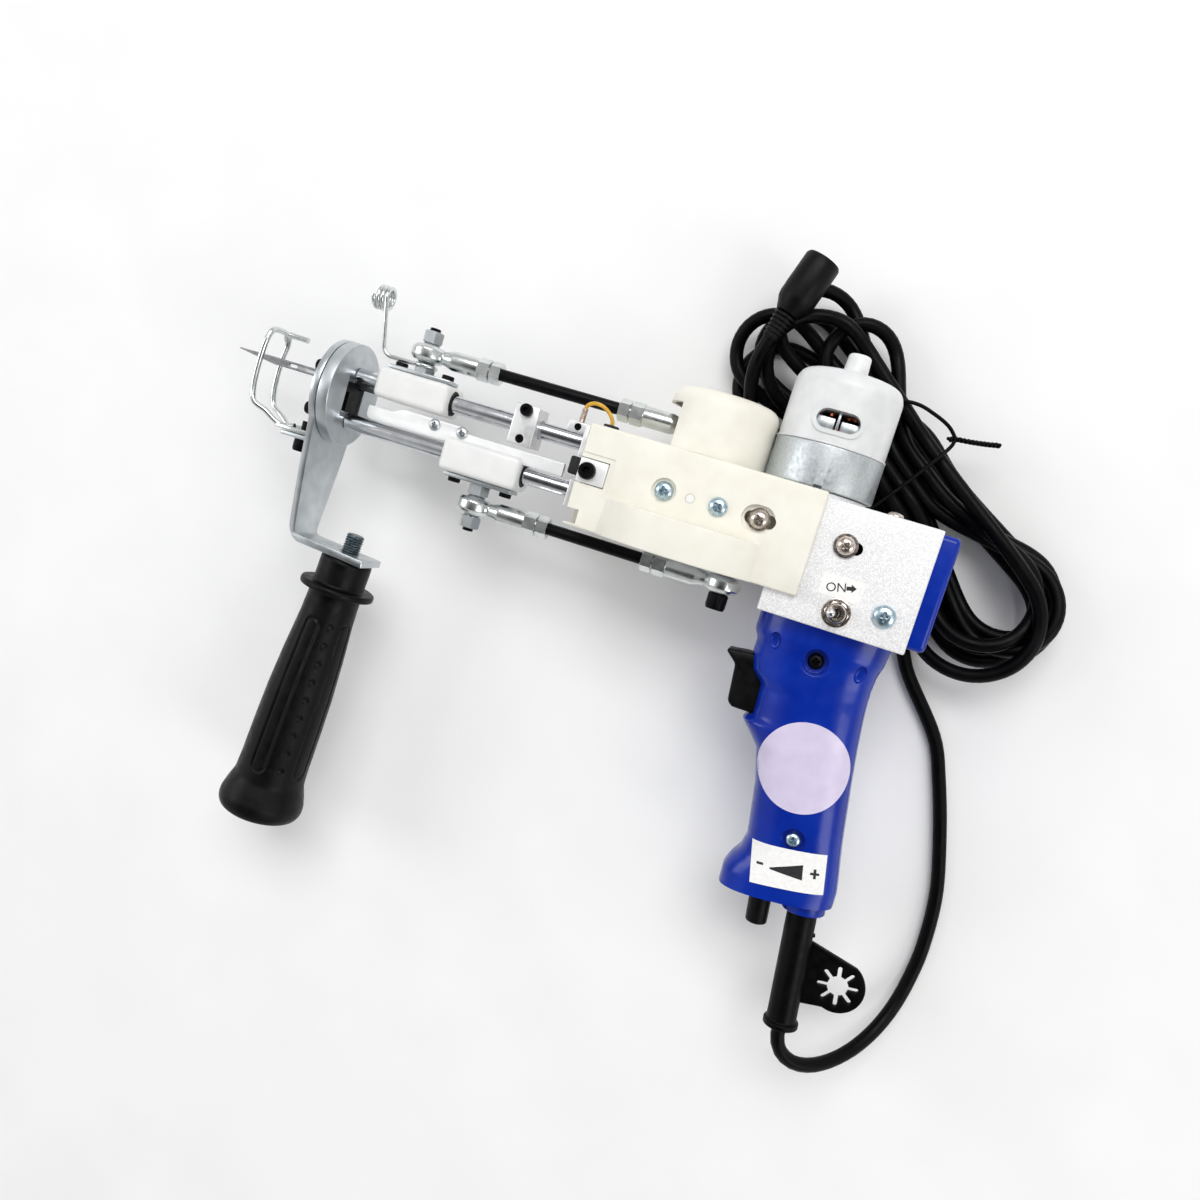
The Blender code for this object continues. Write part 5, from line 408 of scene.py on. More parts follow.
def turned(name, profile, start, direction=(0, 0, 1), sides=64):
    """A spun profile of (radius, height) pairs."""
    bm = bmesh.new()
    line = [bm.verts.new((radius, 0, height)) for radius, height in profile]
    edges = [bm.edges.new(pair) for pair in zip(line, line[1:])]
    bmesh.ops.spin(
        bm, geom=line + edges, cent=(0, 0, 0), axis=(0, 0, 1), angle=2 * math.pi, steps=sides, use_merge=True
    )
    bmesh.ops.remove_doubles(bm, verts=bm.verts, dist=1e-4)
    bmesh.ops.transform(bm, matrix=towards(start, direction), verts=bm.verts)
    return from_bmesh(name, bm)


def rod(name, start, end, radius, edge=0.0, sides=48):
    """A round bar with rounded ends."""
    run = Vector(end) - Vector(start)
    high = run.length
    profile = rounded([(0, 0), (radius, 0), (radius, high), (0, high)], edge, 3) if edge else [
        (0, 0), (radius, 0), (radius, high), (0, high)
    ]
    return turned(name, profile, start, run, sides)


def block(name, low, high, edge=0.0, segments=3):
    low, high = Vector(low), Vector(high)
    bm = bmesh.new()
    bmesh.ops.create_cube(bm, size=1, matrix=Matrix.Translation((low + high) / 2) @ Matrix.Diagonal((*(high - low), 1)))
    obj = from_bmesh(name, bm)
    if edge:
        bevel = obj.modifiers.new("rounded edges", "BEVEL")
        bevel.width = edge
        bevel.segments = segments
        bevel.limit_method = "ANGLE"
    return obj


def slab(name, outline, thickness, plane, edge=0.0, holes=()):
    """A flat plate with a rounded edge, even about its plane."""
    curve = bpy.data.curves.new(name, "CURVE")
    curve.dimensions = "2D"
    curve.fill_mode = "BOTH"
    curve.extrude = thickness / 2 - edge
    curve.bevel_depth = edge
    curve.bevel_resolution = 2
    curve.offset = -edge
    for loop in (outline, *holes):
        spline = curve.splines.new("POLY")
        spline.points.add(len(loop) - 1)
        spline.use_cyclic_u = True
        for point, (across, along) in zip(spline.points, loop):
            point.co = (across, along, 0, 1)
    obj = link(name, curve)
    obj.matrix_world = plane
    return settled(obj)


def wire(name, points, radius, resolution=4):
    curve = bpy.data.curves.new(name, "CURVE")
    curve.dimensions = "3D"
    curve.bevel_depth = radius
    curve.bevel_resolution = resolution
    curve.use_fill_caps = True
    spline = curve.splines.new("POLY")
    spline.points.add(len(points) - 1)
    for point, at in zip(spline.points, points):
        point.co = (*at, 1)
    return link(name, curve)


def flat_xy(z):
    return Matrix.Translation((0, 0, z))


def flat_zy(x):
    """Across the machine: outlines are (z, y)."""
    return Matrix.Translation((x, 0, 0)) @ Matrix(((0, 0, -1, 0), (0, 1, 0, 0), (1, 0, 0, 0), (0, 0, 0, 1)))


def arc(centre, radius, start, stop, steps=24):
    angles = [math.radians(start + (stop - start) * k / steps) for k in range(steps + 1)]
    return [(centre[0] + radius * math.cos(a), centre[1] + radius * math.sin(a)) for a in angles]


def obround(centre, length, height, steps=16):
    radius = height / 2
    reach = length / 2 - radius
    return arc((centre[0] + reach, centre[1]), radius, -90, 90, steps) + arc(
        (centre[0] - reach, centre[1]), radius, 90, 270, steps
    )


def curved(route, step):
    """Points an even step apart on a smooth curve through a route."""
    points = [np.array(p, float) for p in route]
    padded = [2 * points[0] - points[1], *points, 2 * points[-1] - points[-2]]
    fine = []
    for a, b, c, d in zip(padded, padded[1:], padded[2:], padded[3:]):
        for t in np.linspace(0, 1, 16, endpoint=False):
            fine.append((2 * b + (c - a) * t + (2 * a - 5 * b + 4 * c - d) * t**2 + (3 * b - a - 3 * c + d) * t**3) / 2)
    fine = np.array([*fine, points[-1]])
    along = np.concatenate([[0], np.cumsum(np.linalg.norm(np.diff(fine, axis=0), axis=1))])
    places = np.linspace(0, along[-1], max(2, round(along[-1] / step) + 1))
    return [tuple(float(np.interp(s, along, fine[:, axis])) for axis in range(fine.shape[1])) for s in places]


def carve(target, *cutters, operation="DIFFERENCE"):
    """Cuts the cutters out of the target, and clears them away."""
    for cutter in cutters:
        modifier = target.modifiers.new(cutter.name, "BOOLEAN")
        modifier.operation = operation
        modifier.solver = "EXACT"
        modifier.object = cutter
    done = settled(target)
    for cutter in cutters:
        bpy.data.objects.remove(cutter, do_unlink=True)
    return done


def merge(name, *pieces):
    """Several shapes of one material as one piece."""
    bm = bmesh.new()
    for piece in pieces:
        whole = settled(piece)
        bm.from_mesh(whole.data)
        bpy.data.objects.remove(whole, do_unlink=True)
    mesh = bpy.data.meshes.new(name)
    bm.to_mesh(mesh)
    bm.free()
    return link(name, mesh)


def keep(piece, body, paint, slot, *nodes, crease=32):
    """Finishes a drawn piece: in the frame, smooth, painted, riding on its body, standing for its CAD nodes."""
    done = settled(piece)
    done.data.transform(TO_FRAME)
    done.data.shade_smooth()
    done.data.set_sharp_from_angle(angle=math.radians(crease))
    done.data.materials.clear()
    done.data.materials.append(paint)
    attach(done, body)
    if nodes:
        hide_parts(*nodes)
    return done


def dress(paint, *nodes):
    """Gives CAD solids whose shape is right a better material."""
    for name in nodes:
        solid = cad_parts[name]
        for slot in solid.material_slots:
            slot.material = paint


# %% [markdown]
# ## The cord and its hank
#
# A mains cord is one fixed length of round, limp PVC. It leaves the strain relief, sinks to the floor in one wide
# bend, runs under the gear housing's rear and ends in a hank: loops laid on each other, drawn in at the waist by a
# twist of wire. Its free run and the way to its plug are the solid's. In the heap each turn has its own reach and size,
# as in a hank folded by hand, so the loops fan out past the waist. It comes first, because all else lies on it.

# %% The route of the cord
CORD_RADIUS = 3.0
CORD_FLOOR = FLOOR + CORD_RADIUS
RAKE = math.radians(7)
FOOT_DOWN = Vector((math.sin(RAKE), -math.cos(RAKE), 0))
COLLAR_TOP = Vector((91.5, -140 + 9.5 * math.tan(RAKE), 0))
RELIEF_MOUTH = COLLAR_TOP + FOOT_DOWN * 5.2
RELIEF_END = RELIEF_MOUTH + FOOT_DOWN * 50.0
CORD_ROUTE = (
    (102.4, -205.5, -1.5), (108.5, -209.2, -4.5), (116.5, -209.8, -9.5), (125.0, -207.4, -16.5),
    (132.8, -202.2, -23.5), (139.4, -194.4, -29.8), (144.4, -184.0, -34.5), (147.6, -170.5, -37.5),
    (148.9, -153.0, CORD_FLOOR), (146.8, -129.0, CORD_FLOOR), (140.0, -103.5, CORD_FLOOR),
    (132.3, -81.1, CORD_FLOOR), (124.3, -63.5, CORD_FLOOR),
)
HANK_CENTRE = Vector((78.0, 37.0, 0))
HANK_ANGLE = math.atan2(-0.631, 0.776)
HANK_AXIS = Vector((math.cos(HANK_ANGLE), math.sin(HANK_ANGLE), 0))
HANK_SIDE = Vector((HANK_AXIS.y, -HANK_AXIS.x, 0))
HANK_START = ((55.0, 37.0), (40.0, 31.0))
HANK_STEP = 3.0
HANK_GAP = 2 * CORD_RADIUS + 0.2
WAIST_HALF = 17.0
CREST = 20.0
# Each turn of the hank: its run through the waist to the far end, that end's reach, offset and radius, then its run
# back and the near end's reach, offset and radius. Seven runs lie on the floor, and six in the valleys between them.
HANK_TURNS = (
    (18.6, 84, 21, 18, -18.6, 90, -4, 21),
    (6.2, 90, 5, 18, -12.4, 86, 3, 21),
    (12.4, 95, 15, 17, -6.2, 82, -9, 19),
    (0.0, 92, -6, 17, -3.1, 86, -6, 20),
    (3.1, 69, -13, 15.5, -9.3, 79, 0, 21),
    (9.3, 83, 4, 21, -15.5, 88, 8, 25),
)
HANK_LAST = ((17.0, 24.9), (0.0, 24.9), (-17.0, 26.0), (-36.0, 32.0), (-55.0, 38.5))
HANK_END_TURN = math.radians(62)
HANK_END_RADIUS = 29.0


def hank_end(side, reach, offset, radius, first, second):
    """One round end: the arc between the tangents that run to it from its two places in the waist."""
    centre = np.array((reach - radius, offset))
    edges = []
    for slot, sign in ((first, 1), (second, -1)):
        back = np.array((WAIST_HALF, slot)) - centre
        edges.append(math.atan2(back[1], back[0]) - sign * math.acos(radius / np.linalg.norm(back)))
    start, stop = edges[0], edges[1]
    start, stop = (start + math.pi) % (2 * math.pi) - math.pi, (stop + math.pi) % (2 * math.pi) - math.pi
    turns = np.linspace(start, stop, 9)
    return [(side * (centre[0] + radius * math.cos(a)), centre[1] + radius * math.sin(a)) for a in turns]


def eased(values, times):
    for _ in range(times):
        values = values.copy()
        values[1:-1] = (values[:-2] + 2 * values[1:-1] + values[2:]) / 4
    return values


def hank_line():
    """The turns are laid one after another, each strand resting on whatever already lies under it."""
    route = [*HANK_START]
    for k, (first, *far, second, reach, offset, radius) in enumerate(HANK_TURNS):
        third = HANK_TURNS[k + 1][0] if k + 1 < len(HANK_TURNS) else HANK_LAST[0][1]
        route += [(WAIST_HALF, first), (0, first), (-WAIST_HALF, first), *hank_end(-1, *far, first, second)]
        route += [(-WAIST_HALF, second), (0, second), (WAIST_HALF, second)]
        route += hank_end(1, reach, offset, radius, third, second)[::-1]
    route += HANK_LAST
    x, y = HANK_LAST[-1]
    for turn in np.linspace(0, 1, 7)[1:]:
        angle, bend = HANK_END_TURN * turn, y - (y - HANK_END_RADIUS) * turn
        route.append((x - bend * math.sin(angle), bend * math.cos(angle)))
    flat = eased(np.array(curved(route, HANK_STEP)), 8)
    count, skip = len(flat), 9
    apart = np.linalg.norm(flat[:, None] - flat[None], axis=2)
    high = np.zeros(count)
    for softness in (6, 6, 6, 6, 4, 2):
        for k in range(skip, count):
            under = np.flatnonzero(apart[k, : k - skip] < HANK_GAP)
            if len(under):
                high[k] = max(high[k], (high[under] + np.sqrt(HANK_GAP**2 - apart[k, under] ** 2)).max())
        padded = np.pad(high, 6, mode="edge")
        for shift in range(-6, 7):
            drop = CREST - math.sqrt(CREST**2 - (HANK_STEP * shift) ** 2)
            high = np.maximum(high, padded[6 + shift : 6 + shift + count] - drop)
        high = np.maximum(high, eased(high, softness))
    return [(float(x), float(y), float(z)) for (x, y), z in zip(flat, high)]


def hank_place(x, y, z):
    return tuple(HANK_CENTRE + HANK_AXIS * x + HANK_SIDE * y + Vector((0, 0, CORD_FLOOR + z)))


hank_points = hank_line()
hank = [hank_place(*point) for point in hank_points]
into = (Vector(hank[1]) - Vector(hank[0])).normalized()
cord_exit = RELIEF_END + FOOT_DOWN * 0.3
free_route = [tuple(cord_exit), tuple(cord_exit + FOOT_DOWN * 6), *CORD_ROUTE]
free_route += [tuple(Vector(hank[0]) - into * 18), tuple(Vector(hank[0]) - into * 6)]
cord_line = curved(free_route, 4.0) + hank
cord_metres = [tuple(in_frame(point)) for point in cord_line]

# %% The cord, its plug and its tie
cord = wire("cord", cord_metres, CORD_RADIUS * MM, 4)
cord.data.materials.append(pvc)
for spline in cord.data.splines:
    spline.use_smooth = True
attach(cord, "frame")
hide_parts("power_cord", "cord_hank")

out = Vector(hank[-1]) - Vector(hank[-2])
out = Vector((out.x, out.y, 0)).normalized()
plug_start = Vector(hank[-1]) - out * 0.5
relief_ribs = []
for k in range(6):
    low, high = 0.6 + 1.9 * k, 0.6 + 1.9 * k + 1.25
    radius = 3.9 + 0.22 * k
    relief_ribs += [(3.5, low), (radius, low + 0.1), (radius, high - 0.1), (3.5, high)]
plug_profile = [(0, 0), (3.5, 0), *relief_ribs, (5.2, 12.2), (7.6, 17.0), (8.0, 19.0), (8.0, 26.0), (7.9, 36.9),
                (7.2, 38.0), (6.2, 38.0), (6.2, 36.4), (0, 36.4)]
plug = keep(turned("cord_plug", plug_profile, plug_start, out), "frame", black_abs, "black_plastic", "plug")

near = [point for point in hank_points if abs(point[0]) < 8]
TIE_RADIUS = 0.8
tie_low = min(p[1] for p in near) - CORD_RADIUS - TIE_RADIUS - 0.2
tie_high = max(p[1] for p in near) + CORD_RADIUS + TIE_RADIUS + 0.2
tie_top = max(p[2] for p in near) + CORD_RADIUS + TIE_RADIUS + 0.2
knot = (-3.0, tie_low - 1.5, tie_top - 3.5)
over = [(2, tie_high, TIE_RADIUS - CORD_RADIUS), (2, tie_high - 0.6, tie_top - 3), (2, tie_high - 4, tie_top)]
over += [(1, (tie_low + tie_high) / 2, tie_top + 0.3), (-1, tie_low + 5, tie_top + 0.1), knot]
round_side = [knot, (-9, tie_low - 2, tie_top - 3), (-16, tie_low, tie_top - 1.5), (-23, tie_low + 3, tie_top - 1)]
round_side += [(-29, tie_low + 8, tie_top - 1)]
strands = [wire("tie_loop", [hank_place(*p) for p in curved(run, 0.8)], TIE_RADIUS, 3) for run in (over, round_side)]
TWIST_PITCH = 3.4
tail = curved([(-4.5, tie_low + 1, tie_top - 2.6), knot, (1, tie_low - 5.5, tie_top - 4),
               (5, tie_low - 10, tie_top - 6), (9, tie_low - 15, tie_top - 8)], 0.35)
for side in (0, math.pi):
    strand = []
    for k, (x, y, z) in enumerate(tail):
        angle = side + 2 * math.pi * 0.35 * k / TWIST_PITCH
        strand.append(hank_place(x + 0.62 * math.cos(angle), y, z + 0.62 * math.sin(angle)))
    strands.append(wire("tie_tail", strand, 0.75, 2))
tie = keep(merge("twist_tie", *strands), "frame", pvc, "black_plastic", "wire_tie", crease=60)
print("cord ends in", plug.name, "and is tied by", tie.name)

# %% [markdown]
# ## Gear housing
#
# The housing is moulded in two halves of ivory nylon that close on the middle plane. A round bulge holds the big
# drive gear, and on top sits a separate cap over the crank. On the real one the screws sit in a counterbore, a plain
# hole and a slot, and a plug of bare nylon shows between them. It is carved from one block with the solid's sizes,
# and sawn in two, so that the parting line is a real one.

# %% Housing halves
HOUSING_FRONT, HOUSING_REAR = -46.3, 50.2
HALF_HEIGHT, HALF_WIDTH = 20.75, 27.0
BULGE_RADIUS, BULGE_TOP = 41.7, -6.0
SCREW_LINE = 3.2


def upright(name, x, y, bottom, top, radius, edge=0.0, sides=48):
    """A round bar along Z."""
    return rod(name, (x, y, bottom), (x, y, top), radius, edge, sides)


def housing_half(name, side):
    body = block(name, (HOUSING_FRONT, -HALF_HEIGHT, -HALF_WIDTH), (HOUSING_REAR, HALF_HEIGHT, HALF_WIDTH), 0.9, 3)
    bulge = rod("bulge", (0, -HALF_HEIGHT - 0.2, 0), (0, BULGE_TOP, 0), BULGE_RADIUS, 0.8, 160)
    body = carve(body, bulge, operation="UNION")
    cutters = [
        block("box_opening", (37.1, -30, -24.3), (60, 30, 24.3)),
        rod("crank_opening", (0, -30, 0), (0, -18.0, 0), 26.3, 0, 96),
        rod("gear_chamber", (0, -18.75, 0), (0, -7.75, 0), 39.7, 0, 160),
        rod("hub_way", (0, -8.0, 0), (0, 1.0, 0), 7.6, 0, 64),
        rod("guide_bore_upper", (-50, 13.2, 0), (-20.3, 13.2, 0), 4.05),
        rod("guide_bore_lower", (-50, -7.3, 0), (-40.8, -7.3, 0), 4.05),
        block("clamp_recess", (-50, -3.3, 14.2), (-34.2, 7.1, 30)),
        block("clamp_step", (-50, -5.3, 26.5), (-32.3, 9.1, 30)),
        block("front_notch", (-50, -19.7, 12.0), (-41.0, -13.8, 30)),
        rod("shaft_bore", (0, 18, 0), (0, 30, 0), 9.8),
        upright("counterbore", -10.6, SCREW_LINE, 25.5, 30, 5.0),
        upright("plug_seat", 0.2, SCREW_LINE, 26.2, 30, 1.9),
        upright("plain_seat", 11.6, SCREW_LINE, 20, 30, 2.0),
        slab("slot_pocket", obround((27.7, SCREW_LINE), 13.2, 10.8), 4.4, flat_xy(HALF_WIDTH)),
        slab("slot_through", obround((28.4, SCREW_LINE), 12.6, 5.4), 12, flat_xy(22)),
        block("other_half", (-60, -60, min(-side * 60, side * 0.08)), (60, 60, max(-side * 60, side * 0.08))),
    ]
    body = carve(body, *cutters)
    return keep(body, "frame", nylon, "nylon_ivory", name)


left_half = housing_half("housing_left", 1)
right_half = housing_half("housing_right", -1)
left_half.name, right_half.name = "housing_half_left", "housing_half_right"
button = turned(
    "bare_hole_plug", rounded([(0, 26.3), (1.8, 26.3), (1.8, 26.9), (0, 26.9)], 0.2), (0.2, SCREW_LINE, 0)
)
keep(button, "frame", acetal, "acetal_white")
print("housing faces:", len(left_half.data.polygons) + len(right_half.data.polygons))

# %% [markdown]
# ## Crank cover
#
# A round nylon cup stands over the upper crank, open at its front so that the connecting rod can swing. Its top edge
# has a generous radius, and the roof reaches a little past the opening.

# %% Crank cover
cover_profile = rounded([(0, 47.0), (22.5, 47.0), (22.5, 21.05)], 6.5, 8)
cover_profile += rounded([(20.7, 21.05), (20.7, 44.5), (0, 44.5)], 4.0, 5)
cover = turned("crank_cap", [(r, y) for r, y in cover_profile], (0, 0, 0), (0, 1, 0), 128)
cover = carve(cover, block("cap_window", (-40, 10, -40), (-15.2, 39.5, 40), 0.6, 2))
cover = keep(cover, "frame", nylon, "nylon_ivory", "crank_cover")

# %% [markdown]
# ## Motor
#
# The motor is a bought-in one with a standard 44 mm can, drawn from galvanised strip, and a milky plastic cap
# snapped over its brush end. Through the slot in the cap the brush holder and the copper of the armature show, so
# they are modelled too. A turned profile is the natural way for both: the real ones are round as well.

# %% Can and cap
MOTOR_X = 45.0
CAP_RIM = 22.4
can_profile = rounded([(2.8, 21.05), (22.2, 21.05), (22.2, 38.1), (20.7, 38.1), (20.7, 22.6), (2.8, 22.6)], 0.8, 4)
can = turned("drawn_can", can_profile + [can_profile[0]], (MOTOR_X, 0, 0), (0, 1, 0), 128)
can = carve(
    can,
    block("can_notch", (MOTOR_X - 1.6, 20, 18), (MOTOR_X + 1.6, 22.3, 25)),
)
can = keep(can, "frame", drawn_can, "zinc", "motor_can")
lip = turned(
    "can_lip", rounded([(21.0, 38.12), (22.35, 38.12), (22.35, 38.95), (21.0, 38.95)], 0.3, 3), (MOTOR_X, 0, 0), (0, 1, 0), 128
)
lip = keep(lip, "frame", milky, "cap_white")
outside = [(21.8, 38.4), (21.8, 62.7), (20.0, 66.4), (16.7, 67.8), (6.4, 67.8), (5.4, 69.3), (4.9, 70.5), (4.6, 76.4)]
outside += [(3.9, 77.2), (0, 77.2)]
inside = [(0, 73.6), (2.8, 73.6), (2.8, 66.0), (15.5, 66.0), (20.0, 61.5), (20.0, 38.4)]
cap = turned("brush_cap", rounded(outside, 1.6, 4) + rounded(inside, 1.0, 3), (MOTOR_X, 0, 0), (0, 1, 0), 128)
cap = carve(cap, slab("brush_slot", obround((MOTOR_X, 47.5), 17.0, 7.6), 60, flat_xy(0)))
rim = slab("slot_rim", obround((MOTOR_X, 47.5), 20.4, 11.0), 60, flat_xy(0), 0.0, [obround((MOTOR_X, 47.5), 17.0, 7.6)])
rim = carve(rim, rod("rim_face", (MOTOR_X, 40, 0), (MOTOR_X, 55, 0), CAP_RIM, 0, 128), operation="INTERSECT")
rim = carve(rim, rod("rim_back", (MOTOR_X, 38, 0), (MOTOR_X, 57, 0), CAP_RIM - 1.4, 0, 128))
keep(rim, "frame", milky, "cap_white")
cap = keep(cap, "frame", milky, "cap_white", "motor_cap")
print("cap faces:", len(cap.data.polygons))

# %% Brush holder and armature behind the slot
armature = [(0, 26), (15.0, 26), (15.0, 45)]
for k in range(12):
    armature += [(13.6 - 0.35 * k, 45.2 + 0.55 * k), (12.9 - 0.35 * k, 45.5 + 0.55 * k)]
armature += [(8.5, 52), (8.5, 59), (2.5, 59), (2.5, 73.2), (0, 73.2)]
keep(turned("armature", armature, (MOTOR_X, 0, 0), (0, 1, 0), 36), "rotor", copper, "copper")
shaft = rod("motor_shaft", (MOTOR_X, -18.2, 0), (MOTOR_X, 73.3, 0), 2.5, 0.3)
keep(shaft, "rotor", polished, "steel", "motor_rotor")
holders = [
    block("holder", (MOTOR_X - 0.5, 43.9, 8.9), (MOTOR_X + 0.5, 51.2, 19.4), 0.2, 2),
    block("holder", (MOTOR_X - 8.4, 43.6, 15.4), (MOTOR_X - 1.2, 48.6, 17.8), 0.4, 2),
    block("holder", (MOTOR_X + 1.2, 43.6, 15.4), (MOTOR_X + 8.4, 48.2, 17.8), 0.4, 2),
]
keep(merge("brush_holder", *holders), "frame", zinc, "zinc")
leads = []
for x, bow in ((-2.2, 0.9), (2.4, 1.3), (4.0, 1.0)):
    route = [(MOTOR_X + x, 50.6, 13), (MOTOR_X + x * 1.2, 50.9 - bow, 16), (MOTOR_X + x * 1.5, 49.7, 17.7)]
    leads.append(wire("lead", curved(route, 0.5), 0.55, 3))
keep(merge("brush_leads", *leads), "frame", copper, "copper")
print("motor radius, mm: 22.2")

# %% [markdown]
# ## Screws
#
# Most of the screws are pan heads with a cross recess. The head is a turned dome, and the recess is two crossed
# blades that taper to a point, as the driver's tip does. The black ones on the sliding parts have a hexagon socket
# instead, and a rim of fine knurling.


# %% Screw heads
def cross_head(name, at, direction, radius, height, paint, slot, *nodes, washer=0.0, turn=0.3, body="frame"):
    """A pan head with a cross recess, on a washer if asked. Its seat is at the given point."""
    base = 1.0 if washer else 0.0
    top = base + height
    profile = [(0, top), (radius * 0.45, top - 0.05), (radius * 0.8, top - height * 0.25), (radius, base + height * 0.35)]
    profile = rounded(profile + [(radius, base), (1.7, base)], radius * 0.25, 5)
    profile += rounded([(washer, base), (washer, 0), (1.7, 0)], 0.25, 3) if washer else []
    profile += [(1.7, -3.0), (0, -3.0)]
    head = turned(name, profile, (0, 0, 0), (0, 0, 1), 64)
    blades = []
    for angle in (turn, turn + math.pi / 2):
        bm = bmesh.new()
        bmesh.ops.create_cone(bm, cap_ends=True, segments=4, radius1=0.42 * radius, radius2=0.9 * radius, depth=2.4)
        bmesh.ops.rotate(bm, verts=bm.verts, matrix=Matrix.Rotation(math.pi / 4, 3, "Z"))
        bmesh.ops.scale(bm, verts=bm.verts, vec=(1, 0.3, 1))
        bmesh.ops.rotate(bm, verts=bm.verts, matrix=Matrix.Rotation(angle, 3, "Z"))
        bmesh.ops.translate(bm, verts=bm.verts, vec=(0, 0, top - 0.3))
        blades.append(from_bmesh("blade", bm))
    head = carve(head, *blades)
    head.matrix_world = towards(at, direction)
    return keep(head, body, paint, slot, *nodes)


def socket_head(name, at, direction, radius, height, body, paint, slot, *nodes, shank=0.0):
    """A cap screw: knurled rim, hexagon socket, and a shank below its seat."""
    sides = 72
    bm = bmesh.new()
    rings = []
    for r, h, knurl in ((radius, 0, 1), (radius, height * 0.8, 1), (radius * 0.9, height, 0)):
        ring = []
        for k in range(sides):
            reach = r - (0.04 * radius if knurl and k % 3 == 0 else 0)
            a = 2 * math.pi * k / sides
            ring.append(bm.verts.new((reach * math.cos(a), reach * math.sin(a), h)))
        rings.append(ring)
    for low, high in zip(rings, rings[1:]):
        for k in range(sides):
            bm.faces.new((low[k], low[(k + 1) % sides], high[(k + 1) % sides], high[k]))
    bm.faces.new(rings[0])
    bm.faces.new(rings[-1])
    head = from_bmesh(name, bm)
    head = carve(head, rod("socket", (0, 0, height * 0.35), (0, 0, height + 1), radius * 0.52, 0, 6))
    if shank:
        head = merge(name, head, rod("shank", (0, 0, -shank), (0, 0, 0.1), radius * 0.6, 0.2, 32))
    head.matrix_world = towards(at, direction)
    return keep(head, body, paint, slot, *nodes)


cross_head("screw_counterbore", (-10.6, SCREW_LINE, 25.5), (0, 0, 1), 3.8, 2.4, blue_zinc, "steel", "housing_screw_front")
cross_head("screw_plain", (11.6, SCREW_LINE, 27.0), (0, 0, 1), 3.8, 2.4, blue_zinc, "steel", "housing_screw_middle", turn=0.75)
cross_head("screw_slot", (28.0, SCREW_LINE, 24.8), (0, 0, 1), 3.7, 2.4, nickel, "steel", "housing_screw_slot", washer=4.4, turn=0.5)
cross_head("screw_box_slot", (62.1, 3.1, 24.0), (0, 0, 1), 3.6, 2.4, nickel, "steel", "box_screw_slot", washer=4.7, turn=1.1)
cross_head("screw_box_rear", (83.7, -18.2, 24.0), (0, 0, 1), 4.5, 2.4, blue_zinc, "steel", "box_screw_rear", turn=0.1)
cross_head("screw_box_top", (76.6, 19.0, 14.5), (0, 1, 0), 3.4, 2.2, nickel, "steel")
print("screws on the housing and box: 6")

# %% [markdown]
# ## Aluminium box and its rear cover
#
# A folded and blasted aluminium box carries the motor's seat, the switch and the grip. It is a block with barely
# broken edges here, with the slot that its screw slides in. The royal-blue cover behind it is a moulded tray with
# round outer edges.

# %% Box, rear cover and the switch's label
BOX_LOW, BOX_HIGH = (37.4, -29.9, -24.0), (95.0, 19.0, 24.0)
box = block("blasted_box", BOX_LOW, BOX_HIGH, 0.7, 3)
seat = carve(rod("seat", (MOTOR_X, 15, 0), (MOTOR_X, 20.7, 0), 20.5, 0.3, 96), block("front", (0, 0, -40), (37.4, 40, 40)))
box = carve(box, seat, operation="UNION")
box = carve(
    box,
    slab("box_slot", obround((63.9, 3.1), 9.6, 5.0), 20, flat_xy(20)),
    upright("toggle_hole", 66.5, -22.2, 20, 30, 3.8),
    upright("rear_hole", 83.7, -18.2, 20, 30, 2.0),
    block("inside", (39.4, -27.9, -22.0), (96, 17.0, 22.0)),
)
box = keep(box, "frame", blasted, "aluminium", "gearbox_frame")
rear = block("cover_blank", (91.0, -27.4, -23.2), (102.0, 17.9, 23.2), 2.4, 6)
rear = carve(rear, block("cover_inside", (80, -60, -60), (95.05, 60, 60)), block("tray", (90, -23.4, -19.2), (100, 13.9, 19.2)))
rear = keep(rear, "frame", blue_abs, "blue_plastic", "rear_cover")
switch_label = slab("switch_label", rounded([(57.6, -16.9), (73.8, -16.9), (73.8, -8.3), (57.6, -8.3)], 0.5, 3, True), 0.1, flat_xy(24.06))
keep(switch_label, "frame", paper, "aluminium")


def letters(name, words, at, size, turn=0.0):
    """Printed letters, as thin raised ink."""
    font = bpy.data.curves.new(name, "FONT")
    font.body = words
    font.size = size
    font.extrude = 0.02
    font.align_x, font.align_y = "CENTER", "CENTER"
    obj = link(name, font)
    obj.matrix_world = Matrix.Translation(at) @ Matrix.Rotation(turn, 4, "Z")
    return settled(obj)


def arrow(name, tail, length, plane):
    """A printed arrow that points along +X from its tail."""
    x, y = tail
    outline = [(x, y - 0.75), (x + length * 0.5, y - 0.75), (x + length * 0.5, y - 1.6), (x + length, y)]
    outline += [(x + length * 0.5, y + 1.6), (x + length * 0.5, y + 0.75), (x, y + 0.75)]
    return slab(name, outline, 0.04, flat_xy(plane))


marks = merge("switch_marking", letters("on", "ON", (-2.4, 0, 0), 4.9), arrow("way", (1.4, 0), 3.8, 0))
marks.matrix_world = Matrix.Translation((65.9, -12.5, 24.14)) @ Matrix.Rotation(math.radians(13.5), 4, "Z")
keep(marks, "frame", ink, "black_plastic")
print("box faces:", len(box.data.polygons))

# %% [markdown]
# ## Toggle switch
#
# The toggle is held by a nut on its threaded bushing. The thread is drawn as rings a real pitch apart, which reads as
# a thread at this size and needs no helix. The lever leans in its bushing, and its tip is a rounded bulb.


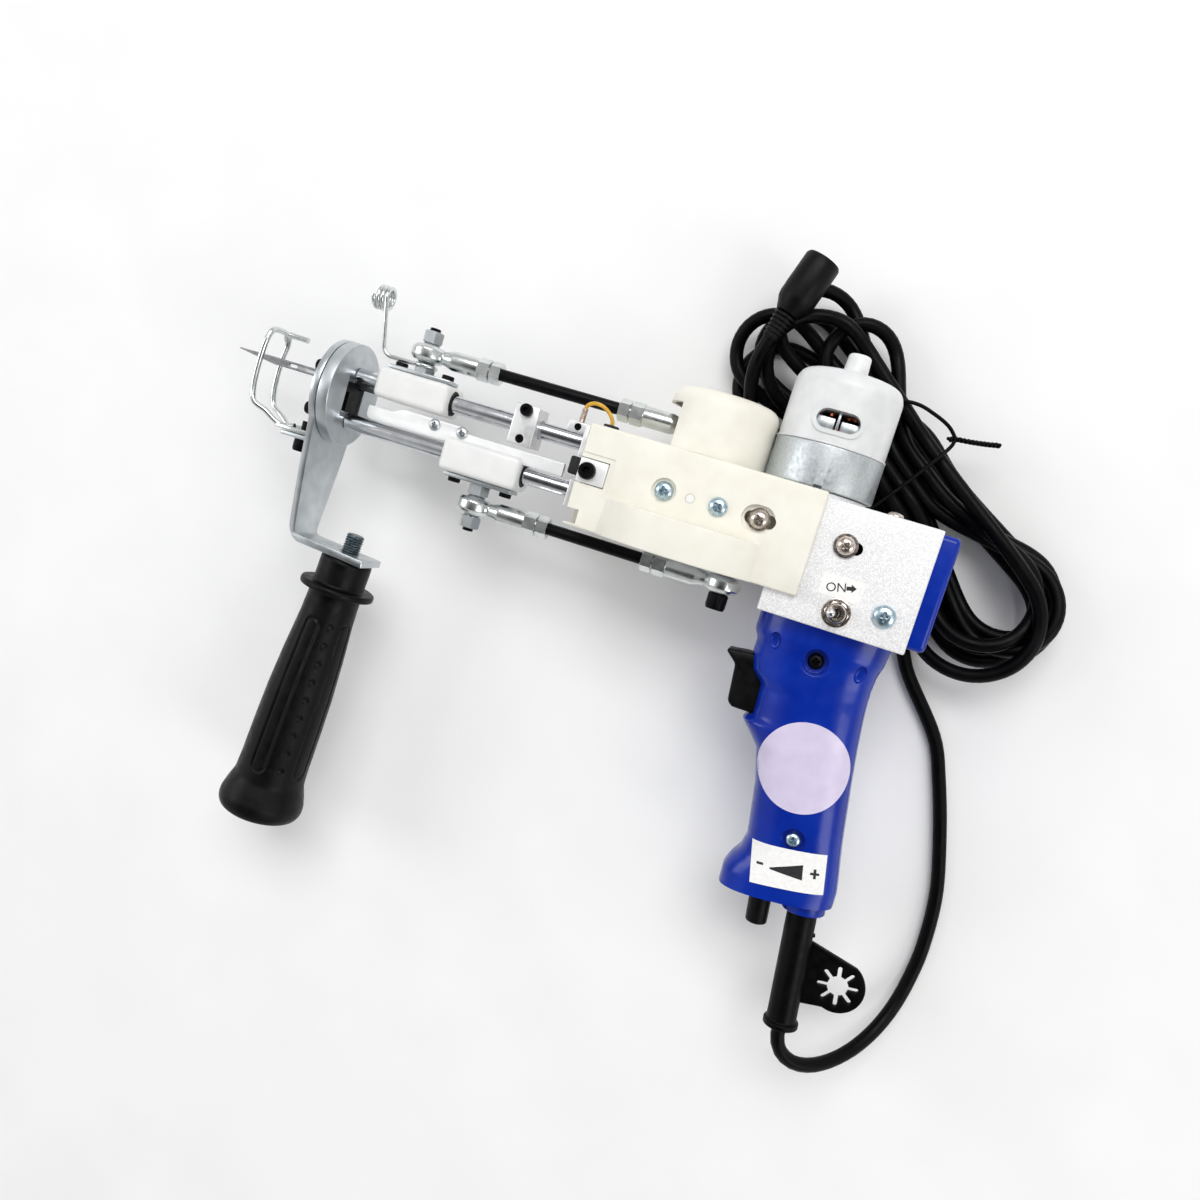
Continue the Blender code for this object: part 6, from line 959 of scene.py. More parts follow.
# %% Threads and nuts
def thread(name, start, direction, length, radius, pitch, sides=40):
    depth = pitch * 0.55
    profile = [(0, 0), (radius - depth, 0)]
    for k in range(int(length / pitch)):
        profile += [(radius - depth, pitch * k + 0.1 * pitch), (radius, pitch * (k + 0.45)), (radius, pitch * (k + 0.6))]
    profile += [(radius - depth, length), (0, length)]
    return turned(name, profile, start, direction, sides)


def hexagon(name, start, direction, radius, height, bore=0.0, chamfer=0.6):
    """A hexagon with its corners turned off, as on a nut or a bolt's head."""
    core = rod(name, (0, 0, 0), (0, 0, height), radius, 0, 6)
    mask = turned(
        "corners", [(0, 0), (radius - chamfer, 0), (radius + 0.1, chamfer * 0.7), (radius + 0.1, height - chamfer * 0.7),
                    (radius - chamfer, height), (0, height)], (0, 0, 0), (0, 0, 1), 48
    )
    nut = carve(core, mask, operation="INTERSECT")
    if bore:
        nut = carve(nut, rod("bore", (0, 0, -1), (0, 0, height + 1), bore, 0, 32))
    nut.matrix_world = towards(start, direction)
    return settled(nut)


# %% Toggle switch
TOGGLE = Vector((66.5, -22.2, 0))
bush = carve(
    thread("bush", TOGGLE + Vector((0, 0, 13)), (0, 0, 1), 17.2, 3.6, 0.7, 48),
    rod("bush_bore", TOGGLE + Vector((0, 0, 25.6)), TOGGLE + Vector((0, 0, 31)), 2.7, 0, 48),
)
washer = turned("washer", rounded([(3.7, 24.05), (5.6, 24.05), (5.6, 24.6), (3.7, 24.6), (3.7, 24.05)], 0.2, 2), TOGGLE)
nut = hexagon("nut", TOGGLE + Vector((0, 0, 24.6)), (0, 0, 1), 4.8, 1.9, 3.4, 0.5)
keep(merge("toggle_bushing", bush, washer, nut), "frame", nickel, "steel", "toggle_switch")
LEVER_TILT = math.radians(12)
pivot = TOGGLE + Vector((0, 0, 27.8))
lean = Vector((-math.sin(LEVER_TILT), 0, math.cos(LEVER_TILT)))
lever_profile = rounded([(0, -1.8), (1.7, -1.2), (1.7, 1.0), (0.95, 2.2), (1.05, 6.0), (1.55, 10.0), (1.6, 12.0), (0, 12.5)], 0.8, 5)
lever = turned("toggle_bat", lever_profile, pivot, lean, 40)
keep(lever, "toggle_lever", chrome, "chrome", "toggle_lever")
print("toggle's pivot, mm:", [round(v, 1) for v in pivot])

# %% [markdown]
# ## Grip
#
# The grip is moulded in two shells of royal-blue ABS. It is a loft: at each height it has a front edge, a rear edge
# and a thickness, and its section is between an oval and a rectangle. Few stations give a smooth form when the values
# between them are eased, which keeps the palm swell and the two finger stops as soft as they are on the real one.

# %% Sections of the grip
GRIP_TOP, GRIP_LENGTH, GRIP_FRONT, GRIP_WIDTH, GRIP_HALF = -30.2, 112.0, 38.4, 64.2, 16.5
GRIP_ROUNDNESS = 2.7
GRIP_STATIONS = np.array((
    (0.000, 0.000, 0.842, 1.08), (0.075, 0.000, 0.828, 1.08), (0.110, 0.030, 0.810, 1.02), (0.170, 0.030, 0.803, 0.97),
    (0.220, 0.055, 0.806, 0.97), (0.260, 0.130, 0.812, 0.97), (0.375, 0.140, 0.835, 0.98), (0.400, 0.088, 0.842, 0.98),
    (0.445, 0.165, 0.853, 0.99), (0.490, 0.235, 0.865, 1.00), (0.610, 0.295, 0.900, 1.00), (0.730, 0.330, 0.935, 0.97),
    (0.810, 0.352, 0.965, 0.94), (0.865, 0.335, 0.985, 0.93), (0.905, 0.290, 0.998, 0.93), (0.945, 0.265, 1.000, 0.93),
    (1.060, 0.275, 1.000, 0.93),
))
shares = np.linspace(0, 1.06, 160)
eased = []
for column in (1, 2, 3):
    values = np.interp(np.linspace(-0.05, 1.11, 400), GRIP_STATIONS[:, 0], GRIP_STATIONS[:, column])
    weights = np.exp(-np.linspace(-2, 2, 13) ** 2)
    soft = np.convolve(np.pad(values, 6, mode="edge"), weights / weights.sum(), mode="valid")
    eased.append(np.interp(shares, np.linspace(-0.05, 1.11, 400), soft))


def grip_section(y):
    """Centre, half width and half thickness of the grip at a height."""
    share = (GRIP_TOP - y) / GRIP_LENGTH
    front, back, half = (float(np.interp(share, shares, column)) for column in eased)
    front, back = GRIP_FRONT + GRIP_WIDTH * front, GRIP_FRONT + GRIP_WIDTH * back
    return (front + back) / 2, (back - front) / 2, GRIP_HALF * half


def grip_height(x, y):
    """How far the grip's upper side stands above the middle plane."""
    centre, reach, half = grip_section(y)
    across = min(abs(x - centre) / reach, 0.999)
    return half * (1 - across**GRIP_ROUNDNESS) ** (1 / GRIP_ROUNDNESS)


print("grip at its palm, mm:", [round(v, 1) for v in grip_section(-85)])

# %% Grip shells
SIDES = 112
bm = bmesh.new()
rings = []
for share in shares:
    y = GRIP_TOP - GRIP_LENGTH * share
    centre, reach, half = grip_section(y)
    ring = []
    for k in range(SIDES):
        turn = 2 * math.pi * k / SIDES
        c, s = math.cos(turn), math.sin(turn)
        power = 2 / GRIP_ROUNDNESS
        ring.append(bm.verts.new((centre + reach * math.copysign(abs(c) ** power, c), y, half * math.copysign(abs(s) ** power, s))))
    rings.append(ring)
for upper, lower in zip(rings, rings[1:]):
    for k in range(SIDES):
        bm.faces.new((upper[k], upper[(k + 1) % SIDES], lower[(k + 1) % SIDES], lower[k]))
bm.faces.new(rings[0])
bm.faces.new(rings[-1])
grip = from_bmesh("grip", bm)
foot = Vector((82.0, -140.0, 0))
foot_cut = block("foot_cut", (-90, -60, -90), (90, 0, 90))
foot_cut.matrix_world = Matrix.Translation(foot) @ Matrix.Rotation(RAKE, 4, "Z")
collar_start = COLLAR_TOP - FOOT_DOWN * 3
collar = turned("collar", rounded([(0, 0), (9.0, 0), (9.0, 8.2), (6.6, 8.2), (0, 8.2)], 0.7, 3), collar_start, FOOT_DOWN, 72)
grip = carve(grip, foot_cut)
grip = carve(grip, collar, operation="UNION")
GRIP_SCREWS = ((65.3, -43.2), (78.7, -114.0))
cutters = [
    rod("relief_hole", COLLAR_TOP - FOOT_DOWN * 4, COLLAR_TOP + FOOT_DOWN * 9, 6.45, 0, 64),
    block("trigger_opening", (30, -72.9, -7.3), (56, -48.5, 7.3), 0.4, 2),
    rod("pot_hole", foot + Vector((-8.2, -1.0, 0)) - FOOT_DOWN * 5, foot + Vector((-8.2, -1.0, 0)) + FOOT_DOWN * 3, 3.4, 0, 32),
]
for x, y in GRIP_SCREWS:
    cutters.append(turned("pocket", rounded([(0, 13.5), (4.7, 13.5), (5.3, 20.0), (0, 20.0)], 0.3, 2), (x, y, 0)))
for x, y, slope in ((47.7, -40.5, 10), (83.2, -43.2, -8)):
    deep = grip_height(x, y) - 1.7
    oval = turned("dent", rounded([(0, deep), (2.2, deep + 0.2), (3.6, deep + 5), (0, deep + 5)], 0.8, 4), (0, 0, 0))
    oval.matrix_world = Matrix.Translation((x, y, 0)) @ Matrix.Rotation(math.radians(slope), 4, "Z") @ Matrix.Diagonal((0.85, 1.35, 1, 1))
    cutters.append(oval)
grip = carve(grip, *cutters)
for name, side in (("grip_left", 1), ("grip_right", -1)):
    half_blank = link(name, grip.data.copy())
    half_blank = carve(half_blank, block("other_shell", (0, -160, min(-side * 40, side * 0.1)), (140, 0, max(-side * 40, side * 0.1))))
    half_blank.name = name + "_blank"
    shell = keep(half_blank, "frame", blue_abs, "blue_plastic", name)
    shell.name = name.replace("grip", "grip_shell")
bpy.data.objects.remove(grip, do_unlink=True)
ridge = turned("boss_ridge", rounded([(5.2, 15.4), (5.4, 16.6), (6.3, 16.8), (7.4, 15.6), (5.2, 15.4)], 0.4, 3), (65.3, -43.2, -0.35), (0, 0, 1), 64)
ridge = carve(ridge, block("upper_part", (50, -44.0, 0), (80, -30, 30)))
keep(ridge, "frame", blue_abs, "blue_plastic")
for name, (x, y) in zip(("upper", "lower"), GRIP_SCREWS):
    cross_head(f"grip_{name}_screw", (x, y, 13.5), (0, 0, 1), 3.2, 2.0, oxide if name == "upper" else blue_zinc, "black_oxide", f"grip_screw_{name}", turn=0.2)
print("grip shells done")

# %% [markdown]
# ## Stickers on the grip
#
# A round lavender sticker and a white strip label follow the grip's curve. Each is a fine grid whose points are set
# on the grip's own height, a tenth of a millimetre proud. The round one is left plain. The strip says what the knob
# does without words: a wedge that grows from minus to plus.


# %% Stickers
def on_grip(name, piece, lift, paint):
    for vertex in piece.data.vertices:
        vertex.co.z = grip_height(vertex.co.x, vertex.co.y) + lift
    sheet = keep(piece, "frame", paint, "blue_plastic", crease=80)
    sheet.name = name
    return sheet


def grid_patch(corners, steps=(40, 20)):
    """A grid between four corners, given round the patch."""
    a, b, c, d = (Vector(p) for p in corners)
    bm = bmesh.new()
    rows = []
    for v in np.linspace(0, 1, steps[1] + 1):
        start, end = a.lerp(d, v), b.lerp(c, v)
        rows.append([bm.verts.new((*start.lerp(end, u), 0)) for u in np.linspace(0, 1, steps[0] + 1)])
    for low, high in zip(rows, rows[1:]):
        for k in range(steps[0]):
            bm.faces.new((low[k], low[k + 1], high[k + 1], high[k]))
    mesh = bpy.data.meshes.new("patch")
    bm.to_mesh(mesh)
    bm.free()
    return link("patch", mesh)


bm = bmesh.new()
rings = [[bm.verts.new((73.5 + r * math.cos(t), -84.9 + r * math.sin(t), 0)) for t in np.linspace(0, 2 * math.pi, 96, endpoint=False)]
         for r in np.linspace(18.3, 0.9, 20)]
for outer, inner in zip(rings, rings[1:]):
    for k in range(96):
        bm.faces.new((outer[k], outer[(k + 1) % 96], inner[(k + 1) % 96], inner[k]))
bm.faces.new(rings[-1])
on_grip("round_sticker", from_bmesh("disc", bm), 0.1, lavender)
LABEL_CORNERS = [Vector(p) for p in ((67.7, -136.1), (96.6, -131.4), (93.2, -115.2), (63.6, -120.0))]
on_grip("strip_label", grid_patch(LABEL_CORNERS), 0.1, paper)


def label_point(u, v):
    a, b, c, d = LABEL_CORNERS
    return a.lerp(b, u).lerp(d.lerp(c, u), v)


def label_patch(u0, u1, v0, v1, v2=None, v3=None):
    v2, v3 = (v0 if v2 is None else v2), (v1 if v3 is None else v3)
    return grid_patch([label_point(u0, v0), label_point(u1, v2), label_point(u1, v3), label_point(u0, v1)], (14, 6))


symbols = [
    label_patch(0.08, 0.17, 0.47, 0.53),
    label_patch(0.26, 0.70, 0.42, 0.46, 0.30, 0.68),
    label_patch(0.80, 0.92, 0.47, 0.53),
    label_patch(0.842, 0.878, 0.38, 0.62),
]
on_grip("strip_marking", merge("symbols", *symbols), 0.16, ink)
print("stickers done")

# %% [markdown]
# ## Trigger, speed knob and strain relief
#
# The trigger is a flat black moulding with a horn at its top. The knob turns the speed potentiometer under the grip.
# Below the collar the cord leaves in a soft PVC sleeve. The sleeve's side tab, with its star-shaped slot, is for
# hanging the machine up, and is moulded in one with it.

# %% Trigger
trigger_outline = [(52.0, -72.4), (52.0, -49.0), (38.8, -49.0), (30.6, -50.1), (30.6, -51.2), (35.25, -55.2), (36.8, -70.4), (38.8, -72.4)]
trigger = slab("trigger_lever", rounded(trigger_outline, 1.2, 4, True), 13.6, flat_xy(0), 1.0)
keep(trigger, "trigger", black_abs, "black_plastic", "trigger")

# %% Speed knob
knob_foot = Vector((73.8, -140 + (73.8 - 82.0) * math.tan(RAKE), 0))
collar_ring = turned("pot_nut", rounded([(3.2, -0.3), (5.4, -0.3), (5.4, 0.8), (3.2, 0.8), (3.2, -0.3)], 0.25, 3), knob_foot, FOOT_DOWN)
keep(collar_ring, "frame", nickel, "zinc")
knob_profile = rounded([(3.4, 1.1), (5.0, 1.1), (5.0, 2.6), (4.7, 3.0), (4.5, 14.4), (3.6, 15.1), (0, 15.1)], 0.5, 4)
knob_profile = [(0, 9.6), (3.3, 9.6), (3.3, 1.1)] + knob_profile[1:]
knob = turned("knob", knob_profile, knob_foot, FOOT_DOWN, 72)
grooves = []
for k in range(14):
    angle = 2 * math.pi * k / 14
    side = Vector((math.cos(angle), math.sin(angle), 0))
    low, high = side * 5.05 + Vector((0, 0, 4.0)), side * 4.9 + Vector((0, 0, 16.0))
    grooves.append(rod("groove", low, high, 0.42, 0, 10))
fluting = merge("fluting", *grooves)
fluting.matrix_world = towards(knob_foot, FOOT_DOWN)
knob = keep(carve(knob, fluting), "speed_knob", black_abs, "black_plastic", "speed_knob")

# %% Strain relief
sleeve_profile = rounded([(3.1, -3.0), (6.2, -3.0), (6.2, 47.2), (7.3, 47.6), (7.3, 50.0), (4.6, 50.0), (3.1, 46.0)], 0.6, 4)
sleeve = turned("sleeve", sleeve_profile + [sleeve_profile[0]], RELIEF_MOUTH, FOOT_DOWN, 72)
across = Vector((math.cos(RAKE), math.sin(RAKE), 0))
tab_axes = Matrix(((FOOT_DOWN.x, across.x, 0, 0), (FOOT_DOWN.y, across.y, 0, 0), (0, 0, 1, 0), (0, 0, 0, 1)))
tab_plane = Matrix.Translation(RELIEF_MOUTH - Vector((0, 0, 3.0))) @ tab_axes
tab = [(12.0, 3.0), *reversed(arc((29.0, 19.8), 11.2, -25, 145, 40)), (40.0, 3.0)]
star = []
for k in range(8):
    angle = 2 * math.pi * (k + 0.2) / 8 + math.pi / 2 - RAKE
    along, side = Vector((math.cos(angle), math.sin(angle))), Vector((-math.sin(angle), math.cos(angle)))
    hub = Vector((29.0, 19.8))
    root = math.sqrt(4.3**2 - 0.85**2)
    star.append(tuple(hub + along * root - side * 0.85))
    for turn in np.linspace(-math.pi / 2, math.pi / 2, 7):
        star.append(tuple(hub + along * (7.55 + 0.85 * math.cos(turn)) + side * 0.85 * math.sin(turn)))
    star.append(tuple(hub + along * root + side * 0.85))
    star.append(tuple(hub + 4.3 * Vector((math.cos(angle + math.pi / 8), math.sin(angle + math.pi / 8)))))
tab = slab("tab", tab, 2.4, tab_plane, 0.5, [star])
nib = block("nib", (-0.6, 5.6, -1.2), (0.6, 6.9, 1.2), 0.3, 2)
nib.matrix_world = tab_plane @ Matrix.Translation((9.6, 0, 3.0))
relief_piece = keep(merge("relief_sleeve", sleeve, tab, nib), "frame", pvc, "black_rubber", "strain_relief")
print("sleeve faces:", len(relief_piece.data.polygons))

# %% [markdown]
# ## Guide rods, sliders and their plates
#
# Two ground rods guide the two sliders. Each slider is a machined block of white acetal, and a black ring at each end
# of its bore is painted shade for the shadow round the rod in the bore. A zinc-plated strip on it carries the ball bolt
# that the connecting rod pulls on. The upper slider drives the needle and the lower one drives the cutter bar.

# %% Guide rods
UPPER_Y, LOWER_Y = 13.2, -7.3
for name, y, rear_x in (("upper", UPPER_Y, -20.6), ("lower", LOWER_Y, -41.1)):
    shaft = rod("shaft", (-161.0, y, 0), (rear_x, y, 0), 3.75, 0.4, 64)
    neck = rod("neck", (-166.2, y, 0), (-160.0, y, 0), 2.5, 0.2, 48)
    keep(merge("ground_rod_" + name, shaft, neck), "frame", polished, "chrome", "guide_rod_" + name)


# %% Sliders
def slider(name, low, high, y):
    """A rounded acetal block with its bore, and a counterbore at each end for a black ring of painted shade round the
    rod.
    """
    blank = carve(block(name, low, high, 2.4, 6), rod("bore", (low[0] - 5, y, 0), (high[0] + 5, y, 0), 3.9, 0, 64))
    painted_shade_rings = []
    # Painted shade: a black ring in each end of the bore stands for the shadow round the rod.
    for end, way in ((low[0], -1), (high[0], 1)):
        blank = carve(blank, rod("seat", (end - way * 1.2, y, 0), (end + way * 3, y, 0), 5.5, 0, 64))
        profile = rounded([(3.85, 0), (5.4, 0), (5.4, 1.3), (4.6, 1.5), (3.85, 0.7), (3.85, 0)], 0.2, 2)
        painted_shade_rings.append(turned("painted_shade_ring", profile, (end - way * 1.1, y, 0), (way, 0, 0), 64))
    return blank, merge(name + "_seals", *painted_shade_rings)


upper, painted_shade_rings = slider("acetal_slider_upper", (-148.8, 6.8, -10.0), (-115.0, 20.1, 10.0), UPPER_Y)
upper = carve(upper, block("needle_slot", (-160, 7.3, -6.1), (-139.5, 11.3, -3.9)))
keep(upper, "needle_slide", acetal, "acetal_white", "upper_slider")
# The black rings at the bore's ends are painted shade.
keep(painted_shade_rings, "needle_slide", rubber, "acetal_white")
lower, painted_shade_rings = slider("acetal_slider_lower", (-111.0, -14.9, -10.0), (-75.2, -0.8, 10.0), LOWER_Y)
lower = carve(lower, block("cutter_slot", (-120, -3.6, 3.75), (-50, 2.7, 6.85)))
keep(lower, "cutter_slide", acetal, "acetal_white", "lower_slider")
keep(painted_shade_rings, "cutter_slide", rubber, "acetal_white")


# %% Strips, ball bolts and their screws
def slider_strip(name, x_low, x_high, near, way, bolt_x, spacer, nut, tip, body, node):
    """The strip with the spacer, bolt and nut that stand on it. The way is 1 up or -1 down."""
    face = near + way * 1.8
    up = (0, way, 0)
    strip = block("strip", (x_low, min(near, face), -5.5), (x_high, max(near, face), 5.5), 0.5, 3)
    pieces = [
        strip,
        hexagon("spacer", (bolt_x, face - way * 0.1, 0), up, 4.8, abs(spacer - face) + 0.1, 0, 0.5),
        rod("stem", (bolt_x, spacer - way, 0), (bolt_x, nut + way, 0), 2.5, 0, 40),
        hexagon("nut", (bolt_x, nut, 0), up, 4.6, 5.0, 0, 0.6),
    ]
    keep(merge(name, *pieces), body, zinc, "zinc", node, crease=24)
    end = thread("bolt_tip", (bolt_x, nut + way * 4.6, 0), up, abs(tip - nut) - 4.6, 2.45, 0.6, 32)
    keep(end, body, oxide, "zinc")
    for x in (x_low + 3.5, x_high - 3.5):
        socket_head(name + "_screw", (x, face, 0), up, 2.7, 2.0, body, oxide, "zinc")


slider_strip("needle_strip", -146.6, -117.2, 20.4, 1, -132.2, 24.3, 35.7, 42.2, "needle_slide", "upper_slider_plate")
slider_strip("cutter_strip", -108.8, -77.4, -15.2, -1, -93.0, -21.4, -31.0, -37.5, "cutter_slide", "lower_slider_plate")
print("sliders run on rods", round(UPPER_Y - LOWER_Y, 1), "mm apart")

# %% [markdown]
# ## Connecting rods
#
# Each connecting rod is a black tie rod between two plated rod ends. A rod end is an eye round a steel ball, with a
# shank that the tie rod screws into and a lock nut that keeps its setting. The ball lets the rod follow the crank
# pin, which circles, while the slider only runs to and fro.


# %% Rod ends and tie rods
def rod_end(name, ball, back, body, node, pin=None):
    """The eye turns about Y. Its shank points back: 1 or -1 along X. A pin ends in a head on one side."""
    x, y = ball
    race = [(5.75 * math.cos(t), 5.75 * math.sin(t)) for t in np.linspace(0.655, -0.655, 9)]
    eye_profile = rounded([(4.6, 3.5), (6.2, 3.5), (7.75, 1.9), (7.75, -1.9), (6.2, -3.5), (4.6, -3.5)], 0.5, 3)
    eye = turned("eye", [*eye_profile[::-1], *race, eye_profile[-1]], (x, y, 0), (0, 1, 0), 80)
    shank_profile = rounded([(0, 6.6), (2.9, 6.6), (3.2, 8.6), (4.3, 12.0), (4.3, 24.6), (0, 24.6)], 0.7, 4)
    shank = turned("shank", shank_profile, (x, y, 0), (back, 0, 0), 56)
    collar = hexagon("collar", (x + back * 24.3, y, 0), (back, 0, 0), 5.0, 5.4, 0, 0.5)
    nut = hexagon("lock_nut", (x + back * 30.2, y, 0), (back, 0, 0), 4.9, 4.8, 0, 0.6)
    neck = rod("neck", (x + back * 29.0, y, 0), (x + back * 31.0, y, 0), 2.7, 0, 32)
    keep(merge(name, carve(eye, shank, operation="UNION"), collar, nut, neck), body, chrome, "chrome", node, crease=24)
    bore = 2.55 if pin is None else 0.0
    ball_profile = [(max(bore, 3.3), 4.5), *[(5.6 * math.cos(t), 5.6 * math.sin(t)) for t in np.linspace(0.93, -0.93, 17)]]
    ball_profile += [(max(bore, 3.3), -4.5), (bore, -4.5), (bore, 4.5), (max(bore, 3.3), 4.5)]
    keep(turned(name + "_ball", ball_profile, (x, y, 0), (0, 1, 0), 64), body, polished, "chrome")
    if pin:
        side, height, paint = pin
        socket_head(name + "_pin", (x, y + side * 4.4, 0), (0, side, 0), 4.25, height, body, paint, "chrome")


def tie_rod(name, start, end, y, body, node):
    """A plain bar whose ends sit in the two lock nuts."""
    bar = rod("bar", (start + 34.6, y, 0), (end - 34.6, y, 0), TIE_ROD, 0.2, 48)
    keep(merge(name, bar), body, oxide, "black_oxide", node)


TIE_ROD = 2.6
for label, front, rear, y, body, pin in (
    ("upper", -132.2, -8.0, 30.9, "needle_rod", (1, 3.0, zinc)),
    ("lower", -93.0, 19.8, -26.2, "cutter_rod", (-1, 6.5, oxide)),
):
    rod_end(f"rod_end_{label}_front", (front, y), 1, body, label + "_rod_front_end")
    rod_end(f"rod_end_{label}_rear", (rear, y), -1, body, label + "_rod_rear_end", pin)
    tie_rod("connecting_bar_" + label, front, rear, y, body, label + "_tie_rod")
print("connecting rods, mm:", round(132.2 - 8.0, 1), round(93.0 + 19.8, 1))

# %% [markdown]
# ## Needle, cutter bar and yarn guide
#
# The needle is a flat blade of hardened steel, ground to a point, with an eye near it for the yarn. The cutter bar is
# a long flat of bright steel that slides past the needle. The yarn goes through the open curls of a bent wire.

# %% Needle and cutter bar
needle_outline = [(-139.8, 7.6), (-139.8, 11.0), (-207.0, 11.0), (-224.6, 10.7), (-225.0, 10.4), (-224.6, 10.1), (-205.8, 7.6)]
eye = obround((-196.3, 9.3), 4.2, 1.5)
needle = slab("hardened_needle", rounded(needle_outline, 0.5, 3, True), 1.6, flat_xy(-5.0), 0.3, [eye])
keep(needle, "needle_slide", hardened, "steel", "needle")
cutter_outline = [(-57.5, -3.3), (-57.5, 2.4), (-103.0, 2.4), (-105.2, 4.6), (-134.3, 4.6), (-138.2, 2.4), (-150.0, 2.4),
                  (-150.0, -2.05), (-148.75, -3.3)]
holes = [arc((x, 2.2), 1.2, 0, 345, 23) for x in (-105.0, -118.0)]
cutter = slab("cutter_flat", rounded(cutter_outline, 0.7, 4, True), 2.5, flat_xy(5.3), 0.25, holes)
keep(cutter, "cutter_slide", blanked, "steel", "cutter_bar")
for x in (-105.0, -118.0):
    cross_head("cutter_screw", (x, 2.2, 6.4), (0, 0, 1), 2.6, 1.5, zinc, "steel", turn=x, body="cutter_slide")

# %% Yarn guide
WIRE_Y, BEND_X, EYE_AT, CURL = 25.35, -152.7, (-156.7, 49.15, -1.0), 4.6
CURL_TURNS, CURL_PITCH, CURL_POINTS = 3.0, 2.1, 48
stem = [(-137.6, WIRE_Y, 0), (-152.9, WIRE_Y, 0), (EYE_AT[0], EYE_AT[1], EYE_AT[2] + CURL)]
route = rounded(stem, 4.5, 14)
for k in range(round(CURL_TURNS * CURL_POINTS) + 1):
    angle = 2 * math.pi * k / CURL_POINTS
    route.append((EYE_AT[0] - CURL_PITCH * k / CURL_POINTS, EYE_AT[1] + CURL * math.sin(angle), EYE_AT[2] + CURL * math.cos(angle)))
ring = [(-132.2 + 4.5 * math.cos(t), 25.35, 4.5 * math.sin(t)) for t in np.linspace(math.pi, 2.85 * math.pi, 60)]
keep(merge("yarn_guide_wire", wire("stem", route, 0.95, 5), wire("ring", [(-137.6, WIRE_Y, 0), *ring], 0.9, 5)),
     "needle_slide", chrome, "chrome", "yarn_guide", crease=60)
print("needle's tip, mm:", min(point[0] for point in needle_outline))

# %% [markdown]
# ## Front disc, bracket and presser foot
#
# The guide rods end in a turned disc. The bracket in front of it is bent from 3 mm strip: it follows the disc, narrows
# to a tail, and turns back under the machine to carry the handle. Four cap screws with spring washers hold the two
# together, and a bent wire foot, which rests on the backing cloth, is screwed to the bracket's tab.


# %% Disc and bracket
def window_cutters(low, high):
    """The opening for needle and cutter: a box with taller sides."""
    pieces = [block("waist", (low, -3.85, -8.2), (high, 9.75, 8.2), 0.4, 2)]
    pieces += [block("side", (low, -6.05, a), (high, 11.95, b), 0.4, 2) for a, b in ((-8.2, -3.6), (3.6, 8.2))]
    return pieces


disc = turned("disc", rounded([(0, 0), (22.9, 0), (22.9, 5.3), (0, 5.3)], 0.5, 3), (-166.6, 4.1, 0), (1, 0, 0), 160)
necks = [rod("neck_hole", (-170, y, 0), (-160, y, 0), 2.8, 0, 32) for y in (UPPER_Y, LOWER_Y)]
keep(carve(disc, *window_cutters(-168, -160), *necks), "frame", zinc, "zinc", "front_disc")
insert = block("guide_insert", (-168.6, -3.7, -8.05), (-161.9, 9.6, 8.05), 0.4, 2)
insert = carve(insert, block("needle_way", (-172, 7.0, -6.4), (-158, 12, -3.6)), block("cutter_way", (-172, -3.9, 3.7), (-158, 5.2, 6.9)))
keep(insert, "frame", black_abs, "black_plastic")
BACK, FRONT, BEND_Y, LEG_Y = -166.9, -169.9, -61.6, -64.6
LEAN = math.tan(math.radians(4.6))
LEG_END = BACK + 35.0
side_view = [(BACK, 27.2), (FRONT, 27.2), *curved([(FRONT, -56.6), (FRONT + 0.55, -59.8), (FRONT + 2.2, -62.8), (FRONT + 5.0, LEG_Y)], 0.8)]
side_view += [(LEG_END, LEG_Y - 30.0 * LEAN), (LEG_END, LEG_Y - 30.0 * LEAN + 3.0)]
side_view += curved([(FRONT + 5.6, LEG_Y + 3.0), (FRONT + 3.9, -60.9), (FRONT + 3.1, -59.0), (BACK, -56.6)], 0.8)
bracket = slab("bracket_strip", side_view, 48, flat_xy(0))
front_view = [*arc((0, 4.1), 22.9, -38, 218, 120), (-15.5, -30), (-9.8, BEND_Y), (-9.8, -110), (9.8, -110), (9.8, BEND_Y), (15.5, -30)]
bracket = carve(bracket, slab("bracket_shape", front_view, 80, flat_zy((FRONT + LEG_END) / 2)), operation="INTERSECT")
leg_corners = block("leg_corners", (LEG_END - 6, -80, -30), (LEG_END + 2, -58, 30))
rounding = rod("rounding", (LEG_END - 6.0, -80, 0), (LEG_END - 6.0, -58, 0), 11.2, 0, 96)
bracket = carve(bracket, carve(leg_corners, rounding))
bracket = carve(bracket, *window_cutters(-171, -165), rod("stud_hole", (-143.3, -72, 0), (-143.3, -55, 0), 4.3, 0, 48))
bracket.modifiers.new("edges", "BEVEL").width = 0.35
bracket.modifiers["edges"].segments = 2
bracket.modifiers["edges"].limit_method = "ANGLE"
bracket.modifiers["edges"].angle_limit = math.radians(50)
tab = block("tab", (-187.9, -21.2, -6.5), (-168.4, -19.2, 6.5), 0.5, 3)
tab = carve(tab, rod("tab_hole", (-179.3, -25, 0), (-179.3, -15, 0), 2.8, 0, 32))
keep(merge("bent_bracket", bracket, tab), "frame", zinc, "zinc", "handle_bracket")
for dy in (-9.4, 9.4):
    for dz in (-13.8, 13.8):
        at = (FRONT, 2.95 + dy, dz)
        washer = turned("spring_washer", rounded([(1.8, 0), (3.3, 0), (3.3, 1.0), (1.8, 1.0), (1.8, 0)], 0.2, 2), at, (-1, 0, 0), 48)
        keep(washer, "frame", chrome, "zinc")
        socket_head("disc_screw", (FRONT - 1.0, 2.95 + dy, dz), (-1, 0, 0), 2.8, 3.2, "frame", oxide, "zinc")

